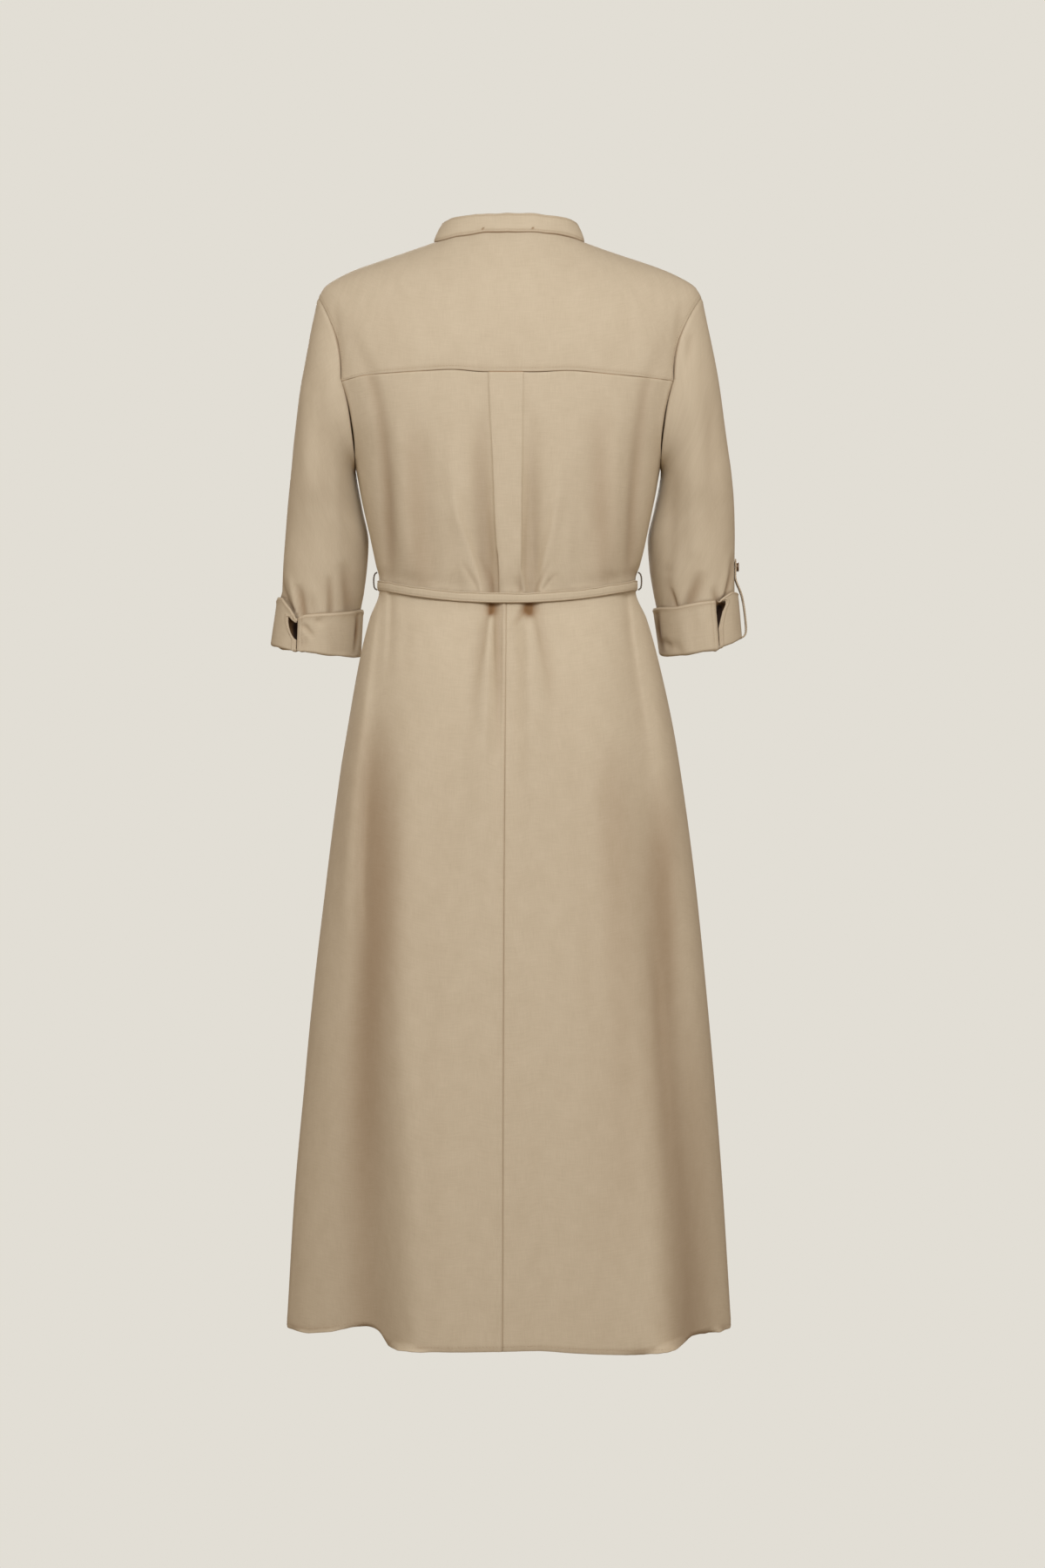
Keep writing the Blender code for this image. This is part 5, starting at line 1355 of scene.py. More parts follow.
    def front_grid(self, side: int) -> ClothGrid:
        """Return one front's grid, from the shoulder seam over the chest to the waist."""
        half = side_folds(FRONT_BODICE_FOLDS, side)
        body, angles = self.below_yoke(-1, side, half, gap_counts(half[:, 0], CELL * 1.5))
        low_share = Section.at(YOKE_Z).point(-1, angles, 0.0)[0] / EDGE_X_FRONT
        arch = front_arch(low_share, side, self.front_arch_rows)
        grid = ClothGrid(np.concatenate((arch[:-1], body)))
        grid.points[:, 0, 0] += side * HALF_SEAM
        return grid.facing_from(0, 0.02, -0.25)

    def build(self) -> None:
        """Make the yoke, the back and the fronts."""
        yoke = self.yoke_grid()
        hang_cloth("yoke", yoke, "wearer_shoulders")
        self.stitches.row(yoke.inset_line(Edge.BOTTOM, self.stitch_inset))
        back = self.back_grid()
        back.crease(self.back_creases)
        back.swell(0.045, 0.0004, 12)
        back.points[..., 2] += yoke_seam_lift(back.points)
        shade_by_belt(back, BELT_HEIGHT / 2 + 0.0002, 0.3)
        self.finish_edges(back, Edge.START, Edge.END)
        hang_cloth("back_bodice", back, "yoke_cloth")
        for name, side in SIDES.items():
            front = self.front_grid(side)
            front.crease(on_side(self.front_creases, side))
            front.swell(0.05, 0.0004, 13 + side, ease((np.abs(front.points[..., 0]) - 0.02) / 0.02))
            armhole = Edge.END if abs(front.points[-1, -1, 0]) > abs(front.points[-1, 0, 0]) else Edge.START
            self.finish_edges(front, armhole)
            hang_cloth(f"front_bodice_{name}", front, "yoke_cloth")
        self.stitches.sew(SEWING)

    def finish_edges(self, grid: ClothGrid, *sides: Edge) -> None:
        """Round the armhole and side edges and run the top and side edges on under the seams."""
        for edge in sides:
            grid.roll(edge, 0.0006, 0.0022, ridge=0.0006, shade=0.55)
        grid.roll(Edge.TOP, 0.0006, 0.001, shade=0.75, rim=0.0004)
        grid.tuck(Edge.TOP)


def shade_by_belt(grid: ClothGrid, above: float, strength: float) -> None:
    """Paint a thin, slightly scalloped line of shadow on the cloth beside the belt.

    Args:
        grid: The cloth.
        above: Height of the line over the middle of the belt, negative for below.
        strength: Its shade.
    """
    x, y, z = (grid.points[..., k] for k in range(3))
    width = float(Section.at(WAIST_Z).left)
    angle = np.arcsin(np.clip(x / width, -1, 1))
    line = np.where(y > 0, waist_height(1, angle), waist_height(-1, angle)) + above
    uneven = 0.75 + 0.25 * np.sin(x * 610) * np.sin(x * 233)
    reach = np.where((z - line) * above > 0, 0.0013, 0.001)
    grid.darken(strength * uneven * bell((z - line) / reach))


def lifted(table: Table, across: Array) -> Array:
    """Return heights in metres from a table of places and heights in millimetres."""
    places, heights = np.array(table).T * MM
    return curve_value(places, heights, np.clip(across, places[0], places[-1]))


def yoke_seam_lift(points: Array) -> Array:
    """Return how much higher or lower the gently wavering yoke seam makes each point."""
    near = bell((points[..., 2] - YOKE_Z) / 0.03)
    return lifted(YOKE_SEAM_WAVE, points[..., 0]) * near


def front_arch(low_share: Array, side: int, steps: int) -> Array:
    """Return the part of a front above the yoke seam's level, arched over the shoulder.

    Args:
        low_share: Shares of the columns at the yoke seam's level, from the middle out.
        side: 1 for the wearer's left, -1 for the right.
        steps: Rows.

    Returns:
        Rows of points, the last at the yoke seam's level.
    """
    front_angle = math.asin(PLACKET_HALF / NECK_HALF_WIDTH)
    seam_angle = NECK_SEAM_ANGLES[side]
    placket_share = PLACKET_HALF / EDGE_X_FRONT
    size = np.abs(low_share)
    top_share, top_turn = np.zeros(len(size)), np.zeros(len(size))
    seam_share = abs(neck_place(side * seam_angle)[0])
    for k, value in enumerate(size):
        if value <= placket_share:
            angle = math.pi - front_angle * value / placket_share
        else:
            part = (value - placket_share) / (FRONT_NECK_SHARE - placket_share)
            angle = mix(math.pi - front_angle, seam_angle, min(part, 1.0))
        share, turn = neck_place(side * angle)
        top_share[k], top_turn[k] = share, -abs(turn)
        if value >= FRONT_NECK_SHARE:
            beyond = (value - FRONT_NECK_SHARE) / (1.0 - FRONT_NECK_SHARE)
            top_share[k], top_turn[k] = side * mix(seam_share, 1.0, beyond), FRONT_SEAM_TURN
    top_turn = np.minimum(top_turn, FRONT_SEAM_TURN)
    t = np.linspace(0, 1, steps + 1)[:, None]
    return shoulder_points(mix(top_share, low_share, t), mix(top_turn, -math.pi / 2, t))


# ---------------------------------------------------------------- skirt
@dataclass
class Skirt:
    """Four flared panels, the back ones joined by a middle seam."""

    rows: int = 236
    crowding: float = 1.25
    side_columns: int = 24
    hem_turn: float = 0.0052
    hem_reach: float = 0.10
    soft_times: int = 60
    valleys: tuple[Table, ...] = (
        (
            (-0.4, 0.13, 0.005, 0.03, 0.03), (-0.58, 0.156, 0.02, 0.03, 0.028),
            (-0.75, 0.152, 0.026, 0.03, 0.034), (-0.95, 0.15, 0.03, 0.03, 0.038),
            (-1.17, 0.146, 0.032, 0.032, 0.042),
        ),
        (
            (-0.4, 0.145, 0, 0.03, 0.03), (-0.58, 0.166, 0.014, 0.03, 0.028),
            (-0.75, 0.176, 0.022, 0.03, 0.028), (-0.95, 0.184, 0.028, 0.032, 0.03),
            (-1.17, 0.193, 0.033, 0.038, 0.03),
        ),
    )
    hem_wave: Table = (
        (-210, 3), (-190, 4), (-178, 3.4), (-165, 1), (-152, -1.8), (-135, -3.2), (-100, -1.8),
        (-70, 0.4), (-34, 3.4), (0, 2.6), (50, 1.8), (100, 1.4), (124, 0.5), (133, 9.5), (144, 15),
        (158, 15), (172, 12), (195, 6.5), (212, 3),
    )
    seam_drift: Place = (0.001, 0.0036, 0.0048)
    seam_reach: float = 0.055
    stitches: Sewing = field(default_factory=lambda: Sewing("hem_stitches", pitch=0.0036))
    # Their tones paint shade: the most into the pockets under the belt, less into the creases that fan out
    # below them, and a softer shade into the broad side valleys.
    back_creases: tuple[Crease, ...] = creases(
        (6, 6, 1, 15.4, -374, 5, 15.4, -388, 5, 15.6, -397, 5),
        (7.4, 7.4, 1, -24, -374, 5, -24, -388, 5, -24, -397, 5),
        (5, 5, 0, 15, -400, -1.6, 15.5, -404, -1.4, 16, -410, 0),
        (6, 6, 0, -24, -400, -1.6, -24, -404, -1.4, -24, -410, 0),
        (5, 7, 0.08, 21.5, -393, 2, 24, -412, 2.4, 28, -440, 2, 32, -468, 1.2, 37, -515, 0),
        (5.5, 3, 0.26, 9.5, -393, 2, 9, -425, 2.2, 8, -470, 1.6, 7.5, -550, 0),
        (3, 3, 0.26, -18.5, -395, 2.4, -12, -405, 2, -6, -418, 0),
        (7, 4.5, 0.08, -30.5, -393, 2, -35, -414, 2.4, -40, -442, 2, -46, -475, 1, -52, -520, 0),
        (20, 18, 0.24, -104, -520, 0, -110, -600, 0.3, -114, -680, 0.3, -118, -800, 0.2,
         -122, -980, 0.15, -124, -1100, 0),
        (25, 22, 0.52, 142, -490, 0, 140, -580, 0.4, 137, -671, 0.5, 140, -763, 0.5, 147, -855, 0.45,
         150, -947, 0.4, 152, -1060, 0.25, 150, -1165, 0.25),
        (13, 24, 0.44, -162, -560, 0, -166, -620, 0.3, -166, -671, 0.5, -168, -763, 0.5, -168, -855, 0.4,
         -176, -960, 0.4, -184, -1060, 0.35, -188, -1165, 0.35),
        (18, 16, 0.22, -188, -780, 0, -195, -880, 0.3, -200, -960, 0.4, -206, -1165, 0.4),
        (7, 1.8, 0, 126, -372, 1.6, 126, -400, 2, 126.5, -432, 1.4, 128, -470, 0.4, 130, -500, 0),
        (5, 5, 0, 108, -388, 0, 106, -430, 1, 106, -470, 0),
        (2, 8, 0, -128, -372, 1.6, -132, -412, 2.2, -137, -452, 1.6, -146, -515, 1, -156, -585, 0),
        (8, 2.4, 0, 148, -520, 0, 150, -600, 2, 153, -680, 2.4, 149, -740, 0),
        (13, 13, 0, 100, -520, 0, 108, -620, -1.6, 112, -760, -2, 106, -960, -1.4, 100, -1165, -0.6),
        (14, 14, 0, 60, -480, 0, 70, -620, 1, 78, -820, 1.2, 80, -1165, 0.6),
        (15, 14, 0, -60, -470, 0, -72, -620, 1.2, -88, -840, 1.4, -100, -1165, 0.8),
        (13, 14, 0, -104, -520, 0, -118, -640, -1.4, -132, -840, -1.6, -142, -1165, -1),
        (4, 8, 0, -150, -720, 0, -160, -800, 1.6, -166, -900, 1.4, -172, -1010, 0),
        (3, 3, 0, -124, -742, 0, -128, -756, 0.9, -131, -772, 0),
        (2, 2, 0, 106, -770, 0, 102, -774, 0.8, 98, -772, 0),
        (9, 9, 0, 176, -560, 0, 178, -640, 1.2, 182, -760, 1, 186, -860, 0),
        (9, 9, 0, -176, -560, 0, -184, -660, 1.2, -192, -780, 0.9, -198, -880, 0),
    )
    front_creases: tuple[Crease, ...] = creases(
        (6, 7, 0, 52, -384, 1.6, 58, -440, 1.6, 66, -520, 0.9, 74, -620, 0),
        (6, 6, 0, 84, -384, 1.2, 92, -450, 1.3, 100, -560, 0),
        (6, 7, 0, 120, -384, 1.4, 128, -450, 1.6, 140, -560, 0.6, 150, -640, 0),
        (14, 14, 0, 100, -640, 0, 112, -820, -1.6, 124, -1000, -1.6, 134, -1165, -0.8),
        (7, 6, 0, -50, -384, 1.6, -56, -446, 1.5, -66, -530, 0.8, -73, -610, 0),
        (6, 6, 0, -86, -384, 1.2, -95, -456, 1.4, -104, -570, 0),
        (7, 6, 0, -121, -384, 1.4, -130, -452, 1.7, -143, -566, 0.5, -152, -650, 0),
        (14, 14, 0, -98, -640, 0, -110, -810, -1.5, -122, -990, -1.7, -131, -1165, -0.8),
    )

    def panel_grid(self, face: int, side: int, folds: Array) -> ClothGrid:
        """Return a panel's grid, from its middle edge to the side seam."""
        half = side_folds(folds, side)
        counts = gap_counts(half[:, 2], CELL * (1.1 if face > 0 else 1.9), 0.06 if face > 0 else 0.0)
        t = spaced(0.0, 1.0, self.rows, self.crowding)
        z = mix(WAIST_Z, HEM_Z, t)
        angles, pushes = columns_between(*skirt_knots(half, z), counts)
        edge = np.full(len(z), side * math.pi / 2)
        angles, pushes = run_out(angles, pushes, edge, self.side_columns)
        height = mix(waist_height(face, angles) - HALF_SEAM, hem_height(angles), t[:, None])
        grid = ClothGrid(body_points(face, angles, pushes, z[:, None], height))
        grid.points[:, 0, 0] += side * HALF_SEAM
        return grid.facing_from(0, 0, -0.8)

    def fill_valley(self, grid: ClothGrid, side: int) -> None:
        """Make a deep side fold wider and shallower, with a long slope towards the middle."""
        table = np.array(self.valleys[0 if side > 0 else 1])
        x, z = grid.points[..., 0], grid.points[..., 2]
        middle, lift, inner, outer = (curve_value(table[:, 0], table[:, k], z) for k in range(1, 5))
        away = np.abs(x) - middle
        away = away / np.where(away < 0, inner, outer)
        grid.points[..., 1] += lift * bell(away)
        grid.soften(np.exp(-((away / 2) ** 4)), self.soft_times)

    def build(self) -> None:
        """Make the four panels and sew their hem."""
        for face, word, folds, creases in ((1, "back", BACK_SKIRT_FOLDS, self.back_creases),
                                           (-1, "front", FRONT_SKIRT_FOLDS, self.front_creases)):
            for name, side in SIDES.items():
                self.make_panel(face, f"{word}_skirt_{name}", side, folds, creases)
        self.stitches.sew(SEWING)

    def make_panel(self, face: int, node: str, side: int, folds: Array,
                   creases: tuple[Crease, ...]) -> None:
        """Make one panel with its creases, hem and edges."""
        grid = self.panel_grid(face, side, folds)
        if face > 0:
            self.fill_valley(grid, side)
            near_hem = np.exp((HEM_Z - grid.points[..., 2]) / self.hem_reach)
            grid.points[..., 2] += lifted(self.hem_wave, grid.points[..., 0]) * near_hem
        grid.crease(on_side(creases, side))
        x, z = grid.points[..., 0], grid.points[..., 2]
        quiet = ease((np.abs(x) - 0.012) / 0.03)
        grid.press(swells(x, z * 0.35, 0.07, 0.0007, 31 + side + 3 * face) * quiet)
        if face > 0:
            drift = curve_value((WAIST_Z, MID_SKIRT_Z, HEM_Z), self.seam_drift, z)
            grid.points[..., 0] += drift * bell(x / self.seam_reach)
        middle = Edge.END if abs(grid.points[-1, -1, 0]) < abs(grid.points[-1, 0, 0]) else Edge.START
        outer = Edge.START if middle is Edge.END else Edge.END
        shade_by_belt(grid, -BELT_HEIGHT / 2 - 0.0002, 0.35)
        pucker = 0.00035 * np.sin(grid.points[..., 0] * 520) * np.sin(grid.points[..., 0] * 143)
        grid.press(pucker * bell(grid.distances(Edge.BOTTOM) / 0.012))
        grid.roll(outer, 0.0006, 0.0022, ridge=0.0004, shade=0.5)
        grid.roll(Edge.BOTTOM, 0.0007, 0.0016, shade=0.25)
        self.stitches.topstitch(grid, Edge.BOTTOM, self.hem_turn, 0.0004, 0.3, 0.0011)
        if face > 0 and side > 0:
            grid.roll(middle, 0.0006, 0.0012, ridge=0.0008, shade=0.28)
        else:
            grid.roll(middle, 0.0006, 0.001, shade=0.38, rim=0.0004)
            grid.tuck(middle)
        if face < 0:
            grid.tuck(outer, 0.0035)
        carrier = "back_bodice_cloth" if face > 0 else "front_bodice_" + node.rsplit("_", 1)[1] + "_cloth"
        hang_cloth(node, grid, carrier)


# ---------------------------------------------------------------- sleeves
@dataclass
class Sleeve:
    """Rolled-up sleeve: its tube, its turned-up cuff and the tab that holds it."""

    name: str
    head_rows: int = 44
    ring_rows: int = 110
    arm_columns: int = 26
    turn_columns: int = 26
    middle_y: float = -0.03
    cuff_middle_y: float = -0.041
    soft_rows: float = 14.0
    soft_times: int = 90
    tube_creases: tuple[Crease, ...] = ()
    cuff_creases: tuple[Crease, ...] = ()
    slit_edge: Table = ()
    top_lift: Table = ()
    fold_lift: Table = ()
    slit_turn: float = 0.0
    tab_below: float = 0.0052
    tab_inset: float = 0.0022
    tab_wall: float = 0.0012
    tab_columns: int = 15
    tab_steps: int = 9
    cuff_inset: float = 0.0032
    cuff_wall: float = 0.0009
    cuff_columns: int = 200
    cuff_rows: int = 34
    fold_rows: int = 7
    slit_insets: tuple[float, float] = (0.0024, 0.0062)
    stitches: Sewing | None = None

    def __post_init__(self) -> None:
        """Set the side and start the sewing."""
        self.side = SIDES[self.name]
        self.stitches = Sewing(f"sleeve_{self.name}_stitches", pitch=0.0028, length=0.0021)

    def sizes(self, z: Values) -> tuple[Values, ...]:
        """Return outer and inner distance, middle and half depth of the ring at height z."""
        table = SLEEVES[self.name]
        return tuple(curve_value(table[:, 0], table[:, k], z) for k in range(1, 5))

    def ring_points(self, around: Values, z: Values) -> Array:
        """Return points of the sleeve's ring; around is 0 at the inner edge, and grows by the back."""
        outer, inner, middle_y, half_y = self.sizes(z)
        x = self.side * ((outer + inner) / 2 - (outer - inner) / 2 * np.cos(around))
        return stack(x, middle_y + half_y * power(np.sin(around), RING_POWER), z)

    def armhole(self) -> Array:
        """Return the armhole from the underarm up the back, over the top and down the front."""
        arm_z = spaced(YOKE_Z, UNDERARM_Z, self.arm_columns)
        up, down = arm_z[::-1], arm_z[1:-1]
        back = body_points(1, self.side * armhole_angle(1, up), 0.0, up, up)
        over = shoulder_points(self.side, spaced(SEAM_TURN, math.pi / 2, self.turn_columns)[::-1][1:])
        fore = shoulder_points(self.side, spaced(FRONT_SEAM_TURN, -math.pi / 2, self.turn_columns)[1:])
        front = body_points(-1, self.side * armhole_angle(-1, down), 0.0, down, down)
        return np.concatenate((back, over, fore, front))

    def cuff_height(self, edge: str, around: Values) -> Values:
        """Return the height of the cuff's top or fold, higher on the outer side."""
        z_inner, z_outer = CUFFS[self.name][edge][:2]
        outward = (1 - np.cos(around)) / 2
        turns, lifts = np.array(self.top_lift if edge == "top" else self.fold_lift).T
        lift = np.interp(np.degrees(around) % 360, turns, lifts * MM)
        return mix(z_inner, z_outer, outward if edge == "top" else outward ** CUFF_SAG) + lift

    def turns(self, points: Array) -> Array:
        """Return how far round the sleeve's ring points lie, from its inner edge by the back."""
        table = SLEEVES[self.name]
        heights = np.clip(points[..., 2], table[:, 0].min(), table[:, 0].max())
        outer, inner, middle_y, _ = self.sizes(heights)
        inwards = ((outer + inner) / 2 - self.side * points[..., 0]) / ((outer - inner) / 2)
        around = np.arccos(np.clip(inwards, -1, 1))
        return np.where(points[..., 1] < middle_y, 2 * math.pi - around, around)

    def tube_grid(self) -> ClothGrid:
        """Return the sleeve's grid, from the armhole down into the cuff."""
        loop = self.armhole()
        gaps = np.linalg.norm(np.roll(loop, -1, axis=0) - loop, axis=1)
        around = 2 * math.pi * np.concatenate(([0.0], np.cumsum(gaps)[:-1])) / gaps.sum()
        head_z = SLEEVES[self.name][0, 0]
        first = self.ring_points(around, head_z)
        drop = np.linalg.norm(loop - first, axis=1)[:, None]
        outward = ((1 - np.cos(around)) / 2)[:, None]
        turn = around[:, None]
        zero = np.zeros_like(turn)
        across = SLEEVE_HEAD_SPREAD * np.sin(turn) ** 2 + SLEEVE_TOP_SPREAD * outward
        lead = np.concatenate((self.side * across, SLEEVE_HEAD_SWING * np.sin(turn), zero - 1), axis=1)
        lead = unit(lead)
        fall = unit(np.concatenate((self.side * SLEEVE_FALL_SPREAD * outward, zero, zero - 1), axis=1))
        pull = np.minimum(drop * SLEEVE_PULL_SHARES[0], SLEEVE_HEAD_PULL + drop * SLEEVE_PULL_SHARES[1])
        rows = []
        for t in spaced(0.0, 1.0, self.head_rows, 1.2)[:-1]:
            row = loop * ((1 + 2 * t) * (1 - t) ** 2) + lead * (pull * t * (1 - t) ** 2)
            row = row + first * (t * t * (3 - 2 * t)) - fall * (drop * t * t * (1 - t))
            lift = 2 * SEAM * ease(1 - t * 8)
            rows.append(row + lead * lift + np.array((self.side * lift / 2, 0.0, 0.0)))
        bottom = self.cuff_height("fold", around) + SLEEVE_BOTTOM_RISE
        for t in spaced(0.0, 1.0, self.ring_rows):
            rows.append(self.ring_points(around, mix(head_z, bottom, t)))
        return ClothGrid(np.array(rows), ring=True).facing_from(self.side * 0.2, self.middle_y, -0.3)

    def cuff_points(self, around: Values, share: float) -> Array:
        """Return points of the turned-up cuff; share is 0 at its top and 1 at its fold."""
        top, fold = CUFFS[self.name]["top"], CUFFS[self.name]["fold"]
        inner, outer = mix(top[2], fold[2], share), mix(top[3], fold[3], share)
        z = mix(self.cuff_height("top", around), self.cuff_height("fold", around), share)
        x = self.side * ((outer + inner) / 2 - (outer - inner) / 2 * np.cos(around))
        y = self.sizes(z)[2] + mix(*CUFF_HALF_Y, share) * power(np.sin(around), RING_POWER)
        return stack(x, y, z)

    def cuff_grid(self) -> ClothGrid:
        """Return the cuff's grid, from its top edge down, round its fold and up inside."""
        slit = math.pi - math.radians(CUFF_SLIT_DEG[self.name])
        closed = math.radians(CUFF_SLIT_CLOSED_DEG)
        places, turned_back = np.array(self.slit_edge).T
        columns = np.linspace(0, 1, self.cuff_columns) ** 1.15
        rows = []
        for share in spaced(0.0, CUFF_ROUNDED, self.cuff_rows):
            end = slit + math.radians(self.slit_turn * share)
            start = end + math.radians(float(np.interp(share, places, turned_back))) - 2 * math.pi
            rows.append(self.cuff_points(mix(start, end - closed, columns), share))
        end = slit + math.radians(self.slit_turn)
        turns = mix(end + closed - 2 * math.pi, end - closed, columns)
        last, low = rows[-1], self.cuff_points(turns, 1.0)
        under = self.ring_points(turns, self.cuff_height("fold", turns))
        for t in spaced(0.0, 1.0, self.fold_rows)[1:]:
            rows.append(last * (1 - t) ** 2 + low * (2 * t * (1 - t)) + under * t * t)
        return ClothGrid(np.array(rows)).facing_from(self.side * 0.205, self.cuff_middle_y, -0.42)

    def build(self) -> None:
        """Make the tube, then the cuff and the tab."""
        tube = self.tube_grid()
        x, z = tube.points[..., 0], tube.points[..., 2]
        quiet = ease(tube.distances(Edge.TOP) / 0.03)
        row = np.arange(len(tube.points))[:, None] - self.head_rows
        tube.soften(bell(row / self.soft_rows) * np.ones(x.shape), self.soft_times, axis=0)
        tube.crease(self.tube_creases, self.middle_y)
        tube.press(swells(x, z, 0.042, 0.0007, 51 + self.side) * quiet)
        tube.roll(Edge.TOP, 0.0004, 0.0016, ridge=0.0003, shade=0.5)
        # A thin line of painted shadow on the sleeve just above the cuff's top edge.
        over_cuff = tube.points[..., 2] - self.cuff_height("top", self.turns(tube.points))
        tube.darken(0.5 * bell(over_cuff / 0.0016))
        # The painted shade at the armhole seam fades out high on the shoulder.
        low = ease((YOKE_Z + 0.04 - tube.points[0, :, 2]) / 0.05)
        tube.shade[:4] *= 0.15 + 0.85 * low
        tube.tuck(Edge.TOP, 0.004, 0.0018, shade=0.45)
        hang_cloth(f"sleeve_{self.name}", tube, "yoke_cloth", "back_bodice_cloth",
                   f"front_bodice_{self.name}_cloth")
        self.build_cuff()
        self.build_tab()
        self.stitches.sew(SEWING)

    def build_cuff(self) -> None:
        """Make the turned-up cuff with its stitched edges."""
        cuff = self.cuff_grid()
        cuff.crease(self.cuff_creases, self.cuff_middle_y)
        cuff.swell(0.034, 0.0005, 61 + self.side)
        for edge in (Edge.START, Edge.END):
            cuff.roll(edge, 0.0005, 0.0016, ridge=0.0009, shade=0.45)
        cuff.roll(Edge.TOP, 0.0004, 0.0014, ridge=0.0007, shade=0.35)
        self.stitches.topstitch(cuff, Edge.TOP, self.cuff_inset)
        for edge in (Edge.START, Edge.END):
            for inset in self.slit_insets:
                self.stitches.topstitch(cuff, edge, inset, 0.0002, 0.2, end=0.78)
        carrier = f"sleeve_{self.name}_cloth"
        hang_cloth(f"cuff_{self.name}", cuff, carrier, wall=self.cuff_wall, held="folded")

    def build_tab(self) -> None:
        """Make the roll tab and its button."""
        around = math.pi + math.radians(TAB_TURN_DEG[self.name])
        outer, inner, _, half_y = self.sizes(TAB_BUTTON_Z)
        half_x = (outer - inner) / 2
        out = unit(np.array((-self.side * math.cos(around) * half_y, math.sin(around) * half_x, 0.0)))
        over, bulge = TAB_CLOTH + 2 * SEAM, TAB_BULGE[self.name]
        fold = self.cuff_points(around, 1.0)

        def on_sleeve(z: float) -> Array:
            """Return a point of the tab where it lies on the sleeve."""
            return self.ring_points(around, z) + out * over

        def on_cuff(share: float, off: float) -> Array:
            """Return a point of the tab where it lies on the cuff."""
            return self.cuff_points(around, share) + out * (over + off)

        def under_fold(inwards: float, below: float) -> Array:
            """Return a point of the tab where it turns under the cuff."""
            return fold - out * inwards - np.array((0, 0, below))

        inside = self.ring_points(around, float(fold[2]) + TAB_REACH_INSIDE) - out * 4 * over
        path = smooth_path([
            on_sleeve(TAB_BUTTON_Z + TAB_POINT),
            on_sleeve(TAB_BUTTON_Z),
            on_sleeve(TAB_BUTTON_Z - TAB_POINT * 1.5),
            on_cuff(0.04, bulge * 0.7),
            on_cuff(0.5, bulge),
            on_cuff(0.88, bulge * 0.6 + SEAM),
            under_fold(0.003, self.tab_below),
            under_fold(0.0115, 0.0014),
            inside,
        ], self.tab_steps)
        across = np.array((out[1], -out[0], 0.0))
        offsets = np.linspace(-1, 1, self.tab_columns)
        rows = []
        for place, length in zip(path, run_along(path)):
            row = place + across * (offsets * (TAB_WIDTH / 2))[:, None]
            row[:, 2] -= (TAB_POINT / 2) * np.abs(offsets) * max(0.0, 1 - length / 0.012)
            rows.append(row)
        grid = ClothGrid(np.array(rows)).facing_from(*(path[len(path) // 4] - out * 0.02))
        for edge in (Edge.START, Edge.END, Edge.TOP):
            grid.roll(edge, 0.0004, 0.001, shade=0.25)
            self.stitches.topstitch(grid, edge, self.tab_inset, 0.0002, 0.25, 0.0006, start=0.03, end=0.97)
        carrier = f"sleeve_{self.name}_cloth"
        hang_cloth(f"sleeve_tab_{self.name}", grid, carrier, wall=self.tab_wall, held="folded")
        seat = on_sleeve(TAB_BUTTON_Z) + out * SEAM
        make_button(f"tab_button_{self.name}", seat, out, SLEEVE_BUTTON_RADIUS)


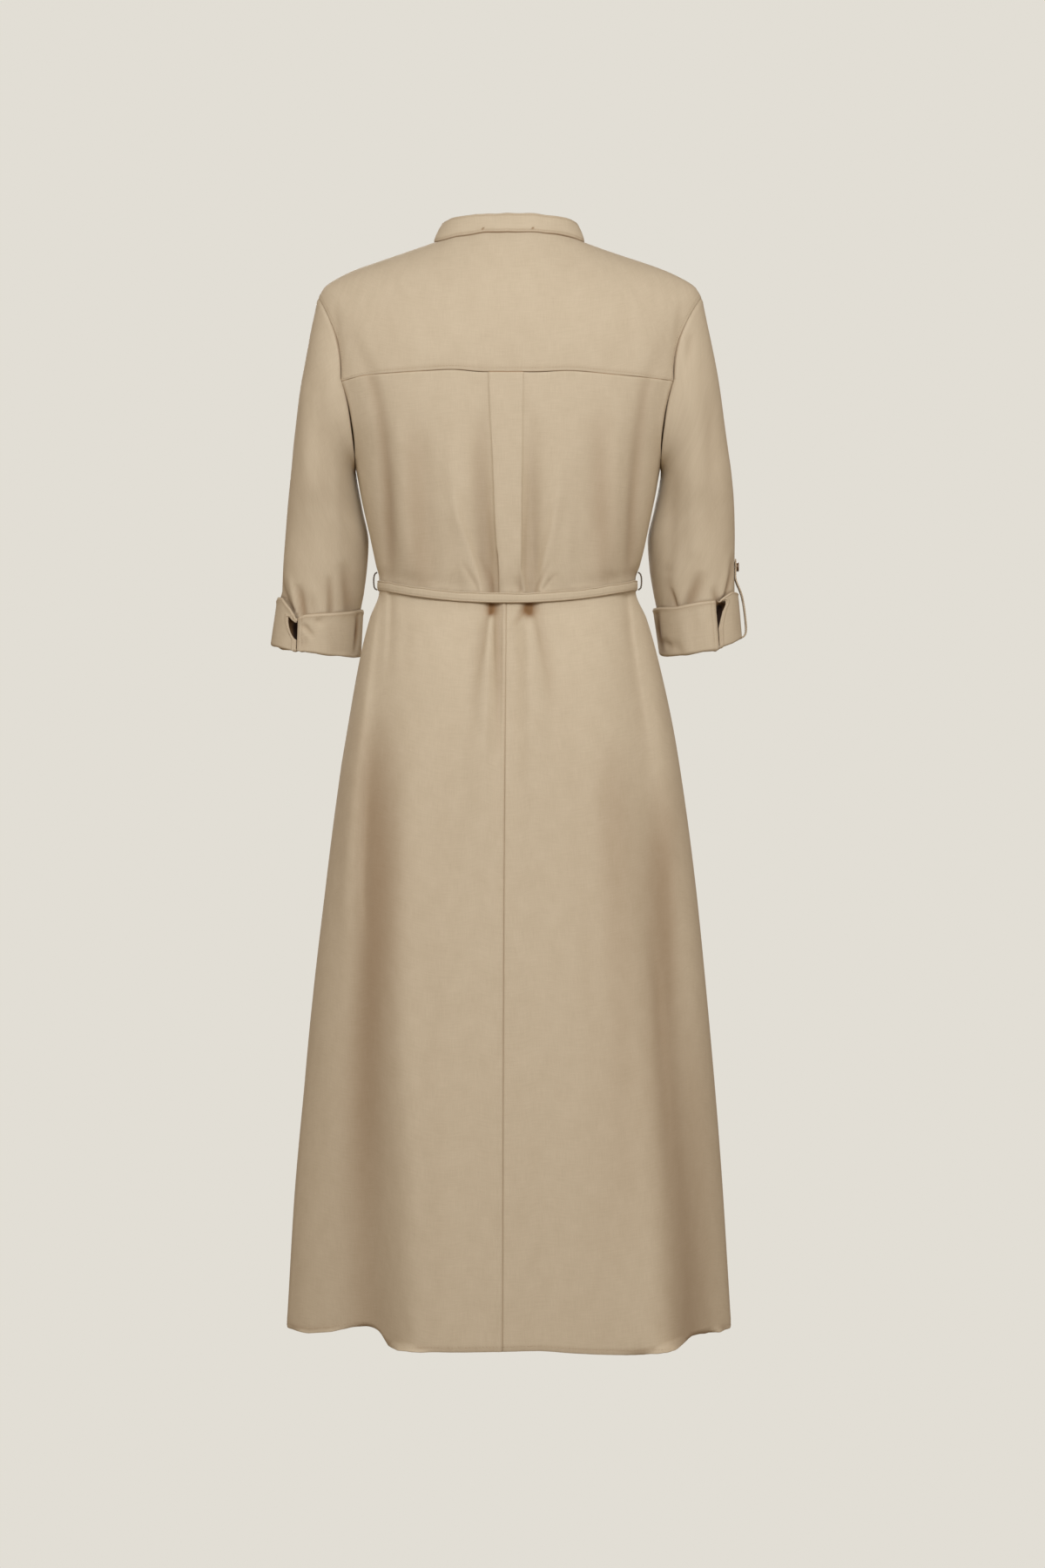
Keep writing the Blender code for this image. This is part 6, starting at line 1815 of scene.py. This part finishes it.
# ---------------------------------------------------------------- collar and placket
@dataclass
class Collar:
    """Band collar, lapped and buttoned at the front."""

    columns: int = 230
    rows: int = 16
    left_lean: float = 0.0024
    lean_deg: float = 78.0
    lean_reach: float = 0.5
    wall: float = 0.0011
    tacks_mm: tuple[float, float] = (25.3, -26.4)
    tack_inset: float = 0.0036
    tack_half: float = 0.0008
    tack_shade: float = 1.4
    stitch_inset: float = 0.0024
    stitches: Sewing = field(default_factory=lambda: Sewing("collar_stitches", pitch=0.0028, length=0.0021))

    def points(self, around: Array, share: float) -> Array:
        """Return points of the band; share is 0 at its seam and 1 at its top edge."""
        base = neck_points(around)
        flat = unit(base * np.array((1.0, 1.0, 0.0)))
        start, turn = (math.radians(value) for value in COLLAR_LAP_EASE_DEG)
        lapped = ease((-around - start) / turn)
        out = (2 * SEAM + CLOTH) * lapped - COLLAR_LEAN * share ** COLLAR_CURL
        left = bell((around - math.radians(self.lean_deg)) / self.lean_reach)
        behind = ease((base[:, 1] - RIDGE_Y) / 0.02 + 0.3)
        up = COLLAR_GAP + COLLAR_HEIGHT * share
        up = up + mix(lifted(NECK_LIFT, base[:, 0]), lifted(COLLAR_TOP_LIFT, base[:, 0]), share) * behind
        place = base + flat * (out - self.left_lean * left * (0.3 + share))[:, None]
        return place + np.stack((np.zeros(len(base)), np.zeros(len(base)), up), axis=1)

    def build(self) -> None:
        """Make the band, its stitching and its button."""
        start, end = math.radians(COLLAR_LAP_DEG), math.radians(1)
        turns = np.linspace(-math.pi - start, math.pi - end, self.columns)
        grid = ClothGrid(np.array([self.points(turns, share) for share in spaced(1.0, 0.0, self.rows)]))
        grid.facing_from(0, 0, 0)
        for edge in Edge:
            grid.roll(edge, 0.0005, 0.0012, shade=0.2)
        grid.roll(Edge.BOTTOM, 0.0002, 0.0008, shade=0.6)
        for edge in (Edge.BOTTOM, Edge.TOP):
            self.stitches.topstitch(grid, edge, self.stitch_inset, 0.0003, 0.25)
        self.make_tacks(grid)
        grid.tuck(Edge.BOTTOM, 0.003, 0.001, shade=0.75)
        hang_cloth("collar", grid, "yoke_cloth", wall=self.wall, held="folded")
        self.stitches.sew(SEWING)
        angle = np.array([-math.pi])
        middle = self.points(angle, 0.5)[0]
        up = self.points(angle, 0.8)[0] - self.points(angle, 0.2)[0]
        out = unit(np.array((0.0, -up[2], up[1])))
        make_button("collar_button", middle + out * SEAM * 3, out, BUTTON_RADIUS)

    def make_tacks(self, grid: ClothGrid) -> None:
        """Sew the two tiny tacks that the bare label place keeps."""
        points, normals = grid.inset_line(Edge.BOTTOM, self.tack_inset)
        for x_mm in self.tacks_mm:
            at_back = np.where(points[:, 1] > 0)[0]
            k = at_back[np.argmin(np.abs(points[at_back, 0] - x_mm * MM))]
            half = (self.tack_half, 0, 0)
            line = np.array((points[k] + half, points[k] - half))
            self.stitches.places.append(line)
            self.stitches.alongs.append(np.tile((1.0, 0.0, 0.0), (2, 1)))
            self.stitches.outs.append(np.tile(normals[k], (2, 1)))
            near = np.linalg.norm(grid.points - points[k], axis=2)
            grid.darken(self.tack_shade * bell(near / 0.001))


@dataclass
class Placket:
    """Placket down the whole front, with its buttons."""

    columns: int = 13
    arch_rows: int = 34
    arm_rows: int = 30
    waist_rows: int = 44
    skirt_rows: int = 220
    wall: float = 0.0008
    stitch_inset: float = 0.004
    button_off: float = 0.0004
    stitches: Sewing = field(default_factory=lambda: Sewing("placket_stitches"))

    def grid(self) -> ClothGrid:
        """Return the placket's grid, from the neck to the hem."""
        x = np.linspace(PLACKET_HALF, -PLACKET_HALF, self.columns)
        arch = np.zeros((self.arch_rows + 1, self.columns, 3))
        for k, value in enumerate(x):
            side = 1 if value >= 0 else -1
            arch[:, k] = front_arch(np.array([value / EDGE_X_FRONT]), side, self.arch_rows)[:, 0]
        arch[0] = mix(arch[0], arch[1], PLACKET_BELOW_COLLAR * 5)
        arm_z = spaced(YOKE_Z, UNDERARM_Z, self.arm_rows)[1:]
        t_waist = spaced(0.0, 1.0, self.waist_rows)[1:]
        t_skirt = spaced(0.0, 1.0, self.skirt_rows)[1:]
        z = np.concatenate((arm_z, mix(UNDERARM_Z, WAIST_Z, t_waist), mix(WAIST_Z, HEM_Z, t_skirt)))
        angles = Section.at(z[:, None]).angle_of(x)
        arm, waist = len(arm_z), len(arm_z) + len(t_waist)
        height = np.broadcast_to(z[:, None], angles.shape).copy()
        height[arm:waist] = mix(UNDERARM_Z, waist_height(-1, angles[arm:waist]), t_waist[:, None])
        height[waist:] = mix(waist_height(-1, angles[waist:]), hem_height(angles[waist:]), t_skirt[:, None])
        body = body_points(-1, angles, 0.0, z[:, None], height)
        grid = ClothGrid(np.concatenate((arch, body)))
        grid.facing_from(0, 0.2, -0.6)
        grid.press(np.full(grid.points.shape[:2], -(SEAM + PLACKET_CLOTH)))
        return grid

    def build(self) -> None:
        """Make the placket, its two rows of stitching and its buttons."""
        grid = self.grid()
        grid.swell(0.05, 0.00025, 71)
        for edge in (Edge.START, Edge.END):
            grid.roll(edge, 0.0004, 0.001, shade=0.6)
            self.stitches.topstitch(grid, edge, self.stitch_inset, 0.0002, 0.2, 0.0008,
                                    start=0.01, end=0.995)
        hang_cloth("placket", grid, "front_bodice_left_cloth", "front_bodice_right_cloth", wall=self.wall)
        middle = grid.points[:, self.columns // 2]
        for number, z in enumerate(FRONT_BUTTON_Z, 1):
            k = int(np.argmin(np.abs(middle[:, 2] - z)))
            down = middle[k + 1] - middle[k - 1]
            out = unit(np.array((0.0, down[2], -down[1])))
            out = out if out[1] < 0 else -out
            make_button(f"front_button_{number:02d}", middle[k] + out * self.button_off, out, BUTTON_RADIUS)
        self.stitches.sew(SEWING)


def make_button(node: str, seat: Array, out: Array, radius: float) -> None:
    """Make a four-hole button: a turned disc with a rim, a dished middle and sewn holes.

    Args:
        node: The solid it stands for, whose name it has.
        seat: Middle of its underside.
        out: Direction it faces.
        radius: Its radius.
    """
    thick = BUTTON_THICK
    profile = (
        (0, 0), (0.86, 0), (0.98, 0.18), (1, 0.5), (0.97, 0.82), (0.88, 1), (0.76, 0.98), (0.66, 0.8),
        (0.55, 0.7), (0.3, 0.66), (0, 0.66),
    )
    sides = BUTTON_SIDES
    points, faces = [], []
    for part, level in profile[1:-1]:
        for k in range(sides):
            turn = 2 * math.pi * k / sides
            points.append((radius * part * math.cos(turn), radius * part * math.sin(turn), thick * level))
    rings = len(profile) - 2
    for ring in range(rings - 1):
        for k in range(sides):
            a, b = ring * sides + k, ring * sides + (k + 1) % sides
            faces.append((a, b, b + sides, a + sides))
    points += [(0, 0, 0), (0, 0, thick * profile[-1][1])]
    for k in range(sides):
        following = (k + 1) % sides
        faces.append((len(points) - 2, following, k))
        faces.append((len(points) - 1, (rings - 1) * sides + k, (rings - 1) * sides + following))
    thread_faces_from = len(faces)
    hole = radius * HOLE_PLACE
    for sx, sy in ((1, 1), (-1, 1), (-1, -1), (1, -1)):
        middle = (sx * hole, sy * hole, thick * BUTTON_DISH)
        add_dome(points, faces, middle, radius * HOLE_RADIUS, thick * 0.06)
    crossings_from = len(faces)
    for sy in (1, -1):
        add_dome(points, faces, (0, sy * hole, thick * 0.68), radius * 0.25, thick * 0.13, 0.26)
    mesh = bpy.data.meshes.new(node + "_horn")
    turn = Vector(out).to_track_quat("Z", "Y").to_matrix()
    mesh.from_pydata([tuple(Vector(seat) + turn @ Vector(point)) for point in points], [], faces)
    for finish in (HORN, LOOP_THREAD, SEWING):
        mesh.materials.append(finish.material())
    for k, face in enumerate(mesh.polygons):
        face.material_index = 0 if k < thread_faces_from else (1 if k < crossings_from else 2)
    mesh.shade_smooth()
    turn_faces_out(mesh)
    settle(plain_object(mesh.name, mesh), HORN, node)


def add_dome(points: list, faces: list, middle: Place, radius: float, height: float,
             flat: float = 1.0) -> None:
    """Add a low closed dome, flattened across when flat is under 1."""
    first = len(points)
    sides = DOME_SIDES
    for part, level in ((1.0, -0.4), (1.0, 0.0), (0.6, 0.8)):
        for k in range(sides):
            turn = 2 * math.pi * k / sides
            points.append((middle[0] + radius * part * math.cos(turn),
                           middle[1] + radius * part * flat * math.sin(turn), middle[2] + height * level))
    points.append((middle[0], middle[1], middle[2] + height))
    top = len(points) - 1
    for ring in range(2):
        for k in range(sides):
            a, b = first + ring * sides + k, first + ring * sides + (k + 1) % sides
            faces.append((a, b, b + sides, a + sides))
    for k in range(sides):
        faces.append((top, first + 2 * sides + k, first + 2 * sides + (k + 1) % sides))
    faces.append(tuple(first + k for k in range(sides))[::-1])


# ---------------------------------------------------------------- belt
@dataclass
class Belt:
    """Tie belt: its band, knot and two hanging ends, and the thread loops that hold it."""

    columns: int = 300
    end_rows: int = 110
    end_columns: int = 11
    knot_rows: int = 40
    knot_columns: int = 64
    loop_steps: int = 14
    loop_bend: float = 0.002
    wall: float = 0.0009
    stitch_inset: float = 0.0021
    loop_short: float = 0.005
    stitches: Sewing = field(default_factory=lambda: Sewing("belt_stitches", pitch=0.003, length=0.0022,
                                                            width=0.0005))

    def line(self, around: Array) -> Array:
        """Return points of the waist seam, from the back round by the left."""
        face = np.where(np.cos(around) >= 0, 1, -1)
        angle = np.arcsin(np.sin(around))
        sizes = Section.at(WAIST_Z)
        back, fore = sizes.point(1, angle, 0.0), sizes.point(-1, angle, 0.0)
        y = np.where(face > 0, back[1], fore[1])
        z = np.where(face > 0, waist_height(1, angle), waist_height(-1, angle))
        return stack(back[0], y, z)

    def outwards(self, around: Array) -> Array:
        """Return the level outward direction at the waist seam."""
        ahead = self.line(around + 0.01) - self.line(around - 0.01)
        return unit(np.stack((-ahead[:, 1], ahead[:, 0], np.zeros(len(ahead))), axis=1))

    def build_band(self) -> None:
        """Make the band round the waist, folded, stitched and slightly uneven."""
        around = 2 * math.pi * np.arange(self.columns) / self.columns
        here, out = self.line(around), self.outwards(around)
        near_front = ease(1.35 - np.abs(here[:, 0]) / (PLACKET_HALF * 1.6)) * (here[:, 1] < 0)
        lift = BELT_OFF + BELT_CLOTH + (SEAM + PLACKET_CLOTH) * near_front
        waver = 0.00022 * np.sin(around * 13) + 0.00016 * np.sin(around * 29 + 1.3)
        profile = (
            (0.5, 0.0008), (0.485, 0.0002), (0.43, -0.0001), (0.36, 0), (0.31, 0.0003), (0.26, -0.0001),
            (0.12, -0.0002), (0, -0.0001), (-0.12, -0.0002), (-0.26, -0.0001), (-0.31, 0.0003),
            (-0.36, 0), (-0.43, 0.0002), (-0.485, 0.001), (-0.5, 0.002),
        )
        rows = []
        for height, sink in profile:
            up = np.array((0, 0, 1.0)) * (height * BELT_HEIGHT) + np.zeros((self.columns, 3))
            up[:, 2] += waver * (0.6 + height)
            rows.append(here + out * (lift - sink)[:, None] + up)
        grid = ClothGrid(np.array(rows), ring=True).facing_from(0, 0, WAIST_Z)
        for edge in (Edge.TOP, Edge.BOTTOM):
            self.stitches.topstitch(grid, edge, self.stitch_inset, 0.0002, 0.35, 0.0005)
            grid.roll(edge, 0.0002, 0.0008, shade=0.55, rim=0.0005)
        hang_cloth("belt_band", grid, "back_bodice_cloth", node="belt", wall=self.wall,
                   finish=BELT_CLOTH_FINISH, held="stretched")

    def build_end(self, name: str) -> None:
        """Make one hanging end, gently turned, with its stitching."""
        side = SIDES[name]
        start_z = WAIST_Z - WAIST_DIP_FRONT - KNOT_SIZE[2] / 2 - SEAM
        rows = []
        for t in spaced(0.0, 1.0, self.end_rows):
            z = start_z - TAIL_LENGTHS[name] * t
            middle = side * mix(*TAIL_PLACES, float(ease(t * 1.4)))
            clear = mix(TAIL_OFF_AT_KNOT, TAIL_OFF, float(ease(t * 3)))
            offset = np.linspace(1, -1, self.end_columns) * BELT_HEIGHT / 2
            x = middle + offset
            sizes = Section.at(z)
            y = sizes.point(-1, sizes.angle_of(x), 0.0)[1]
            curl = 0.0012 * math.sin(t * 9 + side) * offset / BELT_HEIGHT
            rows.append(stack(x, y - clear - curl, z))
        grid = ClothGrid(np.array(rows)).facing_from(0, 0.1, -0.5)
        for edge in (Edge.START, Edge.END, Edge.BOTTOM):
            grid.roll(edge, 0.0003, 0.0008, shade=0.3)
            self.stitches.row(grid.inset_line(edge, self.stitch_inset), 0.02, 0.98)
        hang_cloth(f"belt_end_{name}", grid, "belt_knot_cloth", wall=self.wall, finish=BELT_CLOTH_FINISH)

    def build_knot(self) -> None:
        """Make the knot: two wrapped turns of the belt over a full middle."""
        waist = self.line(np.array([math.pi]))[0]
        lift = BELT_OFF + BELT_CLOTH + 2 * SEAM + PLACKET_CLOTH
        middle = np.array((0.0, waist[1] - lift - KNOT_SIZE[1] / 2, waist[2]))
        rows, columns = self.knot_rows, self.knot_columns
        polar, turn = np.meshgrid(np.linspace(0.03, math.pi - 0.03, rows), 2 * math.pi * np.arange(columns)
                                  / columns, indexing="ij")
        x = power(np.sin(polar) * np.cos(turn), 0.85)
        y = np.sin(polar) * np.sin(turn)
        z = power(np.cos(polar), 0.85)
        wrap = 0.5 + 0.5 * np.sin(3.2 * math.pi * (x * 0.75 + z * 0.55))
        size = 0.9 + 0.1 * wrap ** 0.6
        points = stack(middle[0] + x * size * KNOT_SIZE[0] / 2, middle[1] + y * size * KNOT_SIZE[1] / 2,
                       middle[2] + z * size * KNOT_SIZE[2] / 2)
        # Painted shade in the hollows between the wrapped turns.
        grid = ClothGrid(points, ring=True, shade=np.clip((0.5 - wrap) * 1.4, 0, 0.7))
        grid.facing_from(*middle)
        mesh = cloth_mesh("belt_knot_cloth", grid)
        mesh.materials.append(BELT_CLOTH_FINISH.material())
        turn_faces_out(mesh, range(columns), range((rows - 1) * columns, rows * columns))
        mesh.shade_smooth()
        settle(plain_object(mesh.name, mesh), BELT_CLOTH_FINISH, "belt_knot")

    def build_loop(self, name: str) -> None:
        """Make the thread loop over the belt at one side seam."""
        side = SIDES[name]
        waist = self.line(np.array([side * math.pi / 2]))[0]
        high, low = waist[2] + LOOP_ENDS[0], waist[2] - LOOP_ENDS[1] + self.loop_short
        sizes = Section.at(high)
        wall_x = float(sizes.left if side > 0 else sizes.right) + 2 * SEAM + LOOP_THREAD_RADIUS
        path = smooth_path([
            (side * wall_x, 0.0, high),
            (side * (wall_x + LOOP_REACH * 0.6), 0.0, high - self.loop_bend),
            (side * (wall_x + LOOP_REACH * 0.9), 0.0, (high + low) / 2 + self.loop_bend),
            (side * (wall_x + LOOP_REACH * 0.75), 0.0, low + 0.003),
            (side * (wall_x + 0.0002), 0.0, low),
        ], self.loop_steps)
        mesh = tube_mesh(f"belt_loop_{name}_thread", path, LOOP_THREAD_RADIUS, 12, twist=2600, lobes=3,
                         lobe_height=0.16)
        mesh.materials.append(LOOP_THREAD.material())
        settle(plain_object(mesh.name, mesh), LOOP_THREAD, f"belt_loop_{name}")

    def build(self) -> None:
        """Make the whole belt."""
        self.build_band()
        self.build_knot()
        for name in SIDES:
            self.build_end(name)
            self.build_loop(name)
        self.stitches.sew(SEWING_ON_BELT)


# ---------------------------------------------------------------- studio
@dataclass
class Studio:
    """Pale surroundings, soft lights and the camera."""

    camera_place: Place = (-0.0159, 4.8, -0.5797)
    focal_mm: float = 102.67
    floor_z: float = -1.49
    dome_radius: float = 14.0
    dome_rows: int = 16
    dome_columns: int = 32
    ambient: Place = (1.0, 0.74, 0.5)
    ambient_strength: float = 0.24

    def backdrop_material(self) -> bpy.types.Material:
        """Return the pale, evenly lit backdrop's material."""
        made = bpy.data.materials.new("pale backdrop")
        made.use_nodes = True
        shader = made.node_tree.nodes["Principled BSDF"]
        shader.inputs["Base Color"].default_value = (0, 0, 0, 1)
        shader.inputs["Specular IOR Level"].default_value = 0.0
        shader.inputs["Emission Color"].default_value = (*BACKDROP_COLOUR, 1)
        shader.inputs["Emission Strength"].default_value = 1.0
        return made

    def build_backdrop(self) -> None:
        """Make the floor and the dome behind it."""
        material = self.backdrop_material()
        size = self.dome_radius
        floor = bpy.data.meshes.new("studio_floor")
        corners = [(size, size), (-size, size), (-size, -size), (size, -size)]
        floor.from_pydata([(*corner, self.floor_z) for corner in corners], [], [(0, 1, 2, 3)])
        dome = bpy.data.meshes.new("studio_dome")
        rows, columns = self.dome_rows, self.dome_columns
        points = []
        for r in range(rows + 1):
            lift = math.pi * (0.001 + 0.998 * r / rows) - math.pi / 2
            for c in range(columns):
                turn = 2 * math.pi * c / columns
                level = size * math.cos(lift)
                points.append((level * math.cos(turn), level * math.sin(turn), size * math.sin(lift)))
        dome.from_pydata(points, [], grid_faces(rows + 1, columns, True).tolist())
        for mesh in (floor, dome):
            mesh.materials.append(material)
            piece = plain_object(mesh.name, mesh)
            for ray in ("diffuse", "glossy", "transmission", "shadow"):
                setattr(piece, "visible_" + ray, False)

    def add_light(self, name: str, place: Place, aim: Place,
                  size: float, watts: float, colour: Place) -> None:
        """Add a soft square light."""
        light = bpy.data.lights.new(name, "AREA")
        light.shape = "SQUARE"
        light.size = size
        light.energy = watts
        light.color = colour
        lamp = bpy.data.objects.new(name, light)
        lamp.location = place
        lamp.rotation_euler = (Vector(aim) - Vector(place)).to_track_quat("-Z", "Y").to_euler()
        bpy.context.scene.collection.objects.link(lamp)

    def build(self) -> None:
        """Make the backdrop, the lights and the camera."""
        self.build_backdrop()
        scene = bpy.context.scene
        scene.view_settings.view_transform = "Standard"
        scene.view_settings.look = "None"
        world = scene.world or bpy.data.worlds.new("studio")
        scene.world = world
        world.use_nodes = True
        sky = world.node_tree.nodes["Background"]
        sky.inputs["Color"].default_value = (*self.ambient, 1)
        sky.inputs["Strength"].default_value = self.ambient_strength
        self.add_light("key", (-0.15, 3.1, 1.35), (0, 0, -0.3), 1.4, 78, (0.98, 1.0, 1.04))
        self.add_light("left", (2.3, 1.2, 0.0), (0, 0, -0.6), 1.6, 14, (1.0, 0.96, 0.9))
        self.add_light("right", (-2.3, 1.2, 0.0), (0, 0, -0.6), 1.6, 14, (1.0, 0.96, 0.9))
        self.add_light("front", (0.3, -3.1, 0.6), (0, 0, -0.3), 1.5, 80, (1.0, 1.0, 1.0))
        camera = bpy.data.cameras.new("camera")
        camera.sensor_fit = "VERTICAL"
        camera.sensor_height = 36.0
        camera.lens = self.focal_mm
        camera.clip_end = 100
        seen_from = bpy.data.objects.new("camera", camera)
        seen_from.location = self.camera_place
        seen_from.rotation_euler = (math.pi / 2, 0.0, math.pi)
        scene.collection.objects.link(seen_from)
        scene.camera = seen_from


LEFT_SLEEVE = Sleeve(
    "left",
    slit_edge=(
        (0, 0.5), (0.15, 0.5), (0.19, 10), (0.23, 15), (0.32, 15), (0.43, 13), (0.52, 10), (0.59, 5),
        (0.66, 0.6), (0.93, 0.5),
    ),
    slit_turn=-5.0,
    top_lift=(
        (0, 2), (20, 1), (60, -6), (90, -11), (106, -13.5), (117, -17.5), (119.5, -19), (130, -9),
        (148, 2), (165, 2), (180, 0), (300, 0), (360, 2),
    ),
    fold_lift=(
        (0, 4), (12, 3.4), (28, 2.4), (90, 2.2), (114, -1), (180, -2), (220, 1), (270, 5), (320, 6),
        (350, 5), (360, 4),
    ),
    tab_below=-0.0004,
    tube_creases=creases(
        (2.4, 2.8, 0, 236, -352, 0, 231, -372, -2.2, 227, -388, -2.4, 223, -402, -1.6),
        (5.5, 3.2, 0.5, 226, -364, 0, 223, -380, 3.4, 220, -398, 4),
        (4, 4, 0.1, 214, -372, 0, 210, -386, 1.6, 207, -398, 1.8),
        (3.2, 3.8, 0.35, 192, -356, 0, 190, -374, 2.4, 189, -398, 3),
        (6.5, 5.5, 0.32, 176, -340, 0, 173, -368, 2.8, 170, -396, 3),
        (2, 3, 0.4, 245, -348, 0, 240, -372, 1.8, 232, -392, 2.2),
        (9, 9, 0, 200, -170, 0, 196, -215, 1.8, 194, -260, 1.4, 196, -300, 0),
        (10, 8, 0, 214, -110, 0, 216, -160, -1.2, 214, -230, -1.4, 214, -300, 0),
        (7, 7, 0, 186, -240, 0, 182, -290, -1.4, 180, -340, -0.8),
        # Deep crease behind the cuff's slit; its tone over 1 paints it near black, as the shadow inside the
        # slit.
        (7, 6, 2.4, 231, -401, 0, 231, -408, 8, 230, -432, 8),
        side=Side.BACK,
    ) + creases(
        (8, 9, 0, 205, -180, 0, 202, -250, 2, 206, -330, 1.4, 208, -390, 1),
        (4, 4, 0.15, 190, -350, 0, 188, -372, 2, 187, -396, 2.4),
        (4, 4, 0.15, 222, -356, 0, 220, -376, 2, 217, -396, 2.2),
        side=Side.FRONT,
    ),
    cuff_creases=creases(
        (1.5, 2.2, 0.8, 161, -396, 1, 161.5, -415, 2.4, 163.5, -432, 1.2, 166, -442, 0),
        (3, 3, 0.1, 222, -408, 0, 217, -412, 2.2, 212, -418, 2, 206, -424, 0),
        (4, 4, 0, 204, -402, 0, 202, -406, 1.6, 196, -412, 0),
        (6, 6, 0, 190, -400, 0.4, 188, -418, 1.2, 182, -438, 1.4),
        (5, 5, 0.08, 222, -444, 0, 219, -430, 1.6, 214, -420, 0),
        side=Side.BACK,
    ) + creases(
        (6, 6, 0, 200, -400, 0.4, 204, -424, 1.2, 200, -440, 0.4),
        side=Side.FRONT,
    ),
)
RIGHT_SLEEVE = Sleeve(
    "right",
    slit_edge=(
        (0, 0.5), (0.02, 2), (0.06, 12), (0.1, 15.5), (0.17, 15.5), (0.26, 9.5), (0.4, 5), (0.58, 0.8),
        (0.93, 0.5),
    ),
    slit_turn=-2.5,
    top_lift=(
        (0, 2.5), (30, 2), (60, -2), (90, -2.2), (116, -3.8), (119, -6), (130, -1.5), (146, 2.6),
        (165, 1), (180, 0), (330, 0), (360, 2.5),
    ),
    fold_lift=(
        (0, 7), (12, 5.6), (28, 4.4), (60, 3.8), (90, 2.4), (114, -1.2), (117, 0.4), (140, -1),
        (180, 0.6), (220, 3), (270, 7), (320, 8.5), (350, 7.6), (360, 7),
    ),
    tab_below=0.0008,
    tube_creases=creases(
        (2.4, 2.6, 0.5, -174, -368, 0, -178, -380, 3, -181, -390, 3.4),
        (5, 5, 0.08, -170, -340, 0, -172, -366, 1.8, -174, -386, 1.8),
        (7, 5, 0.4, -208, -350, 0, -202, -366, 3.2, -196, -380, 4.2, -192, -390, 4),
        (4, 4, 0.5, -219, -366, 0, -223, -377, 2, -226, -386, 3),
        (2.2, 2.6, 0.45, -243, -330, 0, -240, -358, 2, -234, -380, 2.4),
        (3, 3, 0, -237, -330, 0, -234, -356, -1.6, -229, -378, -1.8),
        (6, 5, 0, -196, -96, 0, -195, -112, 2.6, -192, -132, 1, -190, -148, 0),
        (8, 8, 0, -214, -150, 0, -218, -210, 2, -220, -270, 1.8, -222, -330, 0),
        (8, 8, 0, -196, -200, 0, -198, -260, -1.6, -200, -330, -1.2),
        (6, 6, 0, -180, -240, 0, -176, -290, 1.6, -172, -350, 1.4),
        # Deep crease behind the cuff's slit; its tone over 1 paints it near black, as the shadow inside the
        # slit.
        (6, 6, 2.4, -234, -384, 0, -232, -391, 8, -228, -408, 8, -227, -420, 6),
        side=Side.BACK,
    ) + creases(
        (9, 8, 0, -203, -190, 0, -200, -255, 1.8, -204, -330, 1.6, -206, -388, 1),
        (4, 4, 0.15, -190, -348, 0, -188, -370, 2, -186, -392, 2.2),
        (4, 4, 0.15, -222, -352, 0, -219, -372, 2.2, -216, -390, 2.2),
        side=Side.FRONT,
    ),
    cuff_creases=creases(
        (2.2, 1.5, 0.8, -161, -396, 1, -162, -415, 2.4, -165, -432, 1.2, -168, -442, 0),
        (7, 7, 0, -196, -392, 0.3, -199, -414, 1.2, -197, -438, 0.6),
        (4, 4, 0.12, -178, -436, 0, -171, -430, 2, -166, -422, 0),
        (5, 5, 0, -190, -444, 0, -182, -434, 1.4, -178, -424, 0),
        side=Side.BACK,
    ) + creases(
        (6, 6, 0, -202, -398, 0.4, -205, -420, 1.1, -202, -440, 0.4),
        side=Side.FRONT,
    ),
)


def main() -> None:
    """Build the dress and its studio."""
    logging.basicConfig(level=logging.INFO, format="%(message)s")
    for name, part in (("bodice", Bodice()), ("skirt", Skirt()), ("left sleeve", LEFT_SLEEVE),
                       ("right sleeve", RIGHT_SLEEVE), ("collar", Collar()), ("placket", Placket()),
                       ("belt", Belt())):
        part.build()
        LOG.info("built the %s", name)
    Studio().build()


if __name__ == "__main__":
    main()
